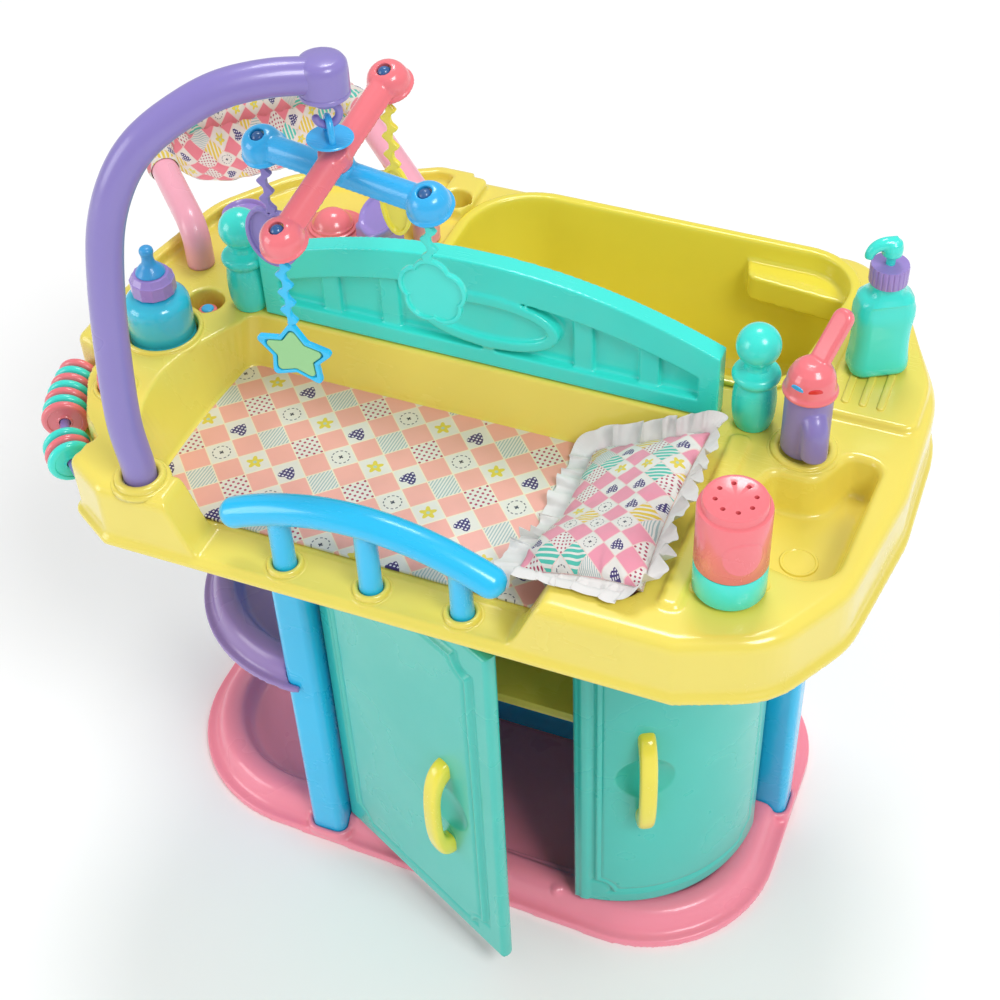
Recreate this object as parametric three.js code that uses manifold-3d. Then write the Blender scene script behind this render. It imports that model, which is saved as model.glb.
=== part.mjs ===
// A toy nursery centre for dolls: a changing table with a bath, a basin, a high chair and a mobile.
// Millimetres, +Z up. X runs to the right, Y to the back, and the origin is on the floor.
import * as THREE from "three";
import { mergeVertices } from "three/addons/utils/BufferGeometryUtils.js";
import Module from "manifold-3d";

const wasm = await Module();
wasm.setup();

// Sizes that many pieces share
const fitGap = 0.3;
const overrun = 3;
const wall = 3;
const pinRadius = 3;
const roundSteps = 14;
const cornerStep = 30;

// Base tray
const base = {
  halfWidth: 298, halfDepth: 171, rimHeight: 27, floorHeight: 12, lipHeight: 8, lipWidth: 8,
  ridgeWidth: 16, ridgeFlat: 10, innerSlope: 12, ledgeHeight: 21.5, ledgeWidth: 16, ledgeFront: -128,
  bumpRadius: 5, bumpX: 92, bumpY: -137, socketWall: 5, detailHeight: 5,
};
// Corners of the tray, each as shares of its half width and half depth, and of that depth for the radius
const baseCornerShares = [[-1, -0.83, 0.74], [0.866, -0.945, 0.69], [0.869, 1, 0.58], [-1, 1, 0.74]];

// Legs and cabinet walls
const leg = { width: 32, depth: 30, corner: 8 };
const legPlaces = {
  left_front_leg: [-124, -130], right_leg: [238, 24.5], left_rear_leg: [-150, 128], right_rear_leg: [176, 128],
};
const panel = { thickness: 3.4, ribDepth: 4, ribWidth: 6, ribs: 3, backY: 24 };

// Round part of the cabinet, which the right door, the ledge and the shelf follow
const round = { x: 106, y: -15, radius: 127 };

// Doors
const door = {
  bottom: 29, top: 410, width: 203, thickness: 12, openAngle: 25.8, hingeX: -99, hingeY: -127.2,
  hingeInset: 6, edgeRound: 3, border: 19, borderNotch: 14, panelRise: 1.4, dishRadius: 24, dishDepth: 5,
  pinReach: 13, roundHingeAngle: 87, roundStart: 1.5, roundSweep: 88,
};
const handle = {
  length: 116, width: 14, reach: 21, fingerGap: 11, footLength: 20,
  leftAlong: 142, leftHeight: 193, rightAngle: 27.5, rightHeight: 207,
};

const dishSteps = 32;

// Shelves
const shelf = { height: 235, thickness: 3.5, lipHeight: 10, lipWidth: 4, front: -111 };
const lobe = {
  x: -136, y: -21, radius: 129, bottom: 210, rimHeight: 22, lipHeight: 5, slope: 14, rimFlat: 8,
  innerSlope: 9, floorRise: 8,
};

// Moulded top
const deck = {
  height: 481, apron: 55, halfWidth: 320, halfDepth: 220, lipWidth: 4, lipHeight: 6, edgeRound: 6,
  rimHeight: 9, rimWidth: 10,
};
// Corners of the deck, as shares of its half width and half depth, and of that depth for the radius
const deckCornerShares = [
  [-0.669, -0.995, 0.045], [0.65, -0.995, 0.09], [0.837, -0.89, 0.27], [0.947, -0.614, 0.32],
  [0.994, -0.136, 0.41], [0.99, 0.34, 0.5], [0.837, 0.827, 0.27], [0.712, 0.99, 0.18],
  [-0.431, 0.99, 0.09], [-0.5, 0.936, 0.09], [-0.797, 0.764, 0.27], [-0.937, 0.477, 0.27],
  [-0.981, 0.09, 0.36], [-0.994, -0.18, 0.18], [-0.994, -0.355, 0.036], [-0.903, -0.391, 0.027],
  [-0.887, -0.536, 0.27], [-0.819, -0.704, 0.18], [-0.753, -0.786, 0.018], [-0.784, -0.895, 0.036],
];
// The same outline at the foot of the bead niche, where the lip of the apron runs on outside the beads
const nicheCornerShares = [
  [-0.669, -0.995, 0.045], [-0.78, -0.89, 0.036], [-0.87, -0.72, 0.3], [-0.95, -0.52, 0.3],
  [-0.994, -0.355, 0.09], [-0.9, -0.3, 0.027], [-0.7, -0.8, 0.027],
];
// Outer line of the raised rim round the feeding corner
const cornerRimShares = [
  [-0.97, -0.3, 0.1], [0, -0.3, 0.1], [0, 0.97, 0.1], [-0.431, 0.97, 0.09], [-0.5, 0.916, 0.09],
  [-0.785, 0.744, 0.27], [-0.92, 0.46, 0.27], [-0.965, 0.09, 0.36],
];
const bed = {
  left: -204, right: 172, front: -190, back: -21, depth: 43, corner: 12, slopeBack: 12, bulge: 30,
  ledgeDrop: 45, notchLeft: -150, notchRight: 100, notchShoulder: 14, matThickness: 2.7, matInset: 2,
};
const divider = { x: 186, width: 16, rise: 3 };
const tub = {
  left: -90, right: 233, front: 38, back: 207, depth: 112, wall: 3, rimWidth: 7, rimHeight: 4, rimRound: 1.5,
  slope: 16, ledgeDrop: 13, ledgeHeight: 22,
};
// Corners of the tub as shares of its length and width, with the radius as a share of its width
const tubCornerShares = [[0, 0, 0.26], [0.93, 0, 0.24], [1.01, 1, 0.26], [0, 1, 0.35]];
const tubLedgeShares = [[0.68, 1.1, 0], [0.72, 0.84, 0.06], [1.1, 0.77, 0], [1.1, 1.1, 0]];
const basin = { left: 213, right: 297, front: -137, back: -10, depth: 32, slope: 6, drainX: 258, drainY: -92,
  drainRadius: 13.5, drainRise: 1.2 };
const basinCornerShares = [
  [0, 0.54, 0.11], [0.12, 0.75, 0.08], [0.49, 0.75, 0.11], [0.68, 1.02, 0.1], [1, 1, 0.11],
  [0.92, 0.1, 0.25], [0.68, 0, 0.16], [0.1, 0.08, 0.18],
];
const holder = { x: -256, y: -52, radius: 27, depth: 14, collar: 4, collarHeight: 3 };
const pocket = { x: -243, y: -8, radius: 14.5, depth: 24, buttonRadius: 8, buttonHeight: 12, flange: 1.5,
  buttonStem: 3.5, buttonTravel: 3 };
const knob = { x: -255, y: -122, radius: 12.6, height: 11, collar: 3.5, collarHeight: 2.5, grooves: 12 };
const cupHole = { x: -107, y: 173, radius: 12.6, depth: 26, blockRise: 9, blockWall: 3.5 };
const platform = { left: 237, right: 309, front: 25, back: 190, rise: 5 };
const platformCornerShares = [[0, 0, 0.06], [1, 0, 0.06], [1, 0.33, 0.4], [0.45, 0.9, 0.25], [0.1, 1, 0.02]];
const drainRib = { count: 3, pitch: 13, width: 6, length: 40, rise: 1.5, x: 254, y: 40 };
const canRib = { length: 54, width: 11, rise: 1.5, turn: 22 };

// Headboard
const headboard = {
  left: -190, right: 172, y: -8, depth: 16, bottom: 483, centreTop: 576, endTop: 538, railHeight: 27,
  footHeight: 14, stile: 15, field: 8, rise: 4,
};
const balusterX = [-133, -84, 69, 119];
const newelSteps = 12;
const plaque = { x: -4, z: 525, halfWidth: 56, halfHeight: 24, rim: 9, rise: 3, recess: 2.5 };
const newel = {
  leftX: -207, rightX: 196, y: 1, radius: 16, ballHeight: 71, ringHeight: 46, ringRadius: 17.5, neck: 9.5, foot: 13,
};

// Guard rail on the front edge
const rail = {
  y: -204, radius: 11.3, postRadius: 8.2, endHeight: 477, archRise: 24, left: -112, right: 77, collar: 4.5,
  collarHeight: 4,
};
const railPostX = [-79, -13, 55];

// Mobile arm: a bent tube that stands in a collar and carries a cap at its end
const arm = { x: -188, y: -200, azimuth: 38, radius: 11.75, collar: 6.5, collarHeight: 5, reach: 160, rise: 292,
  capRadius: 16, capTop: 303, capHeight: 26.5, footDepth: 20 };
const armShares = [
  [0, 0], [0, 0.05], [-0.012, 0.188], [0.012, 0.397], [0.05, 0.586], [0.1, 0.726], [0.181, 0.832], [0.287, 0.907],
  [0.437, 0.962], [0.612, 1], [0.806, 1.007], [1, 0.992],
];
const hook = { stem: 4.2, stemLength: 12, wire: 2.6, bend: 7.5 };
const hanger = { discRadius: 15, discThickness: 2, discHeight: 725.6, wire: 2.2, archRadius: 8.5, ball: 4 };
const mobile = {
  z: 719, tilt: 21.3, azimuth: 79.9, span: 130, domeRadius: 16, domeHeight: 17, skirt: 4,
  holeRadius: 4.6, seatDepth: 6, barWidth: 15, barFlange: 20, flangeHeight: 2.2, barHeight: 11, drop: 16, shell: 2.2,
};
const chain = { width: 9, thickness: 3.6, pitch: 7, neck: 1.1, ball: 5.2, ballGap: 0.6 };
const pendants = {
  star_pendant: { end: "pinkNear", chainLength: 53, height: 48, width: 55 },
  cloud_pendant: { end: "blueRight", chainLength: 38, height: 52, width: 49 },
  heart_pendant: { end: "blueLeft", chainLength: 42, height: 50, width: 42 },
  oval_pendant: { end: "pinkFar", chainLength: 55, height: 56, width: 24 },
};
const plate = { thickness: 4, rim: 3, floor: 1.6, insertInset: 0.8 };

// Beads on a rod outside the niche
const beads = { radius: 17.5, thickness: 8.2, play: 1.2, hole: 4, rod: 3.6, gap: 22, startX: -312, startY: -75,
  endX: -252, endY: -188, bow: 15, height: 451, clearance: 1.5 };
const beadColours = ["pink", "teal", "pink", "teal", "pink", "teal", "bigPink", "gap", "teal", "pink", "teal"];

// Bottles, can and faucet
const bottle = { radius: 25, bodyHeight: 52, shoulder: 11, collarRadius: 17, collarHeight: 17, facets: 12,
  teatRadius: 9, teatHeight: 22, neck: 11 };
const can = { x: 226, y: -158, radius: 24.5, height: 80, baseBand: 25, step: 3, stepHeight: 6, holes: 8,
  holeCircle: 14, holeRadius: 1.7, holeDepth: 4 };
const lotion = { x: 266, y: 84, width: 44, depth: 30, height: 78, corner: 11, neck: 12, shoulder: 12,
  collarRadius: 14, collarHeight: 15, ribs: 14, stem: 3.4, stemTravel: 8, spoutReach: 17, headHeight: 13, turn: 30 };
const faucet = { x: 238, y: -14, radius: 17, columnHeight: 51, capHeight: 26, collar: 7, collarHeight: 3,
  spoutRadius: 9.5, spoutDrop: 30, spoutReach: 17, spoutAzimuth: -58, leverLength: 50, leverWidth: 15,
  leverThickness: 9, leverRise: 52, leverAzimuth: 62, markWidth: 6, markRise: 0.8 };

// High chair: a hoop of tube on two elbows, with a fabric seat hung in it
const chair = { leftX: -270, leftY: 33, rightX: -113, rightY: 125, radius: 11, axisHeight: 515, elbow: 22,
  reach: 155, azimuth: 135, corner: 48, sleeveLength: 68, pouchDrop: 40, seatInset: 9 };

// Toys of the feeding corner
const cup = { x: -259, y: 90, radius: 19, height: 14, wall: 2.5, recess: 3 };
const dish = { x: -188, y: 106, base: 29, baseHeight: 3, step: 20, dome: 16, domeHeight: 18 };
const dial = { x: -138, y: 92, width: 33, depth: 30, height: 30, headRadius: 20, headDepth: 12, tilt: 38,
  ring: 4, windowWidth: 12, windowHeight: 15, windowDepth: 12, buttonInset: 1, buttonTravel: 3, turn: -33 };

const colours = {
  yellow: [0xf0e06a, 0.35], pink: [0xf48a90, 0.35], teal: [0x35d3bf, 0.35], blue: [0x3aa9e2, 0.35],
  purple: [0x8a6cc8, 0.38], fabric: [0xe9b7b7, 0.9], mat: [0xf3c6bf, 0.6], green: [0x6fcf8b, 0.4],
  handle: [0xf2e14e, 0.35],
};

// Leaves out faces that have shrunk to a line because two of their corners met
function wholeFaces(index) {
  const kept = [];
  for (let start = 0; start < index.length; start += 3) {
    const [a, b, c] = index.slice(start, start + 3);
    if (a !== b && b !== c && c !== a) kept.push(a, b, c);
  }
  return kept;
}

// Turns a closed geometry into a solid that can be joined and cut
function solidOf(geometry) {
  const bare = geometry.index ? geometry.toNonIndexed() : geometry.clone();
  bare.deleteAttribute("normal");
  bare.deleteAttribute("uv");
  const merged = mergeVertices(bare);
  const vertProperties = new Float32Array(merged.attributes.position.array);
  const triVerts = new Uint32Array(wholeFaces(merged.index.array));
  return new wasm.Manifold(new wasm.Mesh({ numProp: 3, vertProperties, triVerts }));
}

function geometryOf(solid) {
  const mesh = solid.getMesh();
  const geometry = new THREE.BufferGeometry();
  geometry.setAttribute("position", new THREE.BufferAttribute(new Float32Array(mesh.vertProperties), 3));
  geometry.setIndex(new THREE.BufferAttribute(new Uint32Array(mesh.triVerts), 1));
  return geometry;
}

const join = (first, ...others) => others.reduce((whole, other) => whole.add(other), first);
const cut = (first, ...tools) => tools.reduce((whole, tool) => whole.subtract(tool), first);
const radians = THREE.MathUtils.degToRad;
const point = (x, y) => new THREE.Vector2(x, y);

// Rounds the corners of a polygon given as [x, y, radius] with arcs, and runs counter-clockwise
function roundedLoop(given, stepAngle = cornerStep) {
  const area = THREE.ShapeUtils.area(given.map(([x, y]) => point(x, y)));
  const corners = area < 0 ? [...given].reverse() : given;
  const loop = [];
  corners.forEach(([x, y, radius], index) => {
    const here = point(x, y);
    const [beforeX, beforeY] = corners[(index + corners.length - 1) % corners.length];
    const [afterX, afterY] = corners[(index + 1) % corners.length];
    const before = point(beforeX, beforeY);
    const after = point(afterX, afterY);
    const into = here.clone().sub(before);
    const out = after.clone().sub(here);
    const room = Math.min(into.length(), out.length()) * 0.48;
    into.normalize();
    out.normalize();
    const turn = Math.atan2(into.cross(out), into.dot(out));
    const half = Math.tan(Math.abs(turn) / 2);
    const reach = Math.min(radius * half, room);
    if (reach <= 0) {
      loop.push(here);
      return;
    }
    const used = reach / half;
    const side = Math.sign(turn);
    const start = here.clone().addScaledVector(into, -reach);
    const centre = start.clone().add(point(-into.y * side * used, into.x * side * used));
    const steps = Math.max(1, Math.ceil(Math.abs(turn) / radians(stepAngle)));
    for (let step = 0; step <= steps; step += 1) {
      loop.push(start.clone().rotateAround(centre, turn * step / steps));
    }
  });
  return loop;
}

// Corners given as shares of two half sizes about the origin
const sharedLoop = (shares, halfWidth, halfDepth) =>
  roundedLoop(shares.map(([x, y, r]) => [x * halfWidth, y * halfDepth, r * halfDepth]));

// Corners given as shares of a box from its left front corner
const boxLoop = (shares, box) => roundedLoop(shares.map(([x, y, r]) => [
  box.left + x * (box.right - box.left),
  box.front + y * (box.back - box.front),
  r * (box.back - box.front),
]));

const rectangleLoop = (left, right, front, back, corner, stepAngle = cornerStep) => roundedLoop(
  [[left, front, corner], [right, front, corner], [right, back, corner], [left, back, corner]], stepAngle);

const circleLoop = (x, y, radius, steps = roundSteps) => Array.from({ length: steps }, (_, index) =>
  point(x + radius * Math.cos(2 * Math.PI * index / steps), y + radius * Math.sin(2 * Math.PI * index / steps)));

// Moves every point of a counter-clockwise loop outwards by one distance
function grow(loop, distance) {
  return loop.map((here, index) => {
    const before = loop[(index + loop.length - 1) % loop.length];
    const after = loop[(index + 1) % loop.length];
    const into = here.clone().sub(before).normalize();
    const out = after.clone().sub(here).normalize();
    const normal = point(into.y + out.y, -into.x - out.x).normalize();
    const spread = Math.max(normal.dot(point(into.y, -into.x)), 0.5);
    return here.clone().addScaledVector(normal, distance / spread);
  });
}

// Triangles over a loop; a round loop with points in line is fanned from its first point
function capFaces(loop) {
  const faces = THREE.ShapeUtils.triangulateShape(loop, []);
  if (faces.length === loop.length - 2) return faces;
  return Array.from({ length: loop.length - 2 }, (_, index) => [0, index + 1, index + 2]);
}

// A body through loops of equal point counts, from the first loop to the last
function loft(sections) {
  const count = sections[0].loop.length;
  const positions = sections.flatMap(({ loop, z }) => loop.flatMap((p) => [p.x, p.y, z]));
  const faces = [];
  for (let ring = 0; ring < sections.length - 1; ring += 1) {
    for (let index = 0; index < count; index += 1) {
      const a = ring * count + index;
      const b = ring * count + (index + 1) % count;
      faces.push(a, b, b + count, a, b + count, a + count);
    }
  }
  const top = (sections.length - 1) * count;
  capFaces(sections[0].loop).forEach(([a, b, c]) => faces.push(a, c, b));
  capFaces(sections.at(-1).loop).forEach(([a, b, c]) => faces.push(top + a, top + b, top + c));
  const geometry = new THREE.BufferGeometry();
  geometry.setAttribute("position", new THREE.Float32BufferAttribute(positions, 3));
  geometry.setIndex(faces);
  return solidOf(geometry);
}

// A body that follows one loop, grown by a distance at each height
const terrace = (loop, steps) => loft(steps.map(([distance, z]) => ({ loop: grow(loop, distance), z })));
const slab = (loop, bottom, top) => loft([{ loop, z: bottom }, { loop, z: top }]);
const block = (x0, x1, y0, y1, z0, z1) => slab([point(x0, y0), point(x1, y0), point(x1, y1), point(x0, y1)], z0, z1);
const disc = (x, y, radius, bottom, top, steps = roundSteps) => slab(circleLoop(x, y, radius, steps), bottom, top);

// A turned body on a vertical axis, from [radius, height] pairs that begin and end on the axis
function turned(x, y, profile, steps = roundSteps) {
  const lathe = new THREE.LatheGeometry(profile.map(([radius, height]) => point(radius, height)), steps);
  lathe.rotateX(Math.PI / 2);
  lathe.translate(x, y, 0);
  return solidOf(lathe);
}

function ball(radius, x, y, z, steps = 14) {
  const sphere = new THREE.SphereGeometry(radius, steps, Math.ceil(steps / 2));
  sphere.rotateX(Math.PI / 2);
  sphere.translate(x, y, z);
  return solidOf(sphere);
}

// A round bar along a curve
function bar(curve, radius, steps, sides = 12) {
  const section = new THREE.Shape(circleLoop(0, 0, radius, sides));
  return solidOf(new THREE.ExtrudeGeometry(section, { steps, curveSegments: sides, extrudePath: curve }));
}

// An outline in the plane of X and Z, extruded towards +Y
function upright(loop, front, back) {
  const depth = back - front;
  const geometry = new THREE.ExtrudeGeometry(new THREE.Shape(loop), { depth, bevelEnabled: false });
  geometry.rotateX(Math.PI / 2);
  geometry.translate(0, back, 0);
  return solidOf(geometry);
}

const placed = (solid, matrix) => {
  const geometry = geometryOf(solid);
  geometry.applyMatrix4(matrix);
  return solidOf(geometry);
};
const shifted = (solid, x, y, z) => placed(solid, new THREE.Matrix4().makeTranslation(x, y, z));
const turnedZ = (solid, angle, x, y) => placed(solid, new THREE.Matrix4().makeTranslation(x, y, 0)
  .multiply(new THREE.Matrix4().makeRotationZ(angle)).multiply(new THREE.Matrix4().makeTranslation(-x, -y, 0)));

const part = new THREE.Group();

function addPiece(name, solid, colour) {
  const [color, roughness] = colours[colour];
  const material = new THREE.MeshStandardMaterial({ color, roughness, metalness: 0 });
  const mesh = new THREE.Mesh(geometryOf(solid), material);
  mesh.name = name;
  part.add(mesh);
}

// Heights that follow from the sizes above
const deckUnder = deck.height - wall;
const apronBottom = deck.height - deck.apron;
const bedFloor = deck.height - bed.depth;
const bedUnder = bedFloor - wall;
const ledgeTop = deck.height - bed.ledgeDrop;
const tubBottom = deck.height - tub.depth - tub.wall;
const legLoop = (x, y, extra = 0) => rectangleLoop(
  x - leg.width / 2 - extra, x + leg.width / 2 + extra, y - leg.depth / 2 - extra, y + leg.depth / 2 + extra,
  leg.corner + extra);
const deckLoop = sharedLoop(deckCornerShares, deck.halfWidth, deck.halfDepth);

// Legs stand in sockets of the base and reach up to the deck, the bed or the bath
function addLegs() {
  const tops = { left_front_leg: bedUnder, right_leg: deckUnder, left_rear_leg: deckUnder, right_rear_leg: tubBottom };
  Object.entries(legPlaces).forEach(([name, [x, y]]) => {
    addPiece(name, slab(legLoop(x, y), base.floorHeight + fitGap, tops[name] - fitGap), "blue");
  });
}

// Centre of the hinge of the round door, inside its thickness
const roundHinge = {
  x: round.x + (round.radius - door.hingeInset) * Math.sin(radians(door.roundHingeAngle)),
  y: round.y - (round.radius - door.hingeInset) * Math.cos(radians(door.roundHingeAngle)),
};

// A band that runs along the front and round the right corner, between two radii of the round part
function frontBand(outer, inner, left, bottom, top) {
  const corners = [[left, round.y - outer, 0]];
  const arc = (radius, from, to) => {
    for (let step = 0; step <= roundSteps / 2; step += 1) {
      const angle = radians(from + (to - from) * step / (roundSteps / 2));
      corners.push([round.x + radius * Math.sin(angle), round.y - radius * Math.cos(angle), 0]);
    }
  };
  arc(outer, 0, 90);
  arc(inner, 90, 0);
  corners.push([left, round.y - inner, 0]);
  return slab(corners.map(([x, y]) => point(x, y)), bottom, top);
}

function addBase() {
  const loop = sharedLoop(baseCornerShares, base.halfWidth, base.halfDepth);
  const ridgeOut = -base.lipWidth - base.ridgeWidth;
  const ridgeIn = ridgeOut - base.ridgeFlat;
  const rise = base.rimHeight - base.lipHeight;
  let tray = terrace(loop, [
    [0, 0], [0, base.lipHeight - base.lipHeight / 8], [-base.lipHeight / 8, base.lipHeight], [-base.lipWidth, base.lipHeight],
    [-base.lipWidth - base.ridgeWidth * 0.2, base.lipHeight + rise * 0.4],
    [-base.lipWidth - base.ridgeWidth * 0.5, base.lipHeight + rise * 0.8],
    [ridgeOut, base.rimHeight], [ridgeIn, base.rimHeight],
    [ridgeIn - base.innerSlope, base.floorHeight],
  ]);
  const ledgeOuter = round.y - base.ledgeFront;
  tray = join(
    tray,
    frontBand(ledgeOuter, ledgeOuter - base.ledgeWidth, door.hingeX - wall, base.lipHeight, base.ledgeHeight),
    turned(base.bumpX, base.bumpY, [
      [0, base.lipHeight], [base.bumpRadius, base.lipHeight], [base.bumpRadius, base.rimHeight - base.bumpRadius / 2],
      [base.bumpRadius * 0.7, base.rimHeight], [0, base.rimHeight],
    ]),
  );
  const sockets = Object.values(legPlaces);
  sockets.forEach(([x, y]) => {
    tray = tray.add(slab(legLoop(x, y, base.socketWall), base.lipHeight, base.floorHeight + base.detailHeight));
  });
  sockets.forEach(([x, y]) => {
    tray = tray.subtract(slab(legLoop(x, y, fitGap), base.floorHeight, base.rimHeight + overrun));
  });
  tray = cut(tray, wallSlot(sideWall), wallSlot(backWall));
  [[door.hingeX, door.hingeY], [roundHinge.x, roundHinge.y]].forEach(([x, y]) => {
    tray = tray.add(disc(x, y, pinRadius + wall, base.lipHeight, base.rimHeight));
    const depth = door.bottom - door.pinReach - fitGap;
    tray = tray.subtract(disc(x, y, pinRadius + fitGap, depth, base.rimHeight + overrun));
  });
  addPiece("base_tray", tray, "pink");
}

// Footprints of the cabinet's walls: the left one stands between two legs, the back one ends at the right leg
const [frontLegX, frontLegY] = legPlaces.left_front_leg;
const sideWall = {
  left: frontLegX - panel.thickness / 2, right: frontLegX + panel.thickness / 2,
  front: frontLegY + leg.depth / 2 + fitGap, back: legPlaces.left_rear_leg[1] - leg.depth / 2 - fitGap,
};
const backWall = {
  left: sideWall.right + fitGap, right: legPlaces.right_leg[0] - leg.width / 2 - fitGap,
  front: panel.backY, back: panel.backY + panel.thickness,
};
const wallSlot = ({ left, right, front, back }) =>
  block(left - fitGap, right + fitGap, front - fitGap, back + fitGap, base.floorHeight, base.rimHeight + overrun);

// Blue walls of the cabinet, the back one with ribs behind it
function addCabinetWalls() {
  const bottom = base.floorHeight + fitGap;
  const side = sideWall;
  addPiece("cabinet_side_panel", block(
    side.left, side.right, side.front, side.back, bottom, bedUnder - fitGap), "blue");
  const rear = backWall;
  let back = block(rear.left, rear.right, rear.front, rear.back, bottom, tubBottom + tub.depth / 2);
  for (let index = 1; index <= panel.ribs; index += 1) {
    const x = rear.left + (rear.right - rear.left) * index / (panel.ribs + 1);
    back = back.add(block(
      x, x + panel.ribWidth, rear.front, rear.back + panel.ribDepth, base.rimHeight, tubBottom - fitGap));
  }
  addPiece("cabinet_back_panel", back, "blue");
}

// Inner shelf, with a lip that hangs at its front edge
function addCabinetShelf() {
  const left = legPlaces.left_front_leg[0] + panel.thickness / 2 + fitGap;
  const frontRadius = round.y - shelf.front;
  const back = panel.backY - fitGap;
  const corners = [[left, shelf.front, 0], [round.x, shelf.front, 0]];
  const steps = roundSteps / 2;
  for (let step = 1; step <= steps; step += 1) {
    const angle = radians(90 * step / steps);
    corners.push([round.x + frontRadius * Math.sin(angle), round.y - frontRadius * Math.cos(angle), 0]);
  }
  corners.push([round.x + frontRadius, back, 0], [left, back, 0]);
  const loop = corners.map(([x, y]) => point(x, y));
  const board = slab(loop, shelf.height - shelf.thickness, shelf.height);
  const [legX, legY] = legPlaces.left_front_leg;
  const legSpace = slab(legLoop(legX, legY, fitGap), shelf.height - 2 * shelf.lipHeight, shelf.height + overrun);
  const lip = frontBand(frontRadius, frontRadius - shelf.lipWidth, left, shelf.height - shelf.lipHeight, shelf.height);
  addPiece("cabinet_shelf", join(board, lip).subtract(legSpace), "yellow");
}

// Outer shelf on the left, a round tray cut flat where it meets the side panel
function addLobeShelf() {
  const loop = circleLoop(lobe.x, lobe.y, lobe.radius, 24);
  const top = lobe.bottom + lobe.rimHeight;
  const body = terrace(loop, [
    [0, lobe.bottom], [0, lobe.bottom + lobe.lipHeight], [-lobe.lipHeight, lobe.bottom + lobe.lipHeight],
    [-lobe.lipHeight - lobe.slope * 0.3, lobe.bottom + lobe.rimHeight * 0.7],
    [-lobe.lipHeight - lobe.slope, top], [-lobe.lipHeight - lobe.slope - lobe.rimFlat, top],
    [-lobe.lipHeight - lobe.slope - lobe.rimFlat - lobe.innerSlope, lobe.bottom + lobe.floorRise],
  ]);
  const [legX, legY] = legPlaces.left_front_leg;
  const side = legX - panel.thickness / 2 - fitGap;
  const reach = 2 * lobe.radius;
  const space = block(side, side + reach, lobe.y - reach, lobe.y + reach, 0, top + overrun);
  const legSpace = slab(legLoop(legX, legY, fitGap), 0, top + overrun);
  addPiece("lobe_shelf", cut(body, space, legSpace), "purple");
}

// Border line of a door: a field whose corners step in with a quarter round
function fieldLoop(left, right, bottom, top) {
  const notch = door.borderNotch;
  const loop = [];
  const bite = (x, z, from) => {
    for (let step = 0; step <= 4; step += 1) {
      const angle = radians(from - 90 * step / 4);
      loop.push(point(x + notch * Math.cos(angle), z + notch * Math.sin(angle)));
    }
  };
  bite(left, bottom, 90);
  bite(right, bottom, 180);
  bite(right, top, 270);
  bite(left, top, 360);
  return loop;
}

function hingePins(x, y) {
  return [
    disc(x, y, pinRadius, door.bottom - door.pinReach, door.bottom + overrun, roundSteps / 2),
    disc(x, y, pinRadius, door.top - overrun, door.top + door.pinReach, roundSteps / 2),
  ];
}

// Flat door with its front in the plane y = 0 and its hinge end at x = 0, before it is turned open
function addLeftDoor() {
  const soft = door.edgeRound;
  const footprint = rectangleLoop(0, door.width, 0, door.thickness, soft);
  let leaf = terrace(footprint, [
    [-soft / 2, door.bottom], [0, door.bottom + soft / 2], [0, door.top - soft / 2], [-soft / 2, door.top],
  ]);
  const field = fieldLoop(door.border, door.width - door.border, door.bottom + door.border, door.top - door.border);
  leaf = leaf.add(upright(field, -door.panelRise, soft));
  const sphere = (door.dishRadius ** 2 + door.dishDepth ** 2) / (2 * door.dishDepth);
  const front = -door.panelRise - sphere + door.dishDepth;
  leaf = leaf.subtract(ball(sphere, handle.leftAlong + handle.width / 2, front, handle.leftHeight, dishSteps));
  leaf = join(leaf, ...hingePins(door.hingeInset, door.hingeInset));
  addPiece("left_door", openLeft(leaf), "teal");
  const grip = handleBar();
  addPiece("left_door_handle", openLeft(shifted(grip, handle.leftAlong, -door.panelRise - fitGap, handle.leftHeight)), "handle");
}

function openLeft(solid) {
  const matrix = new THREE.Matrix4().makeTranslation(door.hingeX, door.hingeY, 0)
    .multiply(new THREE.Matrix4().makeRotationZ(radians(-door.openAngle)))
    .multiply(new THREE.Matrix4().makeTranslation(-door.hingeInset, -door.hingeInset, 0));
  return placed(solid, matrix);
}

// Bowed handle: a crescent in the plane of Y and Z whose two feet stand on the door
function handleBar() {
  const half = handle.length / 2;
  const shape = new THREE.Shape();
  shape.moveTo(half, 0);
  shape.bezierCurveTo(half, handle.reach * 0.8, half * 0.55, handle.reach, 0, handle.reach);
  shape.bezierCurveTo(-half * 0.55, handle.reach, -half, handle.reach * 0.8, -half, 0);
  shape.lineTo(-half + handle.footLength, 0);
  shape.bezierCurveTo(-half * 0.55, handle.fingerGap, -half * 0.3, handle.fingerGap, 0, handle.fingerGap);
  shape.bezierCurveTo(half * 0.3, handle.fingerGap, half * 0.55, handle.fingerGap, half - handle.footLength, 0);
  shape.closePath();
  const soft = handle.width / 5;
  const geometry = new THREE.ExtrudeGeometry(shape, {
    depth: handle.width - 2 * soft, bevelEnabled: true, bevelThickness: soft, bevelSize: soft, bevelOffset: -soft,
    bevelSegments: 1, curveSegments: 5,
  });
  geometry.translate(0, 0, -handle.width / 2 + soft);
  const turn = new THREE.Matrix4().set(0, 0, 1, 0, 0, -1, 0, 0, 1, 0, 0, 0, 0, 0, 0, 1);
  geometry.applyMatrix4(turn);
  const solid = solidOf(geometry);
  const backCut = block(-handle.width, handle.width, 0, handle.reach, -handle.length, handle.length);
  return solid.subtract(backCut);
}

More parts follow.
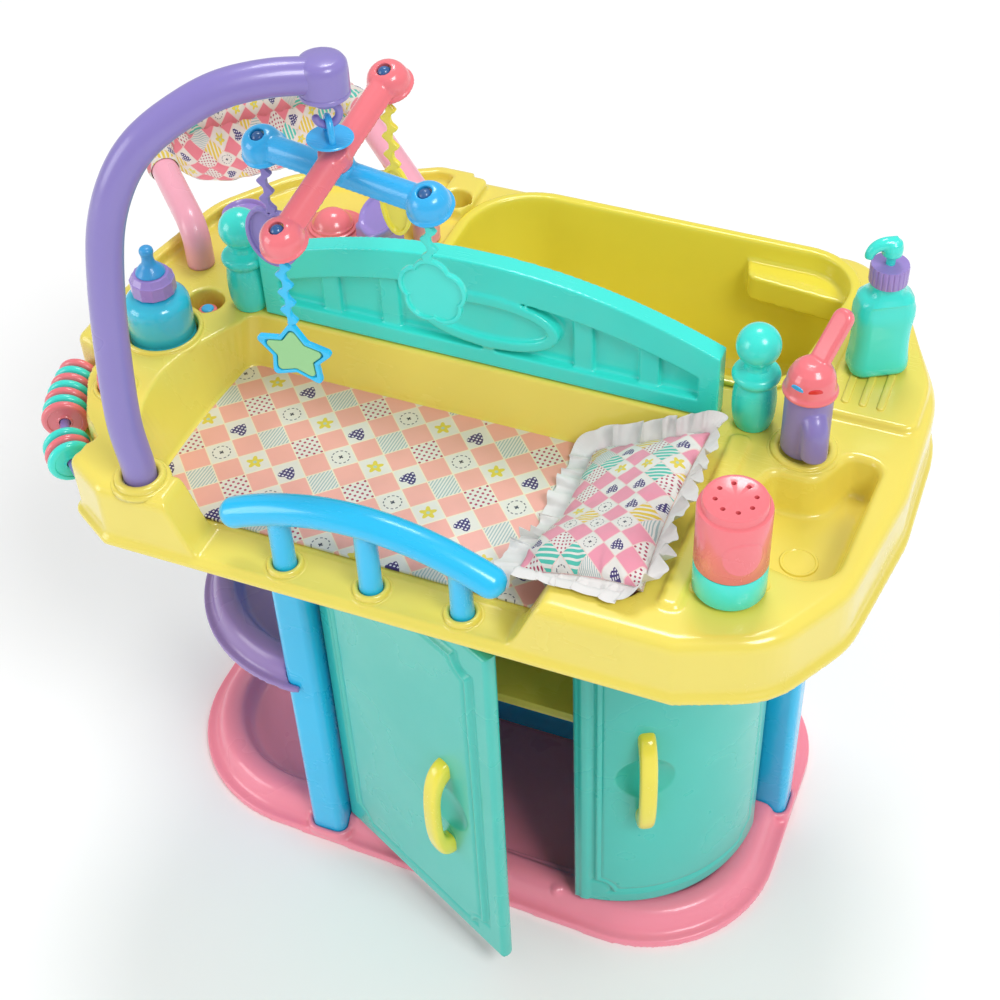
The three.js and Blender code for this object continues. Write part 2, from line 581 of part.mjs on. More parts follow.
// Round door: a quarter of a cylinder, with the same field and dish as the flat one
function addRightDoor() {
  const soft = door.edgeRound;
  const steps = 14;
  const ring = (outer, inner) => {
    const loop = [];
    const seenAt = (radius, step) => {
      const angle = radians(door.roundStart + door.roundSweep * step / steps);
      loop.push(point(round.x + radius * Math.sin(angle), round.y - radius * Math.cos(angle)));
    };
    for (let step = 0; step <= steps; step += 1) seenAt(outer, step);
    for (let step = steps; step >= 0; step -= 1) seenAt(inner, step);
    return loop;
  };
  const inner = round.radius - door.thickness;
  let leaf = terrace(ring(round.radius, inner), [
    [-soft / 2, door.bottom], [0, door.bottom + soft / 2], [0, door.top - soft / 2], [-soft / 2, door.top],
  ]);
  const raised = slab(ring(round.radius + door.panelRise, inner + soft), door.bottom + soft, door.top - soft);
  const arcLength = radians(door.roundSweep) * round.radius;
  const flat = fieldLoop(door.border, arcLength - door.border, door.bottom + door.border, door.top - door.border);
  const seen = flat.flatMap((here, index) => {
    const next = flat[(index + 1) % flat.length];
    const pieces = Math.max(1, Math.round(Math.abs(next.x - here.x) / (2 * door.borderNotch)));
    return Array.from({ length: pieces }, (_, step) => here.clone().lerp(next, step / pieces));
  }).map((p) => point(round.radius * Math.sin(p.x / round.radius - radians(45 - door.roundStart)), p.y));
  const prism = turnedZ(upright(seen, -round.radius * 1.2, 0), radians(45), 0, 0);
  leaf = leaf.add(raised.intersect(shifted(prism, round.x, round.y, 0)));
  const sphere = (door.dishRadius ** 2 + door.dishDepth ** 2) / (2 * door.dishDepth);
  const away = round.radius + door.panelRise + sphere - door.dishDepth;
  const angle = radians(handle.rightAngle);
  leaf = leaf.subtract(ball(
    sphere, round.x + away * Math.sin(angle), round.y - away * Math.cos(angle), handle.rightHeight, dishSteps));
  leaf = join(leaf, ...hingePins(roundHinge.x, roundHinge.y));
  addPiece("right_door", leaf, "teal");
  const seat = round.radius + door.panelRise + fitGap;
  const grip = shifted(handleBar(), 0, -seat, handle.rightHeight);
  addPiece("right_door_handle", shifted(turnedZ(grip, angle, 0, 0), round.x, round.y, 0), "handle");
}

// Outline of the bed; the bulge bows its left side out
function bedLoop(left, right, front, back, bulge) {
  const loop = rectangleLoop(left, right, front, back, bed.corner);
  const extra = [];
  const steps = 8;
  for (let step = 1; step < steps; step += 1) {
    const share = step / steps;
    const y = back - bed.corner - (back - front - 2 * bed.corner) * share;
    extra.push(point(left - bulge * Math.sin(Math.PI * share), y));
  }
  return [...loop, ...extra];
}

// Notch in the front rim, seen from the front
function notchLoop(extra) {
  const slope = bed.notchShoulder;
  const high = deck.height + overrun;
  return [
    point(bed.notchLeft - slope - extra, high), point(bed.notchLeft - extra, deck.height - slope / 2 - extra),
    point(bed.notchLeft + slope / 2 - extra, ledgeTop + slope / 2 - extra), point(bed.notchLeft + slope, ledgeTop - extra),
    point(bed.notchRight - slope / 2, ledgeTop - extra), point(bed.notchRight + extra, ledgeTop + slope / 2 - extra),
    point(bed.notchRight + slope / 2 + extra, high),
  ];
}

function addTableTop() {
  const round4 = deck.edgeRound;
  const outer = terrace(deckLoop, [
    [deck.lipWidth, apronBottom], [deck.lipWidth, apronBottom + deck.lipHeight], [0, apronBottom + 1.5 * deck.lipHeight],
    [0, deck.height - round4], [-round4 * 0.3, deck.height - round4 * 0.3], [-round4, deck.height],
  ]);
  const nicheLip = slab(sharedLoop(nicheCornerShares, deck.halfWidth, deck.halfDepth),
    apronBottom, apronBottom + deck.lipHeight);
  const hollow = terrace(deckLoop, [[-wall, apronBottom - overrun], [-wall, deckUnder]]);
  let top = cut(join(outer, nicheLip), hollow);

  // Walls of the hollows, then the hollows themselves
  const notchBack = bed.front + wall;
  const skin = join(outer, nicheLip);
  const notchWalls = upright(notchLoop(wall), -deck.halfDepth - overrun, notchBack).intersect(skin);
  const bedWalls = loft([
    { loop: grow(bedLoop(bed.left, bed.right, bed.front, bed.back, bed.bulge * 0.15), wall), z: bedUnder },
    { loop: grow(bedLoop(bed.left, bed.right, bed.front, bed.back + bed.slopeBack, bed.bulge), wall), z: deckUnder + wall / 2 },
  ]);
  const bedSpace = loft([
    { loop: bedLoop(bed.left, bed.right, bed.front, bed.back, bed.bulge * 0.15), z: bedFloor },
    { loop: bedLoop(bed.left, bed.right, bed.front, bed.back + bed.slopeBack, bed.bulge), z: deck.height + overrun },
  ]);
  const basinLoop = boxLoop(basinCornerShares, basin);
  const basinBottom = deck.height - basin.depth;
  const basinWalls = terrace(basinLoop, [[wall - basin.slope, basinBottom - wall], [wall, deckUnder + wall / 2]]);
  const basinSpace = terrace(basinLoop, [
    [-basin.slope - wall / 2, basinBottom], [-basin.slope, basinBottom + wall], [-wall / 2, deck.height - wall],
    [0, deck.height], [0, deck.height + overrun],
  ]);
  const well = (at, extra, bottom, high) => disc(at.x, at.y, at.radius + extra, bottom, high);
  const holes = [[holder, deck.height], [pocket, deck.height], [cupHole, deck.height + cupHole.blockRise]];
  const wellWalls = holes.map(([at, rim]) => well(at, wall, rim - at.depth - wall, deckUnder + wall / 2));
  const wellSpaces = holes.map(([at, rim]) => well(at, 0, rim - at.depth, rim + overrun + deck.rimHeight));
  const tubSpace = terrace(tubLoop(), [[fitGap, apronBottom], [fitGap, deck.height + overrun]]);

  const rimLoop = sharedLoop(cornerRimShares, deck.halfWidth, deck.halfDepth);
  const cornerRim = cut(
    terrace(rimLoop, [
      [0, deckUnder], [0, deck.height + deck.rimHeight - wall], [-wall, deck.height + deck.rimHeight],
    ]),
    terrace(rimLoop, [[-deck.rimWidth, deckUnder - overrun], [-deck.rimWidth, deck.height + deck.rimHeight + overrun]]),
    block(cupHole.x, deck.halfWidth + overrun, -deck.halfDepth - overrun, deck.halfDepth + overrun, 0, 2 * deck.height),
    block(-deck.halfWidth - overrun, cupHole.x + overrun, -deck.halfDepth - overrun, pocket.y, 0, 2 * deck.height),
  );
  const extras = [
    cornerRim,
    terrace(rectangleLoop(
      cupHole.x - cupHole.radius - cupHole.blockWall, cupHole.x + cupHole.radius + cupHole.blockWall / 2,
      cupHole.y - cupHole.radius - cupHole.blockWall, deck.halfDepth - 2 * deck.edgeRound, deck.edgeRound),
    [[0, deckUnder], [0, deck.height + cupHole.blockRise - wall / 2], [-wall / 2, deck.height + cupHole.blockRise]]),
    terrace(boxLoop(platformCornerShares, platform), [
      [0, deckUnder], [0, deck.height + platform.rise / 2], [-platform.rise / 2, deck.height + platform.rise],
    ]),
    collar(holder, holder.collar, holder.collarHeight),
    collar(knob, knob.collar, knob.collarHeight),
    collar({ x: arm.x, y: arm.y, radius: arm.radius }, arm.collar, arm.collarHeight),
    collar(faucet, faucet.collar, faucet.collarHeight),
    terrace(rectangleLoop(
      divider.x, divider.x + divider.width, bed.front, newel.y - newel.ringRadius, 2 * divider.rise), [
      [0, deckUnder], [0, deck.height], [-divider.rise, deck.height + divider.rise],
    ]),
  ];
  for (let index = 0; index < drainRib.count; index += 1) {
    const x = drainRib.x + index * drainRib.pitch;
    extras.push(terrace(rectangleLoop(
      x - drainRib.width / 2, x + drainRib.width / 2, drainRib.y - drainRib.width / 2, drainRib.y + drainRib.length,
      drainRib.width / 2, 2 * cornerStep), [
      [0, deck.height], [0, deck.height + platform.rise], [-drainRib.rise / 2, deck.height + platform.rise + drainRib.rise],
    ]));
  }
  const canBar = rectangleLoop(
    can.x - canRib.length / 2, can.x + canRib.length / 2, can.y - canRib.width / 2, can.y + canRib.width / 2,
    canRib.width / 2, 2 * cornerStep);
  extras.push(turnedZ(terrace(canBar, [
    [0, deckUnder], [0, deck.height], [-canRib.rise / 2, deck.height + canRib.rise],
  ]), radians(canRib.turn), can.x, can.y));
  const hinges = [[door.hingeX, door.hingeY, bedUnder], [roundHinge.x, roundHinge.y, deckUnder]];
  const bossBottom = door.top + door.pinReach / 3;
  hinges.forEach(([x, y, under]) => extras.push(disc(x, y, pinRadius + wall, bossBottom, under + wall / 2)));

  top = join(top, beadGroove(wall).intersect(skin), notchWalls, bedWalls, basinWalls, ...wellWalls, ...extras);
  const tubRim = slab(grow(tubLoop(), tub.rimWidth + fitGap), deck.height, deck.height + 2 * cupHole.blockRise);
  top = cut(top, tubRim, upright(notchLoop(0), -deck.halfDepth - 2 * overrun, notchBack), bedSpace, basinSpace,
    ...wellSpaces, tubSpace, beadGroove(0));
  railPostX.forEach((x) => {
    top = top.add(turned(x, rail.y, [
      [0, ledgeTop - wall], [rail.postRadius + rail.collar, ledgeTop - wall], [rail.postRadius + rail.collar, ledgeTop],
      [rail.postRadius + rail.collar / 2, ledgeTop + rail.collarHeight], [0, ledgeTop + rail.collarHeight],
    ], 12));
  });
  top = top.add(disc(basin.drainX, basin.drainY, basin.drainRadius, basinBottom - wall / 2, basinBottom + basin.drainRise));
  hinges.forEach(([x, y]) => {
    top = top.subtract(disc(x, y, pinRadius + fitGap, bossBottom - overrun, door.top + door.pinReach + fitGap));
  });
  top = cut(top,
    disc(arm.x, arm.y, arm.radius + fitGap, deck.height - arm.footDepth + fitGap, deck.height + arm.capTop, 24),
    disc(pocket.x, pocket.y, pocket.buttonStem + fitGap, apronBottom, deck.height));
  top = top.subtract(bar(rodCurve, beads.rod + fitGap, rodSteps, rodSides));
  addPiece("table_top", top, "yellow");
}

// A raised ring round a place on the deck
function collar(at, width, height) {
  return turned(at.x, at.y, [
    [0, deckUnder], [at.radius + width, deckUnder], [at.radius + width, deck.height + height / 2],
    [at.radius + width / 2, deck.height + height], [0, deck.height + height],
  ]);
}

const tubLoop = () => boxLoop(tubCornerShares, tub);

// Bath with a rolled rim that lies on the deck and a ledge for soap in its far corner
function addTub() {
  const loop = tubLoop();
  const rimTop = deck.height + fitGap + tub.rimHeight;
  const outer = terrace(loop, [
    [-tub.slope * 1.5, tubBottom], [-tub.slope, tubBottom + tub.slope / 2], [-fitGap * 3, deckUnder - wall],
    [-fitGap, deck.height], [-fitGap, deck.height + fitGap],
    [tub.rimWidth, deck.height + fitGap], [tub.rimWidth, rimTop - tub.rimRound],
    [tub.rimWidth - tub.rimRound, rimTop],
  ]);
  const inner = terrace(loop, [
    [-tub.slope * 1.5 - tub.wall, tubBottom + tub.wall], [-tub.slope - tub.wall, tubBottom + tub.wall + tub.slope / 2],
    [-tub.wall - fitGap * 3, deckUnder - wall], [-tub.wall, deck.height], [-tub.rimRound, rimTop],
    [-tub.rimRound, rimTop + overrun],
  ]);
  const ledgeTopZ = deck.height - tub.ledgeDrop;
  const ledge = slab(boxLoop(tubLedgeShares, tub), ledgeTopZ - tub.ledgeHeight, ledgeTopZ);
  addPiece("bath_tub", join(cut(outer, inner), ledge.intersect(outer)), "yellow");
}

// Thin printed mat on the floor of the bed
function addMat() {
  const inset = bed.matInset;
  const loop = bedLoop(
    bed.left + inset, bed.right - inset, bed.front + inset + wall, bed.back - inset, bed.bulge * 0.1);
  addPiece("bed_mat", slab(loop, bedFloor + fitGap, bedFloor + bed.matThickness), "mat");
}

// Pillow with a crown, thin edges and sides that draw in between the corners, leaning on the divider
const pillow = { x: 132, y: -106, z: 466.7, width: 98, length: 156, crown: 24, hem: 5, draw: 5, tilt: 28 };
function addPillow() {
  const steps = 12;
  const grid = [];
  const faces = [];
  [1, -1].forEach((side) => {
    for (let row = 0; row <= steps; row += 1) {
      for (let column = 0; column <= steps; column += 1) {
        const u = 2 * column / steps - 1;
        const v = 2 * row / steps - 1;
        const drawX = pillow.width / 2 - pillow.draw * (1 - v * v);
        const drawY = pillow.length / 2 - pillow.draw * (1 - u * u);
        const swell = ((1 - u ** 4) * (1 - v ** 4)) ** 0.6;
        grid.push(u * drawX, v * drawY, side * (pillow.hem / 2 + (pillow.crown - pillow.hem) / 2 * swell));
      }
    }
  });
  const layer = (steps + 1) ** 2;
  const at = (row, column) => row * (steps + 1) + column;
  for (let row = 0; row < steps; row += 1) {
    for (let column = 0; column < steps; column += 1) {
      const quad = [at(row, column), at(row, column + 1), at(row + 1, column + 1), at(row + 1, column)];
      faces.push(quad[0], quad[1], quad[2], quad[0], quad[2], quad[3]);
      const under = quad.map((corner) => corner + layer);
      faces.push(under[0], under[2], under[1], under[0], under[3], under[2]);
    }
  }
  const edge = [];
  for (let step = 0; step < steps; step += 1) edge.push(at(0, step));
  for (let step = 0; step < steps; step += 1) edge.push(at(step, steps));
  for (let step = steps; step > 0; step -= 1) edge.push(at(steps, step));
  for (let step = steps; step > 0; step -= 1) edge.push(at(step, 0));
  edge.forEach((corner, index) => {
    const next = edge[(index + 1) % edge.length];
    faces.push(corner + layer, next + layer, next, corner + layer, next, corner);
  });
  const geometry = new THREE.BufferGeometry();
  geometry.setAttribute("position", new THREE.Float32BufferAttribute(grid, 3));
  geometry.setIndex(faces);
  geometry.rotateY(radians(-pillow.tilt));
  geometry.translate(pillow.x, pillow.y, pillow.z);
  addPiece("pillow", solidOf(geometry), "fabric");
}

// Headboard: an arched frame with balusters in relief and an oval plaque
function addHeadboard() {
  const h = headboard;
  const middle = (h.left + h.right) / 2;
  const half = (h.right - h.left) / 2;
  const archZ = (x, drop) => h.endTop + (h.centreTop - h.endTop) * (1 - ((x - middle) / half) ** 2) - drop;
  const steps = 12;
  const archLoop = (inset, drop, bottom) => {
    const loop = [point(h.left + inset, bottom), point(h.right - inset, bottom)];
    for (let step = 0; step <= steps; step += 1) {
      const x = h.right - inset - (h.right - h.left - 2 * inset) * step / steps;
      loop.push(point(x, archZ(x, drop)));
    }
    return loop;
  };
  const back = h.y + h.depth;
  const field = h.bottom + h.footHeight;
  let board = upright(archLoop(0, 0, h.bottom), h.y, back);
  const recess = upright(archLoop(h.stile, h.railHeight, field), h.y - overrun, h.y + h.field);
  const backRecess = upright(archLoop(h.stile, h.railHeight, field), back - h.rise, back + overrun);
  board = cut(board, recess, backRecess);
  const inside = upright(archLoop(h.stile / 2, h.railHeight / 2, h.bottom + h.footHeight / 2), h.y, back);
  balusterX.forEach((x) => {
    const post = block(x - h.stile / 2, x + h.stile / 2, h.y + h.rise, h.y + h.field + overrun, h.bottom, h.centreTop);
    board = board.add(post.intersect(inside));
  });
  const oval = (grown) => circleLoop(0, 0, 1, 20).map((p) =>
    point(plaque.x + p.x * (plaque.halfWidth + grown), plaque.z + p.y * (plaque.halfHeight + grown)));
  board = board.add(upright(oval(0), h.y - plaque.rise / 2, h.y + h.field + overrun));
  board = board.subtract(upright(oval(-plaque.rim), h.y - plaque.rise, h.y + plaque.recess));
  [1, -1].forEach((side) => {
    const z = plaque.z + side * (plaque.halfHeight + plaque.rim / 3);
    board = board.add(upright(circleLoop(plaque.x, z, plaque.rim / 2), h.y, h.y + h.field + overrun));
  });
  const base0 = block(h.left, h.right, h.y + h.rise / 2, back - h.rise / 2, deck.height + fitGap, h.bottom + wall);
  addPiece("headboard_panel", join(board, base0), "teal");
  const n = newel;
  const foot = deck.height + fitGap;
  [["left_newel", n.leftX], ["right_newel", n.rightX]].forEach(([name, x]) => {
    const ring = foot + n.ringHeight;
    const ballZ = foot + n.ballHeight;
    const profile = [
      [0, foot], [n.foot, foot], [n.radius * 0.97, foot + n.ringHeight * 0.2], [n.radius, foot + n.ringHeight * 0.5],
      [n.radius * 0.9, ring - n.neck * 0.8], [n.ringRadius * 0.9, ring - n.neck * 0.5], [n.ringRadius, ring],
      [n.ringRadius * 0.9, ring + n.neck * 0.4], [n.neck, ring + n.neck * 0.7],
    ];
    for (let step = 2; step <= 6; step += 1) {
      const angle = radians(-90 + 30 * step);
      profile.push([n.radius * Math.cos(angle), ballZ + n.radius * Math.sin(angle)]);
    }
    profile[profile.length - 1] = [0, ballZ + n.radius];
    let post = turned(x, n.y, profile, newelSteps);
    const side = x < 0 ? h.left - fitGap : h.right + fitGap;
    const space = x < 0
      ? block(side, side + 2 * n.radius, h.y - overrun, back + overrun, 0, 2 * deck.height)
      : block(side - 2 * n.radius, side, h.y - overrun, back + overrun, 0, 2 * deck.height);
    post = post.subtract(space);
    addPiece(name, post, "teal");
  });
}

// Guard rail: an arched bar with round ends on three posts
function addGuardRail() {
  const middle = (rail.left + rail.right) / 2;
  const curve = new THREE.QuadraticBezierCurve3(
    new THREE.Vector3(rail.left, rail.y, rail.endHeight),
    new THREE.Vector3(middle, rail.y, rail.endHeight + 2 * rail.archRise),
    new THREE.Vector3(rail.right, rail.y, rail.endHeight));
  const shares = [[0, 0.3], [0, 0.75], [0, 1], ...Array.from({ length: 7 }, (_, step) => [(step + 1) / 8, 1]),
    [1, 1], [1, 0.75], [1, 0.3]];
  const ends = shares.map(([share, size]) => {
    const past = rail.radius * Math.sqrt(1 - size * size) * (share < 0.5 ? -1 : 1);
    return curve.getPointAt(share).addScaledVector(curve.getTangentAt(share), share % 1 ? 0 : past);
  });
  let body = sweep(ends, rail.radius, 10, shares.map(([, size]) => size));
  railPostX.forEach((x) => {
    const share = (x - rail.left) / (rail.right - rail.left);
    const top = curve.getPoint(share).z;
    body = body.add(disc(x, rail.y, rail.postRadius, ledgeTop + rail.collarHeight + fitGap, top, 10));
  });
  addPiece("guard_rail", body, "blue");
}

// Point of the arm at a reach and a rise, in its own upright plane
const armPoint = (out, up) => new THREE.Vector3(
  arm.x + out * Math.cos(radians(arm.azimuth)), arm.y + out * Math.sin(radians(arm.azimuth)), deck.height + up);

function addArm() {
  const points = armShares.map(([out, up]) => armPoint(out * arm.reach, up * arm.rise));
  const curve = new THREE.CatmullRomCurve3(points, false, "centripetal");
  const end = armPoint(arm.reach, arm.capTop);
  let body = bar(curve, arm.radius, 16, 10);
  body = body.add(disc(arm.x, arm.y, arm.radius, deck.height - arm.footDepth + 2 * fitGap, deck.height + arm.collarHeight, 12));
  const capBottom = end.z - arm.capHeight;
  body = body.add(turned(end.x, end.y, [
    [0, capBottom], [arm.capRadius, capBottom], [arm.capRadius, end.z - arm.capRadius / 4],
    [arm.capRadius * 0.88, end.z - arm.capRadius / 12], [arm.capRadius * 0.6, end.z], [0, end.z],
  ]));
  body = body.subtract(disc(end.x, end.y, hook.stem + fitGap, capBottom - overrun, capBottom + hook.stemLength));
  addPiece("mobile_arm", body, "purple");
}

// Axis on which the mobile hangs and turns, and the height of the centre of the hook's ring
const hangPoint = armPoint(arm.reach, arm.capTop - arm.capHeight);
const hookCentre = hangPoint.z - hook.stemLength / 2 - hook.bend;

// Hook that hangs from the cap: a stem with a ring below it, open at one side
function addHook() {
  const end = hangPoint;
  const stem = disc(end.x, end.y, hook.stem, end.z - hook.stemLength / 2, end.z + hook.stemLength - fitGap, 14);
  const centreZ = hookCentre;
  const across = radians(arm.azimuth);
  const arc = new THREE.CatmullRomCurve3(Array.from({ length: 9 }, (_, index) => {
    const angle = radians(90 - 32 * index);
    return new THREE.Vector3(
      end.x + hook.bend * Math.cos(angle) * Math.cos(across), end.y + hook.bend * Math.cos(angle) * Math.sin(across),
      centreZ + hook.bend * Math.sin(angle));
  }));
  const flange = disc(end.x, end.y, hook.stem * 1.8, end.z - hook.stemLength / 2, end.z - fitGap, 14);
  addPiece("mobile_hook", join(stem, flange, bar(arc, hook.wire, 12, 6)), "purple");
}

// The cross of the mobile hangs tilted: its frame turns about the blue bar
const mobileFrame = new THREE.Matrix4().makeTranslation(hangPoint.x, hangPoint.y, mobile.z)
  .multiply(new THREE.Matrix4().makeRotationZ(radians(mobile.azimuth)))
  .multiply(new THREE.Matrix4().makeRotationY(radians(-mobile.tilt)));

// A bar of the mobile along X: a trough with its open side down, and a dome at each end
function mobileBar(lift) {
  const half = mobile.span / 2;
  const across = (width, height, bottom) => {
    const loop = [];
    for (let step = 0; step <= 4; step += 1) {
      const angle = Math.PI * step / 4;
      loop.push(point(width / 2 * Math.cos(angle), bottom + height * Math.sin(angle)));
    }
    return loop;
  };
  const low = lift - mobile.barHeight;
  const domeSteps = 10;
  const lengthwise = (loop, reach) => placed(upright(loop, -reach, reach), new THREE.Matrix4().makeRotationZ(Math.PI / 2));
  let body = join(
    lengthwise(across(mobile.barWidth, mobile.barHeight, low), half),
    block(-half, half, -mobile.barFlange / 2, mobile.barFlange / 2, low, low + mobile.flangeHeight),
  );
  const dome = (radius, height, bottom) => [
    [0, bottom], [radius, bottom], [radius * 0.9, bottom + height * 0.45], [radius * 0.55, bottom + height * 0.85],
    [0, bottom + height],
  ];
  [-half, half].forEach((x) => {
    body = body.add(turned(x, 0, dome(mobile.domeRadius, mobile.domeHeight, low - mobile.skirt), domeSteps));
  });
  const shell = mobile.shell;
  body = body.subtract(lengthwise(across(mobile.barWidth - 2 * shell, mobile.barHeight - shell, low - overrun), half));
  const top = low - mobile.skirt + mobile.domeHeight;
  const web = top - mobile.seatDepth - shell;
  [-half, half].forEach((x) => {
    const bottom = low - mobile.skirt - overrun;
    body = cut(body,
      turned(x, 0, dome(mobile.domeRadius - shell, web - bottom, bottom), domeSteps),
      disc(x, 0, mobile.holeRadius, web - overrun, top, domeSteps),
      disc(x, 0, chain.ball + chain.ballGap, web + shell, top + overrun, domeSteps));
  });
  return body;
}

function addMobile() {
  const pink = mobileBar(0);
  const pinkHub = disc(0, 0, mobile.barFlange / 2, -mobile.barHeight - mobile.skirt, -mobile.shell);
  addPiece("pink_bar", placed(join(pink, pinkHub), mobileFrame), "pink");
  const blue = turnedZ(mobileBar(-mobile.drop), Math.PI / 2, 0, 0);
  const hubTop = -mobile.barHeight - mobile.skirt - fitGap;
  const blueHub = disc(0, 0, mobile.barFlange / 2, -mobile.drop - mobile.barHeight, hubTop);
  addPiece("blue_bar", placed(join(blue, blueHub), mobileFrame), "blue");
  addHanger();
}

// A level disc above the cross, with a loop on it that the hook goes through and a ball foot on the hub
function addHanger() {
  const { x, y } = hangPoint;
  const top = hanger.discHeight + hanger.discThickness;
  const plateDisc = disc(x, y, hanger.discRadius, hanger.discHeight, top);
  const foot = ball(hanger.ball, x, y, mobile.z + hanger.ball + 2 * fitGap, 10);
  const across = radians(arm.azimuth + 90);
  const crest = hookCentre - hook.bend + hook.wire + hanger.wire + fitGap;
  const arch = new THREE.CatmullRomCurve3(Array.from({ length: 9 }, (_, index) => {
    const angle = Math.PI * index / 8;
    const out = hanger.archRadius * Math.cos(angle);
    const low = top - hanger.discThickness / 2;
    return new THREE.Vector3(
      x + out * Math.cos(across), y + out * Math.sin(across), low + (crest - low) * Math.sin(angle));
  }));
  addPiece("hanger_loop", join(plateDisc, foot, bar(arch, hanger.wire, 10, 6)), "blue");
}

// Ends of the two bars, in the tilted frame
const barEnds = {
  pinkNear: [-mobile.span / 2, 0, 0], pinkFar: [mobile.span / 2, 0, 0],
  blueRight: [0, -mobile.span / 2, -mobile.drop], blueLeft: [0, mobile.span / 2, -mobile.drop],
};

// Outline of a pendant plate about its centre, in the plane of X and Z
function plateLoop(name, width, height) {
  const loop = [];
  const steps = name === "cloud_pendant" ? 28 : 20;
  for (let step = 0; step < steps; step += 1) {
    const angle = Math.PI / 2 + 2 * Math.PI * step / steps;
    let radius = 1;
    if (name === "star_pendant") radius = 0.76 + 0.24 * Math.cos(5 * (angle - Math.PI / 2)) ** 3;
    if (name === "cloud_pendant") radius = 0.9 + 0.1 * Math.abs(Math.cos(3.5 * (angle - Math.PI / 2)));
    if (name === "heart_pendant") radius = 0.86 + 0.14 * Math.sin(angle + Math.PI);
    loop.push(point(width / 2 * radius * Math.cos(angle), height / 2 * radius * Math.sin(angle)));
  }
  return loop;
}

// Outline of a flat chain whose links lean to one side and the other
function chainLoop(links, top) {
  const stations = Array.from({ length: 2 * links + 1 }, (_, index) => ({
    z: top - chain.pitch * index / 2,
    half: index % 2 ? chain.width / 2 : chain.width / 4,
    lean: index % 2 ? (index % 4 - 2) * chain.width / 8 : 0,
  }));
  const left = stations.map(({ z, half, lean }) => point(lean - half, z));
  const right = stations.map(({ z, half, lean }) => point(lean + half, z)).reverse();
  return [...left, ...right];
}

function pendant(name, { end, chainLength, height, width }) {
  const centre = new THREE.Vector3(...barEnds[end]);
  const seat = mobile.domeHeight - mobile.barHeight - mobile.skirt - mobile.seatDepth;
  centre.z += seat + Math.sqrt((chain.ball + fitGap) ** 2 - mobile.holeRadius ** 2);
  const pivot = centre.applyMatrix4(mobileFrame);
  const links = Math.round(chainLength / chain.pitch);
  const top = pivot.z - mobile.domeHeight;
  const half = chain.thickness / 2;
  const neck = disc(0, 0, chain.neck, top - chain.pitch, pivot.z, 6);
  let body = join(ball(chain.ball, 0, 0, pivot.z, 8), neck);
  body = body.add(upright(chainLoop(links, top), -half, half));
  const [crest] = plateLoop(name, width, height);
  const centreZ = top - links * chain.pitch - crest.y + chain.pitch / 4;
  const outline = (inset) => plateLoop(name, width - 2 * inset, height - 2 * inset)
    .map((p) => point(p.x, p.y + centreZ));
  const plateBody = upright(outline(0), -plate.thickness / 2, plate.thickness / 2);
  const dip = upright(outline(plate.rim), -plate.thickness, plate.thickness / 2 - plate.floor);
  body = body.add(plateBody.subtract(dip));
  const solid = shifted(body, pivot.x, pivot.y, 0);
  const insert = upright(
    outline(plate.rim + plate.insertInset), -plate.thickness / 2, plate.thickness / 2 - plate.floor - fitGap);
  return { solid, insert: shifted(insert, pivot.x, pivot.y, 0) };
}

function addPendants() {
  const paint = { star_pendant: "blue", cloud_pendant: "teal", heart_pendant: "purple", oval_pendant: "handle" };
  Object.entries(pendants).forEach(([name, sizes]) => {
    const { solid, insert } = pendant(name, sizes);
    addPiece(name, solid, paint[name]);
    if (name === "star_pendant") addPiece("star_insert", insert, "green");
  });
}

// The rod bows outwards between two stubs of the deck
const rodSteps = 10;
const rodSides = 6;
const rodCurve = (() => {
  const start = new THREE.Vector3(beads.startX, beads.startY, beads.height);
  const end = new THREE.Vector3(beads.endX, beads.endY, beads.height);
  const along = end.clone().sub(start);
  const side = new THREE.Vector3(along.y, -along.x, 0).normalize();
  const middle = start.clone().add(end).multiplyScalar(0.5).addScaledVector(side, 2 * beads.bow);
  return new THREE.QuadraticBezierCurve3(start, middle, end);
})();

// The stretch of the rod that carries beads
const beadLength = (beadColours.length - 1) * beads.thickness + beads.gap;
const beadStretch = (() => {
  const half = beadLength / rodCurve.getLength() / 2;
  const shares = Array.from({ length: 7 }, (_, index) => 0.5 - half + 2 * half * index / 6);
  return new THREE.CatmullRomCurve3(shares.map((share) => rodCurve.getPointAt(share)));
})();
const beadGroove = (extra) => bar(beadStretch, beads.radius + beads.clearance + extra, 6, 12);

function addBeads() {
  addPiece("bead_rod", bar(rodCurve, beads.rod, rodSteps, rodSides), "purple");
  const length = rodCurve.getLength();
  let along = (length - beadLength) / 2;
  let number = 1;
  beadColours.forEach((kind) => {
    if (kind === "gap") {
      along += beads.gap;
      return;
    }
    const share = (along + beads.thickness / 2) / length;
    const centre = rodCurve.getPointAt(share);
    const direction = rodCurve.getTangentAt(share);
    const half = (beads.thickness - beads.play) / 2;
    const outer = beads.radius;
    const ringProfile = [
      [beads.hole, -half], [outer * 0.75, -half], [outer, -half * 0.3], [outer, half * 0.3], [outer * 0.75, half],
      [beads.hole, half], [beads.hole, -half],
    ];
    const lathe = new THREE.LatheGeometry(ringProfile.map(([r, h]) => point(r, h)), 10);
    const turn = new THREE.Quaternion().setFromUnitVectors(new THREE.Vector3(0, 1, 0), direction);
    lathe.applyQuaternion(turn);
    lathe.translate(centre.x, centre.y, centre.z);
    const name = `bead_${String(number).padStart(2, "0")}`;
    addPiece(name, solidOf(lathe), kind === "teal" ? "teal" : "pink");
    number += 1;
    along += beads.thickness;
  });
}

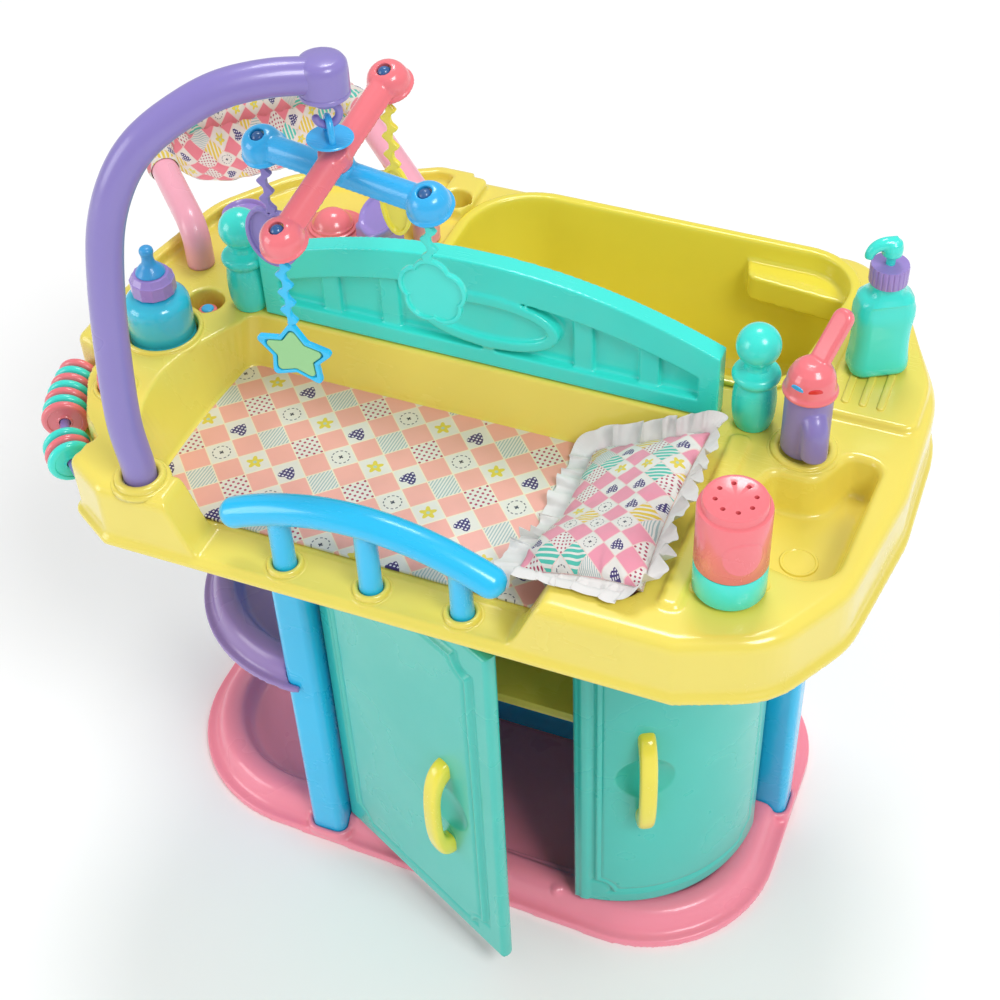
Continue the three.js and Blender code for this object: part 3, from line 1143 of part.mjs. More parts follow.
// Knob with finger grooves and a raised pointer, on an axle in its collar
function addKnob() {
  const foot = deck.height + knob.collarHeight + fitGap;
  let body = disc(knob.x, knob.y, knob.radius, foot, foot + knob.height);
  for (let index = 0; index < knob.grooves; index += 1) {
    const angle = 2 * Math.PI * index / knob.grooves;
    const x = knob.x + knob.radius * Math.cos(angle);
    const y = knob.y + knob.radius * Math.sin(angle);
    body = body.subtract(disc(x, y, knob.radius / 9, foot + knob.height / 3, foot + knob.height + overrun, 6));
  }
  const pointer = block(
    knob.x - knob.radius / 8, knob.x + knob.radius / 8, knob.y, knob.y + knob.radius * 0.8,
    foot + knob.height - wall, foot + knob.height + wall / 2);
  addPiece("dial_knob", join(body, pointer), "pink");
}

// Push button in its pocket, on a stem through the pocket's floor
function addPocketButton() {
  const floor = deck.height - pocket.depth;
  const low = floor + pocket.buttonTravel + fitGap;
  const r = pocket.buttonRadius;
  const stemFoot = floor - wall - pocket.buttonTravel;
  addPiece("pocket_button", turned(pocket.x, pocket.y, [
    [0, stemFoot], [pocket.buttonStem, stemFoot], [pocket.buttonStem, low],
    [r + pocket.flange, low], [r + pocket.flange, low + pocket.flange], [r, low + pocket.flange],
    [r, low + pocket.buttonHeight - pocket.flange], [r * 0.7, low + pocket.buttonHeight],
    [0, low + pocket.buttonHeight],
  ]), "pink");
}

function addFeedingBottle() {
  const foot = deck.height - holder.depth + fitGap;
  const b = bottle;
  const neckZ = foot + b.bodyHeight;
  addPiece("bottle_body", turned(holder.x, holder.y, [
    [0, foot], [b.radius * 0.92, foot], [b.radius, foot + b.shoulder / 3], [b.radius, neckZ - b.shoulder],
    [b.radius * 0.86, neckZ - b.shoulder * 0.35], [b.neck, neckZ], [0, neckZ],
  ], 20), "blue");
  const collarZ = neckZ + fitGap;
  const collarTop = collarZ + b.collarHeight;
  const facet = circleLoop(holder.x, holder.y, b.collarRadius, b.facets);
  addPiece("bottle_collar", terrace(facet, [
    [0, collarZ], [0, collarTop - b.collarHeight / 3], [-b.collarHeight / 5, collarTop],
  ]), "purple");
  const teatZ = collarTop + fitGap;
  const r = b.teatRadius;
  addPiece("bottle_teat", turned(holder.x, holder.y, [
    [0, teatZ], [r * 1.25, teatZ], [r, teatZ + b.teatHeight * 0.2], [r * 0.55, teatZ + b.teatHeight * 0.4],
    [r * 0.5, teatZ + b.teatHeight * 0.65], [r * 0.62, teatZ + b.teatHeight * 0.82], [r * 0.4, teatZ + b.teatHeight],
    [0, teatZ + b.teatHeight * 1.03],
  ], 12), "blue");
}

// Powder can: a teal foot under a pink body whose stepped top has a ring of holes
function addCan() {
  const foot = deck.height + canRib.rise + fitGap;
  const bandTop = foot + can.baseBand;
  const top = foot + can.height;
  const soft = can.step / 2;
  addPiece("can_base", turned(can.x, can.y, [
    [0, foot], [can.radius - soft, foot], [can.radius, foot + soft], [can.radius, bandTop], [0, bandTop],
  ]), "teal");
  const shoulder = top - can.stepHeight;
  let body = turned(can.x, can.y, [
    [0, bandTop + fitGap], [can.radius, bandTop + fitGap], [can.radius, shoulder - soft], [can.radius - soft, shoulder],
    [can.radius - can.step, shoulder], [can.radius - can.step, top - soft], [can.radius - can.step - soft, top], [0, top],
  ]);
  for (let index = 0; index < can.holes; index += 1) {
    const angle = 2 * Math.PI * (index + 0.5) / can.holes;
    const x = can.x + can.holeCircle * Math.cos(angle);
    const y = can.y + can.holeCircle * Math.sin(angle);
    body = body.subtract(disc(x, y, can.holeRadius, top - can.holeDepth, top + overrun, 6));
  }
  addPiece("can_body", body, "pink");
}

// Lotion bottle: a flat body on the ribbed platform, a ribbed collar and a pump that can be pressed
function addLotion() {
  const foot = deck.height + platform.rise + drainRib.rise + fitGap;
  const l = lotion;
  const section = rectangleLoop(-l.width / 2, l.width / 2, -l.depth / 2, l.depth / 2, l.corner);
  const neckLoop = (radius) => section.map((p) => p.clone().normalize().multiplyScalar(radius));
  const top = foot + l.height;
  const place = (solid) => shifted(turnedZ(solid, radians(l.turn), 0, 0), l.x, l.y, 0);
  const body = loft([
    { loop: grow(section, -l.corner / 4), z: foot }, { loop: section, z: foot + l.corner / 3 },
    { loop: section, z: top - l.shoulder * 1.4 }, { loop: grow(section, -l.corner / 4), z: top - l.shoulder * 0.7 },
    { loop: neckLoop(l.neck), z: top - l.shoulder * 0.2 }, { loop: neckLoop(l.neck), z: top },
  ]);
  const bore = disc(0, 0, l.stem + fitGap, top - 2 * l.stemTravel - l.shoulder, top + overrun, 16);
  addPiece("lotion_body", place(body.subtract(bore)), "teal");
  const collarZ = top + fitGap;
  const collarTop = collarZ + l.collarHeight;
  const ribbed = Array.from({ length: 2 * l.ribs }, (_, index) => {
    const angle = 2 * Math.PI * index / (2 * l.ribs);
    const radius = l.collarRadius - (index % 2 ? 0 : l.collarRadius / 16);
    return point(radius * Math.cos(angle), radius * Math.sin(angle));
  });
  const collarBody = terrace(ribbed, [[0, collarZ], [0, collarTop - wall], [-wall / 2, collarTop]]);
  addPiece("lotion_collar", place(collarBody.subtract(
    disc(0, 0, l.stem + fitGap, collarZ - overrun, collarTop + overrun, 16))), "purple");
  const headZ = collarTop + l.stemTravel;
  const stem = disc(0, 0, l.stem, top - l.shoulder, headZ + wall, 14);
  const head = turned(0, 0, [
    [0, headZ], [l.stem * 2, headZ], [l.stem * 2.2, headZ + l.headHeight * 0.5], [l.stem * 1.6, headZ + l.headHeight],
    [0, headZ + l.headHeight],
  ], 18);
  const spout = new THREE.CatmullRomCurve3([
    new THREE.Vector3(0, 0, headZ + l.headHeight * 0.6), new THREE.Vector3(-l.spoutReach * 0.5, 0, headZ + l.headHeight * 0.75),
    new THREE.Vector3(-l.spoutReach * 0.9, 0, headZ + l.headHeight * 0.45),
    new THREE.Vector3(-l.spoutReach, 0, headZ),
  ]);
  addPiece("lotion_pump", place(join(stem, head, bar(spout, l.stem, 8, 8))), "teal");
}

// Faucet: a column with a spout, and a domed lever that turns on it
function addFaucet() {
  const f = faucet;
  const foot = deck.height + f.collarHeight + fitGap;
  const top = foot + f.columnHeight;
  const toward = (angle, reach, z) => new THREE.Vector3(
    f.x + reach * Math.cos(radians(angle)), f.y + reach * Math.sin(radians(angle)), z);
  const spoutTop = top - f.spoutDrop / 2;
  const spout = new THREE.CatmullRomCurve3([
    toward(f.spoutAzimuth, 0, spoutTop - f.spoutRadius), toward(f.spoutAzimuth, f.spoutReach * 0.6, spoutTop),
    toward(f.spoutAzimuth, f.spoutReach, spoutTop - f.spoutDrop / 3),
    toward(f.spoutAzimuth, f.spoutReach * 1.15, spoutTop - f.spoutDrop),
  ]);
    addPiece("faucet_column", join(disc(f.x, f.y, f.radius, foot, top, 20), bar(spout, f.spoutRadius, 8, 10)), "purple");
  const capZ = top + fitGap;
  const r = f.radius + f.markRise;
  let lever = turned(f.x, f.y, [
    [0, capZ], [r, capZ], [r, capZ + f.capHeight * 0.25], [r * 0.93, capZ + f.capHeight * 0.5],
    [r * 0.7, capZ + f.capHeight * 0.8], [r * 0.35, capZ + f.capHeight], [0, capZ + f.capHeight],
  ]);
  const grip = rectangleLoop(0, f.leverLength, -f.leverWidth / 2, f.leverWidth / 2, f.leverWidth / 2.2);
  const gripBody = placed(slab(grip, -f.leverThickness / 2, f.leverThickness / 2), new THREE.Matrix4()
    .makeTranslation(f.x, f.y, capZ + f.capHeight * 0.55)
    .multiply(new THREE.Matrix4().makeRotationZ(radians(f.leverAzimuth)))
    .multiply(new THREE.Matrix4().makeRotationY(radians(-f.leverRise))));
  const keep = disc(f.x, f.y, 3 * f.leverLength, capZ, capZ + 3 * f.leverLength);
  lever = lever.add(gripBody.intersect(keep));
  addPiece("faucet_lever", lever, "pink");
}

// Corner frame of the chair: its tubes leave the two elbows level, side by side
const chairOut = point(Math.cos(radians(chair.azimuth)), Math.sin(radians(chair.azimuth)));
const chairAt = (x, y, out, z) => new THREE.Vector3(x + chairOut.x * out, y + chairOut.y * out, z);

function addChair() {
  const c = chair;
  const left = point(c.leftX, c.leftY);
  const right = point(c.rightX, c.rightY);
  const lead = right.clone().sub(left).dot(chairOut);
  const leftReach = c.reach;
  const rightReach = c.reach - lead;
  const path = new THREE.CurvePath();
  const foot = deck.height + fitGap;
  const corner = (from, at, to) => path.add(new THREE.QuadraticBezierCurve3(from, at, to));
  const straight = (from, to) => path.add(new THREE.LineCurve3(from, to));
  const across = right.clone().sub(left).addScaledVector(chairOut, -lead).normalize();
  const side = (start, out, inward) => {
    const p = chairAt(start.x, start.y, out, c.axisHeight);
    return p.add(new THREE.Vector3(across.x * inward, across.y * inward, 0));
  };
  const low = c.axisHeight - c.elbow;
  straight(chairAt(left.x, left.y, 0, foot), chairAt(left.x, left.y, 0, low));
  corner(chairAt(left.x, left.y, 0, low), side(left, 0, 0), side(left, c.elbow, 0));
  straight(side(left, c.elbow, 0), side(left, leftReach - c.corner, 0));
  corner(side(left, leftReach - c.corner, 0), side(left, leftReach, 0), side(left, leftReach, c.corner));
  straight(side(left, leftReach, c.corner), side(right, rightReach, -c.corner));
  corner(side(right, rightReach, -c.corner), side(right, rightReach, 0), side(right, rightReach - c.corner, 0));
  straight(side(right, rightReach - c.corner, 0), side(right, c.elbow, 0));
  corner(side(right, c.elbow, 0), side(right, 0, 0), chairAt(right.x, right.y, 0, low));
  straight(chairAt(right.x, right.y, 0, low), chairAt(right.x, right.y, 0, foot));
  const points = path.curves.flatMap((curve) => curve.getPoints(curve.isLineCurve3 ? 1 : 5).slice(0, -1));
  points.push(path.curves.at(-1).getPoint(1));
  addPiece("chair_hoop", sweep(points, c.radius, 10), "pink");

  // Fabric seat: a pouch that hangs inside the hoop, cut clear of the tube
  const inset = c.radius + fitGap * 3;
  const frame = (out, inward) => {
    const p = side(left, out, inward);
    return point(p.x, p.y);
  };
  const breadth = right.clone().sub(left).dot(across);
  const near = c.reach - c.sleeveLength;
  const rim = roundedLoop([
    frame(near, inset), frame(near, breadth - inset), frame(leftReach - inset, breadth - inset),
    frame(leftReach - inset, inset),
  ].map((p) => [p.x, p.y, c.corner]));
  const topZ = c.axisHeight + c.radius / 3;
  const seat = terrace(rim, [
    [-c.seatInset * 2, c.axisHeight - c.pouchDrop], [-c.seatInset, c.axisHeight - c.pouchDrop * 0.85],
    [-c.seatInset / 3, c.axisHeight - c.pouchDrop * 0.4], [0, topZ],
  ]);
  const space = terrace(rim, [
    [-c.seatInset * 2 - wall, c.axisHeight - c.pouchDrop + wall],
    [-c.seatInset - wall, c.axisHeight - c.pouchDrop * 0.8], [-wall * 1.2, topZ], [-wall * 1.2, topZ + overrun],
  ]);
  addPiece("chair_seat", cut(seat, space), "fabric");
}

// A tube through points by rings set square to the bisector of each turn, each with a share of the radius
function sweep(points, radius, sides, sizeShares = points.map(() => 1)) {
  const rings = points.map((here, index) => {
    const before = points[Math.max(index - 1, 0)];
    const after = points[Math.min(index + 1, points.length - 1)];
    return { here, direction: after.clone().sub(before).normalize() };
  });
  const first = rings[0].direction;
  let normal = new THREE.Vector3(1, 0, 0).cross(first).normalize();
  let previous = first;
  const positions = [];
  rings.forEach(({ here, direction }, index) => {
    const reach = radius * sizeShares[index];
    const turn = new THREE.Quaternion().setFromUnitVectors(previous, direction);
    normal = normal.clone().applyQuaternion(turn);
    previous = direction;
    const other = direction.clone().cross(normal);
    for (let side = 0; side < sides; side += 1) {
      const angle = 2 * Math.PI * side / sides;
      const p = here.clone().addScaledVector(normal, reach * Math.cos(angle));
      p.addScaledVector(other, reach * Math.sin(angle));
      positions.push(p.x, p.y, p.z);
    }
  });
  const faces = [];
  for (let ring = 0; ring < rings.length - 1; ring += 1) {
    for (let side = 0; side < sides; side += 1) {
      const a = ring * sides + side;
      const b = ring * sides + (side + 1) % sides;
      faces.push(a, b, b + sides, a, b + sides, a + sides);
    }
  }
  const last = (rings.length - 1) * sides;
  for (let side = 1; side < sides - 1; side += 1) {
    faces.push(0, side + 1, side);
    faces.push(last, last + side, last + side + 1);
  }
  const geometry = new THREE.BufferGeometry();
  geometry.setAttribute("position", new THREE.Float32BufferAttribute(positions, 3));
  geometry.setIndex(faces);
  return solidOf(geometry);
}

// Cup, dish and play dial stand on the deck in the feeding corner
function addFeedingToys() {
  const foot = deck.height + fitGap;
  addPiece("play_cup", turned(cup.x, cup.y, [
    [0, foot], [cup.radius * 0.9, foot], [cup.radius, foot + cup.height * 0.4], [cup.radius, foot + cup.height],
    [cup.radius - cup.wall, foot + cup.height], [cup.radius - cup.wall * 1.6, foot + cup.height - cup.recess],
    [0, foot + cup.height - cup.recess],
  ]), "purple");
  const dishBase = foot + dish.baseHeight;
  addPiece("play_dish", turned(dish.x, dish.y, [
    [0, foot], [dish.base, foot], [dish.base, dishBase], [dish.step, dishBase + dish.baseHeight / 2],
    [dish.step, dishBase + dish.baseHeight * 1.5], [dish.dome * 1.08, dishBase + dish.baseHeight * 1.5],
    [dish.dome * 1.08, dishBase + dish.baseHeight * 2.3], [dish.dome, dishBase + dish.baseHeight * 2.3],
    [dish.dome * 0.87, dishBase + dish.domeHeight * 0.66], [dish.dome * 0.5, dishBase + dish.domeHeight * 0.93],
    [0, dishBase + dish.domeHeight],
  ]), "pink");
  const d = dial;
  let unit = terrace(rectangleLoop(-d.width / 2, d.width / 2, -d.depth / 2, d.depth / 2, 2 * wall), [
    [0, foot], [0, foot + d.height - wall], [-wall, foot + d.height],
  ]);
  const headMatrix = new THREE.Matrix4().makeTranslation(0, 0, foot + d.height + d.headRadius / 2)
    .multiply(new THREE.Matrix4().makeRotationX(radians(d.tilt)));
  const head = turned(0, 0, [
    [0, -d.headDepth], [d.headRadius * 0.8, -d.headDepth], [d.headRadius, -d.headDepth / 2], [d.headRadius, 0],
    [d.headRadius - d.ring, 0], [d.headRadius - d.ring, -d.ring / 2], [0, -d.ring / 2],
  ]);
  unit = unit.add(placed(head, headMatrix));
  const windowLoop = (extra) => {
    const half = d.windowWidth / 2 + extra;
    const straight = foot + d.windowHeight - d.windowWidth / 2;
    const loop = [point(-half, foot + wall - extra), point(half, foot + wall - extra)];
    for (let step = 0; step <= 8; step += 1) {
      const angle = Math.PI * step / 8;
      loop.push(point(half * Math.cos(angle), straight + half * Math.sin(angle)));
    }
    return loop;
  };
  const front = -d.depth / 2;
  unit = unit.subtract(upright(windowLoop(0), front - overrun, front + d.windowDepth));
  const place = (solid) => shifted(turnedZ(solid, radians(d.turn), 0, 0), d.x, d.y, 0);
  addPiece("dial_unit", place(unit), "purple");
  const button = upright(windowLoop(-fitGap), front + d.buttonInset, front + d.windowDepth - d.buttonTravel - fitGap);
  addPiece("dial_button", place(button), "blue");
}

addBase();
addLegs();
addCabinetWalls();
addCabinetShelf();
addLobeShelf();
addLeftDoor();
addRightDoor();
addTableTop();
addTub();
addMat();
addPillow();
addHeadboard();
addGuardRail();
addArm();
addHook();
addMobile();
addPendants();
addBeads();
addKnob();
addPocketButton();
addFeedingBottle();
addCan();
addLotion();
addFaucet();
addChair();
addFeedingToys();

export default part;
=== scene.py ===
# %% [markdown]
# # A toy changing table, dressed for the camera
# The solids of the part come in as a fixed frame.
# Each cell then makes one kind of piece of the real toy: moulded shells, turned toys, tubes, printed
# cloth.
# Sizes are written in millimetres and scaled once, when a mesh is made.

# %% Load the frame
import math

import bmesh
import bpy
import numpy as np
from mathutils import Matrix, Vector


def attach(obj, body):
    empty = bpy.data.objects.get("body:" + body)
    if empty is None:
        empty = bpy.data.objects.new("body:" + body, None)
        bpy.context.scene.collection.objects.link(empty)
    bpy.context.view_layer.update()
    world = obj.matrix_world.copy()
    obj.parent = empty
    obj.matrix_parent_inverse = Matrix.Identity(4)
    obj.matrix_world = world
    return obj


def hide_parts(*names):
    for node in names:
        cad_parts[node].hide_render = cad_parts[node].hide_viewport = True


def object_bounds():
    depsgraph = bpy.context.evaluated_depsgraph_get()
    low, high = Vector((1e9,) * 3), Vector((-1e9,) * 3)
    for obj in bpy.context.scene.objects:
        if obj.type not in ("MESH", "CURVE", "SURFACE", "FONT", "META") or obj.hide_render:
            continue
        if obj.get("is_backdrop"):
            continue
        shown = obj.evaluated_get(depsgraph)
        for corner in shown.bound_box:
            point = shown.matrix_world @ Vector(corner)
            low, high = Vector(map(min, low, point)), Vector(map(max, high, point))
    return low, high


MM = 0.001
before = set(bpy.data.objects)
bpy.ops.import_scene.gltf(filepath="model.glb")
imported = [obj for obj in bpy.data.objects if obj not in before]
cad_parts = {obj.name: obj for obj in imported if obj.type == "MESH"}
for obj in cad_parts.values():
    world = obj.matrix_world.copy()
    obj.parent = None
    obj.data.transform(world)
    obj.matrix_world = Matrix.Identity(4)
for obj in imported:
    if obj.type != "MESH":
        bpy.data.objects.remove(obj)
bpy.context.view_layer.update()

# %% [markdown]
# ## Camera, floor and lights
# The camera stands where the photograph was taken from, 1.3 metres from the middle of the toy,
# looking down.
# Its three axes are given as columns of a matrix, so nothing has to be aimed by hand.
# A studio uses large soft lamps over a pale sweep, which is why the shadows have no hard edge.

# %% Camera
CAMERA_AT = (0.4004, -0.9077, 1.3225)
CAMERA_RIGHT = (0.93532, 0.35356, -0.01328)
CAMERA_UP = (-0.23329, 0.64450, 0.72814)
CAMERA_BACK = (0.26600, -0.67795, 0.68530)
camera_data = bpy.data.cameras.new("camera")
camera_data.lens = 62.59
camera_data.sensor_width = 36
camera_data.shift_x = -0.055
camera_data.shift_y = -0.05
camera = bpy.data.objects.new("camera", camera_data)
bpy.context.scene.collection.objects.link(camera)
columns = np.column_stack([CAMERA_RIGHT, CAMERA_UP, CAMERA_BACK, CAMERA_AT])
camera.matrix_world = Matrix(np.vstack([columns, [0, 0, 0, 1]]).tolist())
bpy.context.scene.camera = camera
bpy.context.scene.view_settings.view_transform = "Standard"
print("camera lens", camera_data.lens)

# %% Lights
LAMPS = {
    "key": {"at": (3.6, -2.2, 5.2), "size": 2.2, "power": 200},
    "fill": {"at": (-4.6, -3.4, 2.0), "size": 3.0, "power": 100},
    "top": {"at": (-0.6, 2.4, 6.0), "size": 1.8, "power": 130},
}
for lamp_name, lamp in LAMPS.items():
    light = bpy.data.lights.new(lamp_name, "AREA")
    light.size = lamp["size"]
    light.energy = lamp["power"]
    lamp_object = bpy.data.objects.new(lamp_name, light)
    bpy.context.scene.collection.objects.link(lamp_object)
    lamp_object.location = lamp["at"]
    aim = Vector((0, 0, 0.35)) - Vector(lamp["at"])
    lamp_object.rotation_euler = aim.to_track_quat("-Z", "Y").to_euler()
world = bpy.data.worlds.new("studio")
world.use_nodes = True
world.node_tree.nodes["Background"].inputs["Color"].default_value = (1, 1, 1, 1)
world.node_tree.nodes["Background"].inputs["Strength"].default_value = 0.5
bpy.context.scene.world = world
print("lamps:", len(LAMPS))

# %% [markdown]
# ## Making meshes from arrays
# Most pieces are surfaces that follow a rule: a ring of points is moved, grown or turned along a path.
# A body is therefore an array of rings, and one routine turns it into faces.
# The same few routines serve the tray, the bath, the bottles and the tubes.

# %% Rings to meshes
def skin(rings, caps=True):
    """Vertices and faces through rings, an array (rings, points, 3): face (i, j) joins points j and j +
    1 of rings i and i + 1."""
    rings = np.asarray(rings, float)
    count, points = rings.shape[:2]
    i, j = np.meshgrid(np.arange(count - 1), np.arange(points), indexing="ij")
    a = i * points + j
    b = i * points + (j + 1) % points
    faces = np.stack([a, b, b + points, a + points], -1).reshape(-1, 4).tolist()
    if caps:
        faces.append(list(range(points))[::-1])
        faces.append(list(range((count - 1) * points, count * points)))
    return rings.reshape(-1, 3), faces


def solid(name, shape):
    """A mesh object of vertices in millimetres and faces, with points that meet merged and faces turned
    outwards."""
    vertices, faces = shape
    mesh = bpy.data.meshes.new(name)
    mesh.from_pydata((np.asarray(vertices) * MM).tolist(), [], faces)
    edit = bmesh.new()
    edit.from_mesh(mesh)
    bmesh.ops.remove_doubles(edit, verts=edit.verts, dist=2e-6)
    bmesh.ops.recalc_face_normals(edit, faces=edit.faces)
    edit.to_mesh(mesh)
    edit.free()
    mesh.shade_smooth()
    made = bpy.data.objects.new(name, mesh)
    bpy.context.scene.collection.objects.link(made)
    return made


def sharpen(piece, angle=38):
    """Edges that turn by more than the angle, in degrees, are drawn as edges; the rest are shaded
    smooth."""
    piece.data.set_sharp_from_angle(angle=math.radians(angle))
    return piece


print("faces of a capped square tube:", len(skin(np.zeros((2, 4, 3)))[1]))

# %% Outlines
def rounded_loop(corners, step=6.0):
    """Points of a polygon given as (x, y, radius): each corner becomes the arc that touches its two
    sides, one point every step degrees."""
    corners = np.array(corners, float)
    x, y, radius = corners.T
    if np.sum(x * np.roll(y, -1) - np.roll(x, -1) * y) < 0:
        corners = corners[::-1]
        x, y, radius = corners.T
    here = corners[:, :2]
    into = here - np.roll(here, 1, 0)
    out = np.roll(here, -1, 0) - here
    into_length = np.linalg.norm(into, axis=1)
    out_length = np.linalg.norm(out, axis=1)
    into /= into_length[:, None]
    out /= out_length[:, None]
    turn = np.arctan2(into[:, 0] * out[:, 1] - into[:, 1] * out[:, 0], np.sum(into * out, 1))
    half = np.tan(np.abs(turn) / 2)
    reach = np.minimum(radius * half, 0.48 * np.minimum(into_length, out_length))
    used = reach / np.maximum(half, 1e-9)
    start = here - into * reach[:, None]
    normal = np.stack([-into[:, 1], into[:, 0]], 1) * np.sign(turn)[:, None]
    centre = start + normal * used[:, None]
    arcs = []
    for index in range(len(here)):
        steps = max(1, math.ceil(abs(math.degrees(turn[index])) / step)) if reach[index] > 0 else 0
        angle = turn[index] * np.linspace(0, 1, steps + 1)
        spoke = start[index] - centre[index] if steps else here[index] - centre[index]
        cosine, sine = np.cos(angle), np.sin(angle)
        arc = np.stack([spoke[0] * cosine - spoke[1] * sine, spoke[0] * sine + spoke[1] * cosine], 1)
        arcs.append(centre[index] + arc)
    return np.concatenate(arcs)


def share_loop(shares, half_width, half_depth):
    """Rounded outline about the origin whose corners are shares of two half sizes."""
    return rounded_loop([(x * half_width, y * half_depth, r * half_depth) for x, y, r in shares])


def box_loop(shares, left, right, front, back):
    """Rounded outline whose corners are shares of a box from its left front corner."""
    depth = back - front
    return rounded_loop([(left + x * (right - left), front + y * depth, r * depth)
        for x, y, r in shares])


def rectangle(left, right, front, back, corner, step=10.0):
    """Rounded rectangle."""
    return rounded_loop([(left, front, corner), (right, front, corner), (right, back, corner),
        (left, back, corner)], step)


def circle(x, y, radius, steps=64):
    """Points of a circle: the centre plus radius times (cosine, sine)."""
    angle = np.linspace(0, 2 * np.pi, steps, endpoint=False)
    return np.stack([x + radius * np.cos(angle), y + radius * np.sin(angle)], 1)


def grow(loop, distance):
    """Each point of an outline moved outwards along the bisector of its two sides."""
    into = loop - np.roll(loop, 1, 0)
    out = np.roll(loop, -1, 0) - loop
    into /= np.maximum(np.linalg.norm(into, axis=1), 1e-9)[:, None]
    out /= np.maximum(np.linalg.norm(out, axis=1), 1e-9)[:, None]
    normal = np.stack([into[:, 1] + out[:, 1], -into[:, 0] - out[:, 0]], 1)
    normal /= np.maximum(np.linalg.norm(normal, axis=1), 1e-9)[:, None]
    spread = np.maximum(normal[:, 0] * into[:, 1] - normal[:, 1] * into[:, 0], 0.5)
    return loop + normal * (distance / spread)[:, None]


print("points of a rounded square:", len(rectangle(0, 1, 0, 1, 0.2)))

# %% Bodies
def at_height(loop, z):
    """An outline lifted to a height."""
    return np.column_stack([loop, np.full(len(loop), z)])


def loft(sections):
    """A closed body through (outline, height) sections with equally many points."""
    return skin([at_height(loop, z) for loop, z in sections])


def terrace(loop, steps):
    """A closed body that follows one outline, grown by a distance at each height."""
    return loft([(grow(loop, distance), z) for distance, z in steps])


def slab(loop, bottom, top):
    """A flat body between two heights."""
    return loft([(loop, bottom), (loop, top)])


def block(x0, x1, y0, y1, z0, z1):
    """A box between two corners."""
    return slab(np.array([(x0, y0), (x1, y0), (x1, y1), (x0, y1)], float), z0, z1)


def round_edge(offset, z, radius, steps=6):
    """A quarter circle from (offset, z) inwards and upwards by radius, as (offset, height) pairs."""
    angle = np.linspace(0, np.pi / 2, steps + 1)
    return [(offset - radius * (1 - math.cos(a)), z + radius * math.sin(a)) for a in angle]


print("faces of a box:", len(block(0, 1, 0, 1, 0, 1)[1]))

# %% Curves, tubes and moves
def spline(points, samples):
    """A smooth curve through points: between two of them a cubic blend whose slopes join each point's
    neighbours."""
    points = np.asarray(points, float)
    padded = np.vstack([2 * points[0] - points[1], points, 2 * points[-1] - points[-2]])
    place = np.linspace(0, len(points) - 1, samples)
    index = np.minimum(place.astype(int), len(points) - 2)
    t = (place - index)[:, None]
    p0, p1, p2, p3 = (padded[index + shift] for shift in range(4))
    bend, twist = 2 * p0 - 5 * p1 + 4 * p2 - p3, 3 * p1 - p0 - 3 * p2 + p3
    return 0.5 * (2 * p1 + (p2 - p0) * t + bend * t**2 + twist * t**3)


def arched(start, middle, end, t):
    """A parabola from start to end that heads for the middle point: the quadratic curve at t."""
    return start * (1 - t) ** 2 + 2 * middle * t * (1 - t) + end * t**2


def turned_rings(profile, x, y, steps):
    """Rings about the vertical line through (x, y): point (i, j) is radius i times (cosine j, sine j)
    at height i."""
    radius, height = np.asarray(profile, float).T[:, :, None]
    angle = np.linspace(0, 2 * np.pi, steps, endpoint=False)
    places = x + radius * np.cos(angle), y + radius * np.sin(angle), height
    return np.stack(np.broadcast_arrays(*places), -1)


def turned(profile, x=0.0, y=0.0, steps=64):
    """A body turned about the vertical line through (x, y), from a profile of (radius, height)."""
    return skin(turned_rings(profile, x, y, steps))


def run_lengths(line):
    """Length along a line up to each of its points."""
    return np.concatenate([[0], np.cumsum(np.linalg.norm(np.diff(line, axis=0), axis=1))])


def read_off(line, lengths, place):
    """Points at places along a line, read off its measured lengths."""
    return np.stack([np.interp(place, lengths, column) for column in line.T], -1)


def tube(points, radius, sides=32, sizes=None):
    """A round tube along points: each ring stands square to the curve and is carried on from the last
    without twisting."""
    points = np.asarray(points, float)
    sizes = np.ones(len(points)) if sizes is None else np.asarray(sizes, float)
    along = np.gradient(points, axis=0)
    along /= np.maximum(np.linalg.norm(along, axis=1), 1e-9)[:, None]
    helper = np.array([0, 0, 1.0]) if abs(along[0][2]) < 0.9 else np.array([1.0, 0, 0])
    normal = np.cross(helper, along[0])
    normals = []
    for direction in along:
        normal = normal - direction * np.dot(normal, direction)
        normal = normal / np.linalg.norm(normal)
        normals.append(normal)
    normals = np.array(normals)
    others = np.cross(along, normals)
    angle = np.linspace(0, 2 * np.pi, sides, endpoint=False)
    ring = normals[:, None] * np.cos(angle)[None, :, None] + others[:, None] * np.sin(angle)[None, :,
        None]
    return skin(points[:, None] + ring * (radius * sizes)[:, None, None])


def round_ends(points, radius, steps=8):
    """Points and size shares of a tube whose two ends are half balls: near an end the radius follows a
    quarter circle."""
    points = np.asarray(points, float)
    angle = np.linspace(0, np.pi / 2, steps, endpoint=False)
    out = radius * (1 - np.sin(angle))
    size = np.sqrt(np.maximum(1 - (1 - np.sin(angle)) ** 2, 0.0004))
    first = points[0] - points[1]
    first /= np.linalg.norm(first)
    last = points[-1] - points[-2]
    last /= np.linalg.norm(last)
    head = points[0] + first * out[:, None]
    tail = points[-1] + last * out[::-1, None]
    return np.vstack([head, points, tail]), np.concatenate([size, np.ones(len(points)), size[::-1]])


print("points of a short tube:", len(tube([(0, 0, 0), (0, 0, 1)], 1)[0]))

# %% Moves
def upright(loop, front, back):
    """An outline in the plane of X and Z, extruded along Y."""
    ring = lambda y: np.column_stack([loop[:, 0], np.full(len(loop), y), loop[:, 1]])
    return skin([ring(back), ring(front)])


def moved(shape, matrix):
    """A body's vertices multiplied by a 4 by 4 matrix."""
    vertices, faces = shape
    matrix = np.array(matrix)
    return np.asarray(vertices) @ matrix[:3, :3].T + matrix[:3, 3], faces


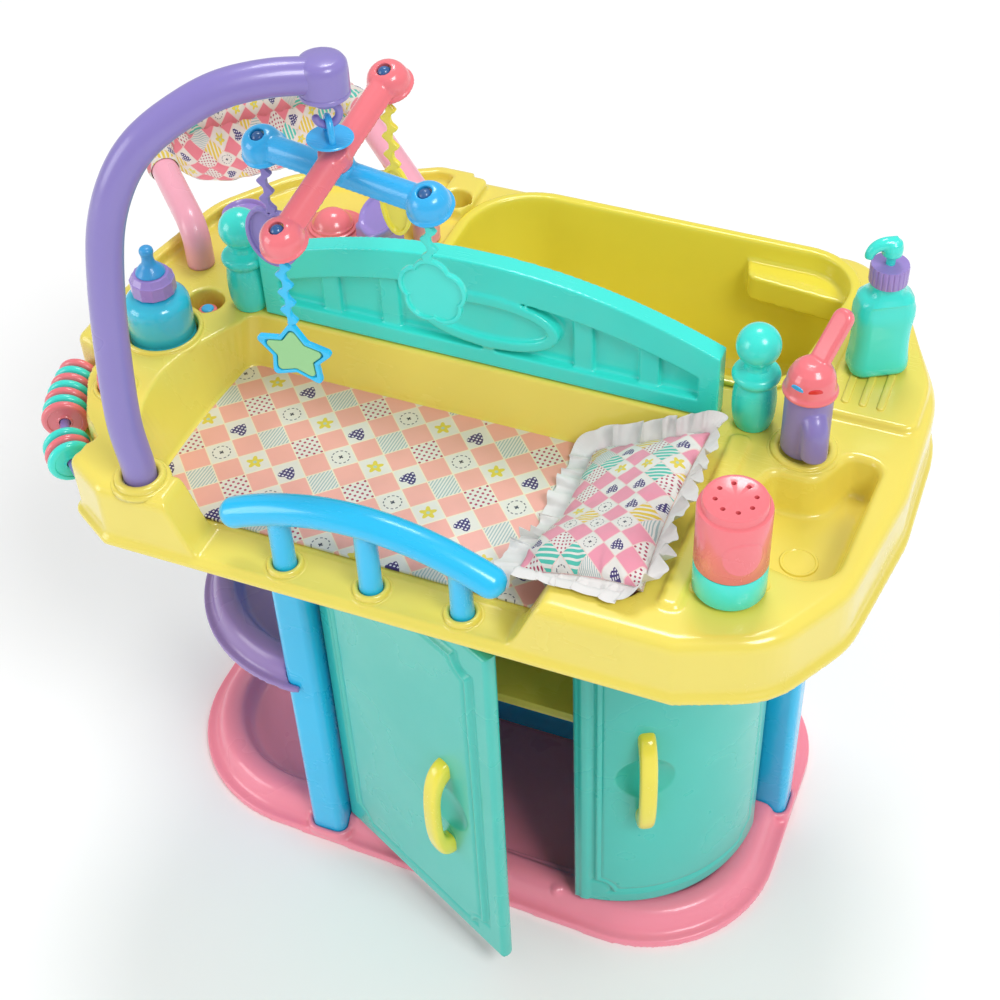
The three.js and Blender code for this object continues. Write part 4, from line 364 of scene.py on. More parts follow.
def turn_z(degrees, x=0.0, y=0.0, z=0.0):
    """Turn about the vertical, then move."""
    return Matrix.Translation((x, y, z)) @ Matrix.Rotation(math.radians(degrees), 4, "Z")


print("a quarter turn:", [round(value) for row in turn_z(90) for value in row])

# %% Moulding
def carried(piece, place):
    """Moves a finished mesh by a matrix given in millimetres."""
    piece.data.transform(Matrix.Scale(MM, 4) @ place @ Matrix.Scale(1 / MM, 4))
    return piece


def evaluated(piece):
    """A new mesh with a piece's modifiers applied."""
    bpy.context.view_layer.update()
    return bpy.data.meshes.new_from_object(piece.evaluated_get(bpy.context.evaluated_depsgraph_get()))


def combine(name, first, *steps):
    """A body joined with, cut by or limited to others in turn; steps are ("UNION" or "DIFFERENCE" or
    "INTERSECT", body)."""
    target = solid(name, first)
    tools = []
    for operation, shape in steps:
        tool = shape if isinstance(shape, bpy.types.Object) else solid("tool", shape)
        tools.append(tool)
        boolean = target.modifiers.new(operation.lower(), "BOOLEAN")
        boolean.operation = operation
        boolean.solver = "MANIFOLD"
        boolean.object = tool
    mesh = evaluated(target)
    target.modifiers.clear()
    target.data = mesh
    for tool in tools:
        bpy.data.objects.remove(tool)
    return target


def moulded(piece, voxel, soften=5, keep=90000):
    """Gives a body the soft edges of a moulding: it is rebuilt on a grid of that pitch in millimetres,
    then each point moves towards the mean of its neighbours, soften times. Beyond keep faces, flat
    parts are thinned out."""
    remesh = piece.modifiers.new("grid", "REMESH")
    remesh.mode = "VOXEL"
    remesh.voxel_size = voxel * MM
    remesh.use_smooth_shade = True
    smooth = piece.modifiers.new("soften", "SMOOTH")
    smooth.factor = 0.5
    smooth.iterations = soften
    mesh = evaluated(piece)
    if len(mesh.polygons) > keep:
        thin = piece.modifiers.new("thin", "DECIMATE")
        thin.ratio = keep / len(mesh.polygons)
        mesh = evaluated(piece)
    piece.modifiers.clear()
    piece.data = mesh
    mesh.shade_smooth()
    print(piece.name, "faces:", len(mesh.polygons))
    return piece


print("millimetres in a metre:", round(1 / MM))

# %% Dressing
def dress(piece, body, *nodes, paint, named=True):
    """Sets a piece on its body with its material, in place of the nodes that it stands for."""
    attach(piece, body)
    if nodes:
        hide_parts(*nodes)
    piece.data.materials.clear()
    piece.data.materials.append(PAINT[paint])
    return piece


def placed(name, shape, body, *nodes, paint, angle=38):
    """A piece made from a shape, with edges drawn where it turns by more than the angle, dressed."""
    return dress(sharpen(solid(name, shape), angle), body, *nodes, paint=paint)


# %% [markdown]
# ## Plastics
# The shells are dyed polyethylene, so the colour runs through the wall and has no grain.
# What makes it read as a used toy is small: a faint orange peel, patches that are more or less
# polished, and fine rub marks.
# These live in one shader group, so each colour only sets its own base values.

# %% Shader helpers
class Graph:
    """Adds nodes to a tree. A value may be a number, a tuple or another node's output."""

    def __init__(self, tree):
        self.tree = tree

    def add(self, kind, inputs=(), **settings):
        node = self.tree.nodes.new(kind)
        for key, value in settings.items():
            setattr(node, key, value)
        for key, value in dict(inputs).items():
            self.put(node.inputs[key], value)
        return node

    def put(self, socket, value):
        if isinstance(value, bpy.types.NodeSocket):
            self.tree.links.new(value, socket)
        else:
            socket.default_value = value

    def math(self, operation, *values):
        node = self.add("ShaderNodeMath", operation=operation)
        for socket, value in zip(node.inputs, values):
            self.put(socket, value)
        return node.outputs[0]

    def times(self, first, second):
        return self.math("MULTIPLY", first, second)

    def plus(self, first, second):
        return self.math("ADD", first, second)

    def minus(self, first, second):
        return self.math("SUBTRACT", first, second)

    def above(self, value, limit):
        return self.math("GREATER_THAN", value, limit)

    def size(self, value):
        return self.math("ABSOLUTE", value)

    def mix(self, factor, first, second, blend="MIX"):
        node = self.add("ShaderNodeMix", data_type="RGBA", blend_type=blend)
        self.put(node.inputs["Factor"], factor)
        self.put(node.inputs[6], first)
        self.put(node.inputs[7], second)
        return node.outputs[2]

    def ramp(self, value, low, high, to_low=0.0, to_high=1.0):
        node = self.add("ShaderNodeMapRange", interpolation_type="SMOOTHSTEP")
        given = {"Value": value, "From Min": low, "From Max": high, "To Min": to_low, "To Max": to_high}
        for key, number in given.items():
            self.put(node.inputs[key], number)
        return node.outputs[0]


def new_group(name, inputs, outputs):
    """An empty shader group with its sockets, and its input and output nodes."""
    tree = bpy.data.node_groups.new(name, "ShaderNodeTree")
    for label, kind in inputs:
        tree.interface.new_socket(name=label, in_out="INPUT", socket_type=kind)
    for label, kind in outputs:
        tree.interface.new_socket(name=label, in_out="OUTPUT", socket_type=kind)
    graph = Graph(tree)
    return tree, graph, graph.add("NodeGroupInput"), graph.add("NodeGroupOutput")


print("graph methods:", [name for name in vars(Graph) if not name.startswith("_")])

# %% Moulded plastic
def plastic_group():
    """Shade, roughness and normal of moulded plastic: broad noise for polish, fine noise for orange
    peel, stretched noise for rub marks."""
    tree, g, source, sink = new_group(
        "moulded_plastic", [("Gloss", "NodeSocketFloat"), ("Peel", "NodeSocketFloat")],
        [("Shade", "NodeSocketColor"), ("Roughness", "NodeSocketFloat"),
        ("Normal", "NodeSocketVector")])
    place = g.add("ShaderNodeTexCoord").outputs["Object"]
    broad = g.add("ShaderNodeTexNoise", {"Vector": place, "Scale": 14.0, "Detail": 3.0}).outputs[0]
    fine = g.add("ShaderNodeTexNoise", {"Vector": place, "Scale": 900.0, "Detail": 2.0}).outputs[0]
    lines = g.add("ShaderNodeMapping", {"Vector": place, "Scale": (60.0, 900.0, 240.0),
        "Rotation": (0.3, 0.5, 0.7)})
    rub = g.add("ShaderNodeTexNoise", {"Vector": lines.outputs[0], "Scale": 1.0,
        "Detail": 2.0}).outputs[0]
    worn = g.times(g.ramp(rub, 0.5, 0.85), g.ramp(broad, 0.4, 0.7))
    rough = g.plus(source.outputs["Gloss"], g.ramp(broad, 0.3, 0.7, -0.04, 0.07))
    g.put(sink.inputs["Roughness"], g.plus(rough, g.times(worn, 0.05)))
    tone = g.minus(g.ramp(broad, 0.2, 0.8, 1.0, 0.965), g.times(worn, 0.01))
    shade = g.add("ShaderNodeCombineColor", {"Red": tone, "Green": tone, "Blue": tone})
    g.put(sink.inputs["Shade"], shade.outputs[0])
    bump = g.add("ShaderNodeBump", {"Strength": source.outputs["Peel"], "Distance": 0.0002,
        "Height": fine})
    g.put(sink.inputs["Normal"], bump.outputs[0])
    return tree


PLASTIC_GROUP = plastic_group()
PEEL, GLOW = 0.04, 0.06


def plastic(name, colour, gloss=0.22, clear=0.0):
    """A plastic of one dye. clear is how much light goes through, for the tinted bottle."""
    material = bpy.data.materials.new(name)
    material.use_nodes = True
    g = Graph(material.node_tree)
    shader = material.node_tree.nodes["Principled BSDF"]
    group = g.add("ShaderNodeGroup", node_tree=PLASTIC_GROUP)
    group.inputs["Gloss"].default_value = gloss
    group.inputs["Peel"].default_value = PEEL
    g.put(shader.inputs["Base Color"], g.mix(1.0, (*colour, 1.0), group.outputs["Shade"], "MULTIPLY"))
    g.put(shader.inputs["Roughness"], group.outputs["Roughness"])
    g.put(shader.inputs["Normal"], group.outputs["Normal"])
    shader.inputs["IOR"].default_value = 1.5
    shader.inputs["Coat Weight"].default_value = 0.35
    shader.inputs["Coat Roughness"].default_value = 0.12
    shader.inputs["Transmission Weight"].default_value = clear
    shader.inputs["Subsurface Weight"].default_value = GLOW
    shader.inputs["Subsurface Radius"].default_value = (0.5, 0.3, 0.2)
    shader.inputs["Subsurface Scale"].default_value = 0.006
    material.diffuse_color = (*colour, 1.0)
    return material


print("nodes of the plastic:", len(PLASTIC_GROUP.nodes))

# %% Dyes
PAINT = {
    "yellow": plastic("yellow_plastic", (0.83, 0.695, 0.115)),
    "tub": plastic("tub_plastic", (0.82, 0.70, 0.07), gloss=0.18),
    "handle": plastic("handle_plastic", (0.87, 0.76, 0.065), gloss=0.2),
    "pink": plastic("pink_plastic", (0.87, 0.19, 0.22)),
    "base": plastic("base_plastic", (0.94, 0.275, 0.37), gloss=0.3),
    "tube": plastic("tube_plastic", (0.87, 0.38, 0.48), gloss=0.3),
    "teal": plastic("teal_plastic", (0.045, 0.78, 0.68)),
    "door": plastic("door_plastic", (0.045, 0.55, 0.47), gloss=0.28),
    "blue": plastic("blue_plastic", (0.015, 0.53, 0.90)),
    "bar_blue": plastic("bar_blue_plastic", (0.03, 0.44, 0.85)),
    "purple": plastic("purple_plastic", (0.255, 0.205, 0.54), gloss=0.3),
    "lobe": plastic("lobe_plastic", (0.31, 0.20, 0.50), gloss=0.28),
    "lilac": plastic("lilac_plastic", (0.33, 0.23, 0.60), gloss=0.26),
    "clear_blue": plastic("clear_blue_plastic", (0.05, 0.66, 0.90), gloss=0.12, clear=0.2),
    "teat": plastic("teat_rubber", (0.03, 0.33, 0.70), gloss=0.45),
    "green": plastic("green_plastic", (0.30, 0.62, 0.26)),
    # Dark navy studs: partly the studs' own blue, partly painted shade of the holes they fill.
    "stud": plastic("stud_plastic", (0.03, 0.12, 0.32), gloss=0.25),
    "mark_red": plastic("mark_red_plastic", (0.72, 0.02, 0.03)),
}
NODE_PAINT = {
    "yellow": "table_top cabinet_shelf",
    "pink": "dial_knob pocket_button can_body play_dish faucet_lever pink_bar",
    "teal": "headboard_panel left_newel right_newel can_base lotion_body lotion_pump cloud_pendant",
    "blue": "left_front_leg right_leg left_rear_leg right_rear_leg guard_rail cabinet_back_panel "
            "cabinet_side_panel dial_button star_pendant",
    "purple": "mobile_arm mobile_hook heart_pendant bead_rod faucet_column dial_unit play_cup "
              "lotion_collar bottle_collar",
    "base": "base_tray", "tub": "bath_tub", "lobe": "lobe_shelf", "door": "left_door right_door",
    "tube": "chair_hoop",
    "handle": "left_door_handle right_door_handle oval_pendant", "bar_blue": "blue_bar hanger_loop",
    "green": "star_insert",
    "clear_blue": "bottle_body", "teat": "bottle_teat",
}
for number in range(1, 11):
    NODE_PAINT["teal" if number % 2 == 0 else "pink"] += f" bead_{number:02d}"
for paint_name, node_names in NODE_PAINT.items():
    for node_name in node_names.split():
        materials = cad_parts[node_name].data.materials
        materials.clear()
        materials.append(PAINT[paint_name])
print("plastics:", len(PAINT))

# %% [markdown]
# ## The deck
# The yellow top is one large hollow moulding: an apron all round, and every recess is a pocket pressed
# into it.
# It is built as the mould maker thinks of it: a skin, pocket walls under it, and the spaces taken out.
# Rebuilding it on a fine grid and softening it gives each edge the small radius that plastic flows
# into.

# %% Deck sizes
DECK_TOP, DECK_WALL, APRON = 481, 3, 55
DECK_HALF = (320, 220)
BOTTLE_AT, POCKET_AT, KNOB_AT, ARM_AT = (-256, -52), (-243, -8), (-255, -122), (-188, -200)
FAUCET_AT, CAN_AT, DRAIN_AT, LOTION_AT = (238, -14), (226, -158), (258, -92), (266, 84)
DECK_SHARES = [
    (-0.669, -0.995, 0.045), (0.65, -0.995, 0.02), (0.837, -0.89, 0.27), (0.947, -0.614, 0.32),
    (0.994, -0.136, 0.41), (0.99, 0.34, 0.5), (0.837, 0.827, 0.27), (0.712, 0.99, 0.18),
    (-0.431, 0.99, 0.09), (-0.5, 0.936, 0.09), (-0.797, 0.764, 0.27), (-0.937, 0.477, 0.27),
    (-0.981, 0.09, 0.36), (-0.994, -0.18, 0.18), (-0.994, -0.355, 0.036), (-0.903, -0.391, 0.027),
    (-0.887, -0.536, 0.27), (-0.819, -0.704, 0.18), (-0.753, -0.786, 0.018), (-0.784, -0.895, 0.036),
]
NICHE_SHARES = [
    (-0.669, -0.995, 0.045), (-0.78, -0.89, 0.036), (-0.87, -0.72, 0.3), (-0.95, -0.52, 0.3),
    (-0.994, -0.355, 0.09), (-0.9, -0.3, 0.027), (-0.7, -0.8, 0.027),
]
RIM_SHARES = [
    (-0.97, -0.3, 0.1), (0, -0.3, 0.1), (0, 0.97, 0.1), (-0.431, 0.97, 0.09), (-0.5, 0.916, 0.09),
    (-0.785, 0.744, 0.27), (-0.92, 0.46, 0.27), (-0.965, 0.09, 0.36),
]
BASIN_SHARES = [
    (0, 0.54, 0.11), (0.12, 0.75, 0.08), (0.49, 0.75, 0.11), (0.68, 1.02, 0.1), (1, 1, 0.11),
    (0.92, 0.1, 0.25), (0.68, 0, 0.16), (0.1, 0.08, 0.18),
]
PLATFORM_SHARES = [(0, 0, 0.06), (1, 0, 0.06), (1, 0.33, 0.4), (0.45, 0.9, 0.25), (0.1, 1, 0.02)]
TUB_SHARES = [(0, 0, 0.26), (0.93, 0, 0.24), (1.01, 1, 0.26), (0, 1, 0.35)]
LEDGE_SHARES = [(0.68, 1.1, 0), (0.72, 0.84, 0.06), (1.1, 0.77, 0), (1.1, 1.1, 0)]
BED = {"left": -204, "right": 172, "front": -190, "back": -21}
BED_FLOOR, BED_SLOPE, BED_BULGE = DECK_TOP - 43, 12, 30
LEDGE_TOP = DECK_TOP - 45
TUB = {"left": -90, "right": 233, "front": 38, "back": 207}
BASIN = {"left": 213, "right": 297, "front": -137, "back": -10}
PLATFORM = {"left": 237, "right": 309, "front": 25, "back": 190}
RAIL_POSTS = (-79, -13, 55)
RAIL_Y = -204
UNDER = DECK_TOP - DECK_WALL
FOOT = DECK_TOP - APRON


def bed_loop(left, right, front, back, bulge, grown=0.0):
    """Outline of the bed: a rounded rectangle whose left side is bowed out by half a sine wave."""
    share = np.linspace(0, 1, 25)[1:-1]
    y = back - 12 - (back - front - 24) * share
    bow = np.stack([left - bulge * np.sin(np.pi * share), y], 1)
    return grow(np.vstack([rectangle(left, right, front, back, 12), bow]), grown)


def notch_loop(extra):
    """Outline, seen from the front, of the low stretch of the rim: its shoulders are half waves from
    the deck down to the ledge."""
    share = np.linspace(0, 1, 15)
    wave = (1 - np.cos(np.pi * share)) / 2
    drop = DECK_TOP + 1 - (DECK_TOP + 1 - LEDGE_TOP + extra) * wave
    left = np.stack([-166 + 26 * share - extra, drop], 1)
    right = np.stack([90 + 30 * share + extra, drop[::-1]], 1)
    return np.vstack([[(-180 - extra, 500)], left, right, [(132 + extra, 500)]])[::-1]


print("corners of the deck:", len(DECK_SHARES), "bed:", BED)

# %% Deck bodies
deck_loop = share_loop(DECK_SHARES, *DECK_HALF)
apron_steps = [(4, FOOT), (4.2, FOOT + 2), (4.2, FOOT + 4.5), (3.2, FOOT + 6), (0.6, FOOT + 7.5),
    (0, FOOT + 11)]
apron_steps += round_edge(0, DECK_TOP - 9, 9, steps=8)
skin_steps = [("UNION", slab(share_loop(NICHE_SHARES, *DECK_HALF), FOOT, FOOT + 6))]
deck_skin = combine("deck_skin", terrace(deck_loop, apron_steps), *skin_steps)
skin_copy = deck_skin.copy()
skin_copy.data = deck_skin.data.copy()
bpy.context.scene.collection.objects.link(skin_copy)

wells = [((*BOTTLE_AT, 27), 14, 0), ((*POCKET_AT, 14.5), 24, 0), ((-107, 173, 12.6), 26, 9)]
bed_low = bed_loop(**BED, bulge=BED_BULGE * 0.15)
bed_high = bed_loop(BED["left"], BED["right"], BED["front"], BED["back"] + BED_SLOPE, BED_BULGE)
basin_loop = box_loop(BASIN_SHARES, **BASIN)
tub_loop = box_loop(TUB_SHARES, **TUB)
bead_start, bead_end = np.array([-312.0, -75, 451]), np.array([-252.0, -188, 451])
bead_side = np.array([(bead_end - bead_start)[1], -(bead_end - bead_start)[0], 0.0])
bead_side /= np.linalg.norm(bead_side)
rod_middle = (bead_start + bead_end) / 2 + bead_side * 30


def rod_point(share):
    """Point of the bead rod: a parabola through its two ends that bows outwards."""
    return arched(bead_start, rod_middle, bead_end, np.asarray(share, float)[..., None])


rod_line = rod_point(np.linspace(0, 1, 401))
rod_length = run_lengths(rod_line)


def rod_at(distance):
    """Point of the bead rod at a distance along it."""
    return read_off(rod_line, rod_length, distance)


BEAD_STRETCH = 10 * 8.2 + 22
bead_low = (rod_length[-1] - BEAD_STRETCH) / 2
groove_line = rod_at(np.linspace(bead_low, bead_low + BEAD_STRETCH, 13))
print("wells:", len(wells), "rod length:", round(rod_length[-1]))

# %% Deck walls and spaces
deck_walls = combine(
    "deck_walls", tube(groove_line, 17.5 + 1.5 + DECK_WALL, 40),
    ("UNION", upright(notch_loop(DECK_WALL), -223, BED["front"] + DECK_WALL)),
    ("UNION", loft([(grow(bed_low, DECK_WALL), BED_FLOOR - DECK_WALL),
    (grow(bed_high, DECK_WALL), UNDER + 1.5)])),
    ("UNION", terrace(basin_loop, [(-3, DECK_TOP - 35), (3, UNDER + 1.5)])),
    *[("UNION", slab(circle(x, y, r + DECK_WALL), DECK_TOP + rise - depth - DECK_WALL, UNDER + 1.5))
      for (x, y, r), depth, rise in wells],
    ("INTERSECT", skin_copy))
rim_loop = share_loop(RIM_SHARES, *DECK_HALF)
corner_rim = combine(
    "corner_rim", terrace(rim_loop, [(0, UNDER), (0, DECK_TOP + 5)]
    + round_edge(0, DECK_TOP + 5, 4, steps=4)),
    ("DIFFERENCE", slab(grow(rim_loop, -10), 400, 520)),
    ("DIFFERENCE", block(-107, 340, -240, 240, 400, 520)),
    ("DIFFERENCE", block(-340, -100, -240, -8, 400, 520)))
cup_block = terrace(rectangle(-123, -92.6, 157, 208, 6),
    [(0, UNDER), (0, DECK_TOP + 6)] + round_edge(0, DECK_TOP + 6, 3, steps=4))
platform = terrace(box_loop(PLATFORM_SHARES, **PLATFORM),
    [(0, UNDER), (0, DECK_TOP + 2)] + round_edge(0, DECK_TOP + 2, 3, steps=4))
divider = terrace(rectangle(186, 202, -190, -16.5, 6),
    [(0, UNDER), (0, DECK_TOP)] + round_edge(0, DECK_TOP, 3, steps=4))
hollow = slab(grow(deck_loop, -DECK_WALL), FOOT - 3, UNDER)
spaces = [
    slab(grow(tub_loop, 7.3), DECK_TOP, DECK_TOP + 18),
    upright(notch_loop(0), -226, BED["front"] + DECK_WALL),
    loft([(bed_low, BED_FLOOR), (bed_high, DECK_TOP + 3)]),
    terrace(basin_loop, [(-9, DECK_TOP - 32), (-7, DECK_TOP - 30.5), (-6, DECK_TOP - 27),
    (-2, DECK_TOP - 4), (1, DECK_TOP), (1, DECK_TOP + 3)]),
    *[slab(circle(*well), DECK_TOP + rise - depth, DECK_TOP + 20) for well, depth, rise in wells],
    slab(grow(tub_loop, 0.3), FOOT - 5, DECK_TOP + 3),
    tube(groove_line, 19, 40),
    slab(circle(*ARM_AT, 12.4), DECK_TOP - 20, DECK_TOP + 20),
]
deck = combine(
    "deck", slab(circle(*ARM_AT, 16), UNDER, DECK_TOP + 3),
    ("UNION", deck_skin), ("DIFFERENCE", hollow), ("UNION", deck_walls), ("UNION", corner_rim),
    *[("UNION", shape) for shape in (cup_block, platform, divider)],
    *[("DIFFERENCE", shape) for shape in spaces])
print("deck:", len(deck.data.polygons), "box:", [round(size * 1000) for size in deck.dimensions])
moulded(deck, 1.5, soften=4, keep=95000)
dress(deck, "frame", "table_top", paint="yellow")

# %% Deck details
def ring(profile, x, y, steps=64):
    """A closed ring turned about the vertical line through (x, y), from a profile of (radius, height)
    that ends where it begins."""
    return skin(turned_rings(np.vstack([profile, profile[:1]]), x, y, steps), caps=False)


def collar_ring(x, y, inner, width, foot, height):
    """A soft collar: half an ellipse over its width, with a hollow fillet down to the deck outside."""
    angle = np.linspace(0, np.pi, 13)
    crown = np.stack([inner + width / 2 + width / 2 * np.cos(angle),
        foot + height * np.sin(angle) ** 0.7], 1)
    fillet = [(inner, foot - 4), (inner + width + 3, foot - 4), (inner + width + 2.6, foot - 0.2),
        (inner + width + 0.6, foot + 0.5)]
    return ring(np.vstack([fillet, crown]), x, y)


collars = {
    **{f"rail_collar_{number}": (x, RAIL_Y, 8.7, 4.6, LEDGE_TOP, 4.2)
       for number, x in enumerate(RAIL_POSTS, 1)},
    "arm_collar": (*ARM_AT, 12.3, 6.2, DECK_TOP, 5),
    "faucet_collar": (*FAUCET_AT, 17.4, 6.6, DECK_TOP, 3),
    "bottle_collar_ring": (*BOTTLE_AT, 27.2, 4, DECK_TOP, 3),
    "knob_collar": (*KNOB_AT, 12.8, 3.6, DECK_TOP, 2.5),
}
for collar_name, measures in collars.items():
    dress(solid(collar_name, collar_ring(*measures)), "frame", paint="yellow")


def soft_bar(name, left, right, front, back, foot, height, turn=0, x=0.0, y=0.0):
    """A long raised rib with round ends and a rounded top."""
    edge = min(height, 2.0)
    corner = min(back - front, right - left) / 2 - 0.01
    steps = [(0, foot - 3), (0, foot + height - edge)] + round_edge(0, foot + height - edge, edge,
        steps=5)
    shape = terrace(rectangle(left, right, front, back, corner), steps)
    return dress(solid(name, moved(shape, turn_z(turn, x, y))), "frame", paint="yellow")


for index in range(3):
    soft_bar(f"drain_rib_{index + 1}", 251 + 13 * index, 257 + 13 * index, 37, 80, DECK_TOP + 5, 1.6)
soft_bar("can_rib", -27, 27, -5.5, 5.5, DECK_TOP, 1.8, 22, *CAN_AT)
drain = turned([(0, 445), (13.5, 445), (13.5, 449.6), (13, 450.3), (11.6, 450.3), (11, 449.7),
    (0, 449.7)], *DRAIN_AT)
placed("basin_drain", drain, "frame", paint="yellow")
print("collars:", len(collars))

# %% [markdown]
# ## Bath, tray and outer shelf
# Each is a pressed tub whose wall leans a few degrees so that it leaves its mould.
# The wall is one outline grown and shrunk with height, so a whole vessel is a list of (offset, height)
# pairs.

# %% Bath
tub_outer = terrace(tub_loop, [(-30, 366), (-24, 366.6), (-19, 370), (-16, 376), (-0.9, 475),
    (-0.3, 481), (-0.3, 481.3), (6.4, 481.3),
                               (7, 482.2)] + round_edge(7, 483, 2.3, steps=5))
tub_inner = terrace(tub_loop, [(-34, 369.5), (-28, 370), (-22.5, 373.4), (-19, 379), (-3.9, 475),
    (-3, 481), (-1.5, 485.3), (-1.5, 489)])
soap_ledge = combine("soap_ledge", slab(box_loop(LEDGE_SHARES, **TUB), 446, 468),
    ("INTERSECT", tub_outer))
bath = combine("bath", tub_outer, ("DIFFERENCE", tub_inner), ("UNION", soap_ledge))
moulded(bath, 1.6, soften=4, keep=60000)
dress(bath, "frame", "bath_tub", paint="tub")

# %% Base tray
BASE_SHARES = [(-1, -0.83, 0.74), (0.866, -0.945, 0.69), (0.869, 1, 0.58), (-1, 1, 0.74)]
LEGS = {"left_front_leg": (-124, -130, 434.7), "right_leg": (238, 24.5, 477.7),
        "left_rear_leg": (-150, 128, 477.7), "right_rear_leg": (176, 128, 365.7)}
ROUND_X, ROUND_Y, ROUND_R = 106, -15, 127


def leg_loop(x, y, extra=0.0):
    """Footprint of a leg."""
    return rectangle(x - 16 - extra, x + 16 + extra, y - 15 - extra, y + 15 + extra, 8 + extra)


def front_band(outer, inner, left, bottom, top):
    """A band along the front that turns round the right corner: two quarter circles about the round
    part's centre."""
    angle = np.radians(np.linspace(0, 90, 40))
    arc = lambda radius: np.stack([ROUND_X + radius * np.sin(angle), ROUND_Y - radius * np.cos(angle)],
        1)
    loop = np.vstack([[(left, ROUND_Y - outer)], arc(outer), arc(inner)[::-1],
        [(left, ROUND_Y - inner)]])
    return slab(loop, bottom, top)


base_profile = spline([(0, 0), (0, 6), (-1, 8), (-7, 8.4), (-10.5, 11.5), (-14, 19), (-18, 24.6),
    (-24, 27), (-32, 26.8), (-36.5, 24.5),
                       (-41.5, 16.5), (-46, 12.4), (-50, 12)], 60)
base_loop = share_loop(BASE_SHARES, 298, 171)
hinge_turn = math.radians(87)
hinge_x, hinge_y = ROUND_X + 121 * math.sin(hinge_turn), ROUND_Y - 121 * math.cos(hinge_turn)
tray = combine(
    "tray", terrace(base_loop, base_profile.tolist()),
    ("UNION", front_band(113, 97, -102, 8, 21.5)),
    ("UNION", turned([(0, 8), (5, 8), (5, 24), (3.5, 27), (0, 27)], 92, -137, 32)),
    *[("UNION", slab(leg_loop(x, y, 5), 8, 17)) for x, y, _ in LEGS.values()],
    *[("UNION", slab(circle(x, y, 6, 32), 8, 27)) for x, y in ((-99, -127.2), (hinge_x, hinge_y))],
    *[("DIFFERENCE", slab(leg_loop(x, y, 0.4), 12, 30)) for x, y, _ in LEGS.values()])
moulded(tray, 1.6, soften=3, keep=80000)
dress(tray, "frame", "base_tray", paint="base")

# %% Legs and outer shelf
for leg_name, (x, y, top) in LEGS.items():
    leg = solid(leg_name + "_post", terrace(leg_loop(x, y),
        [(-1.5, 12.3), (0, 13.8), (0, top - 1.5), (-1.5, top)]))
    dress(sharpen(leg), "frame", leg_name, paint="blue")
lobe_profile = spline([(0, 210), (0, 213.4), (-1.2, 215), (-5, 215.4), (-7.4, 218), (-10, 225),
    (-14, 230.4), (-19, 232), (-25, 231.8),
                       (-29, 229.4), (-33, 221.5), (-36, 218.3), (-40, 218)], 50)
shelf = combine("outer_shelf", terrace(circle(-136, -21, 129, 128), lobe_profile.tolist()),
                ("DIFFERENCE", block(-126, 200, -300, 300, 0, 300)),
                ("DIFFERENCE", slab(leg_loop(-124, -130, 0.3), 0, 300)))
moulded(shelf, 1.4, soften=2, keep=50000)
dress(shelf, "frame", "lobe_shelf", paint="lobe")


def softened_copy(node, name, width, body, paint):
    """A copy of a plain solid whose flat faces are joined and whose edges get a small bevel."""
    piece = bpy.data.objects.new(name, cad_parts[node].data.copy())
    bpy.context.scene.collection.objects.link(piece)
    edit = bmesh.new()
    edit.from_mesh(piece.data)
    bmesh.ops.remove_doubles(edit, verts=edit.verts, dist=1e-5)
    bmesh.ops.dissolve_limit(edit, angle_limit=math.radians(1), verts=edit.verts, edges=edit.edges)
    edit.to_mesh(piece.data)
    edit.free()
    bevel = piece.modifiers.new("edges", "BEVEL")
    bevel.width, bevel.segments = width * MM, 2
    bevel.limit_method, bevel.angle_limit = "ANGLE", math.radians(35)
    mesh = evaluated(piece)
    piece.modifiers.clear()
    piece.data = mesh
    mesh.shade_smooth()
    return dress(sharpen(piece, 30), body, node, paint=paint)


softened_copy("cabinet_back_panel", "back_wall", 0.8, "frame", "blue")
softened_copy("cabinet_side_panel", "side_wall", 0.8, "frame", "blue")
softened_copy("cabinet_shelf", "inner_shelf", 0.8, "frame", "yellow")

# %% [markdown]
# ## Doors
# Both doors carry the same relief: a soft outer edge, a field whose corners step in, and a shallow dish
# behind the handle.
# The relief is one function of the place on the door, and the second door bends the same sheet round a
# cylinder.

# %% Door relief
DOOR_LOW, DOOR_HIGH, DOOR_THICK = 29, 410, 12
LEFT_HINGE, LEFT_DISH, RIGHT_DISH_Z = (-99, -127.2), (149, 193), 207
GROOVES = [(1.3, 2.4, 1.6), (1.2, -5, 1.4)]


def ease(value):
    """A smooth step from 0 to 1: three squares less two cubes."""
    value = np.clip(value, 0, 1)
    return value * value * (3 - 2 * value)


def door_relief(s, z, width, dish_s, dish_z):
    """Height of the door's face: a step and two fine grooves at the field's edge, less a round dish."""
    left, right, low, high = 19, width - 19, DOOR_LOW + 19, DOOR_HIGH - 19
    inside = np.minimum.reduce([s - left, right - s, z - low, high - z])
    bites = [np.hypot(s - cs, z - cz) - 15 for cs in (left, right) for cz in (low, high)]
    inside = np.minimum(inside, np.minimum.reduce(bites))
    grooves = [depth * np.exp(-((inside + place) / width) ** 2) for depth, place, width in GROOVES]
    field = 2.4 * ease((inside + 1) / 2.6) - grooves[0] - grooves[1]
    share = np.hypot(s - dish_s, z - dish_z) / 24
    dish = 6.5 * (1 - np.clip(share, 0, 1) ** 2.4) * ease((1 - share) * 14)
    return field - dish


def rim_drop(s, z, width, radius=4.0):
    """How far a rounded rim falls back: a quarter circle over the last few millimetres."""
    edge = np.clip(np.minimum.reduce([s, width - s, z - DOOR_LOW, DOOR_HIGH - z]), 0, radius)
    return radius - np.sqrt(np.maximum(radius**2 - (radius - edge) ** 2, 0))


def spaced(start, end, pitch, edge=5.0, fine=0.8):
    """Stations along a side, closer together near both ends, where the rim is round."""
    ends = np.arange(0, edge, fine)
    return np.concatenate([start + ends, np.arange(start + edge, end - edge, pitch), end - ends[::-1]])


print("stations along a side:", len(spaced(0, 100, 1.2)))

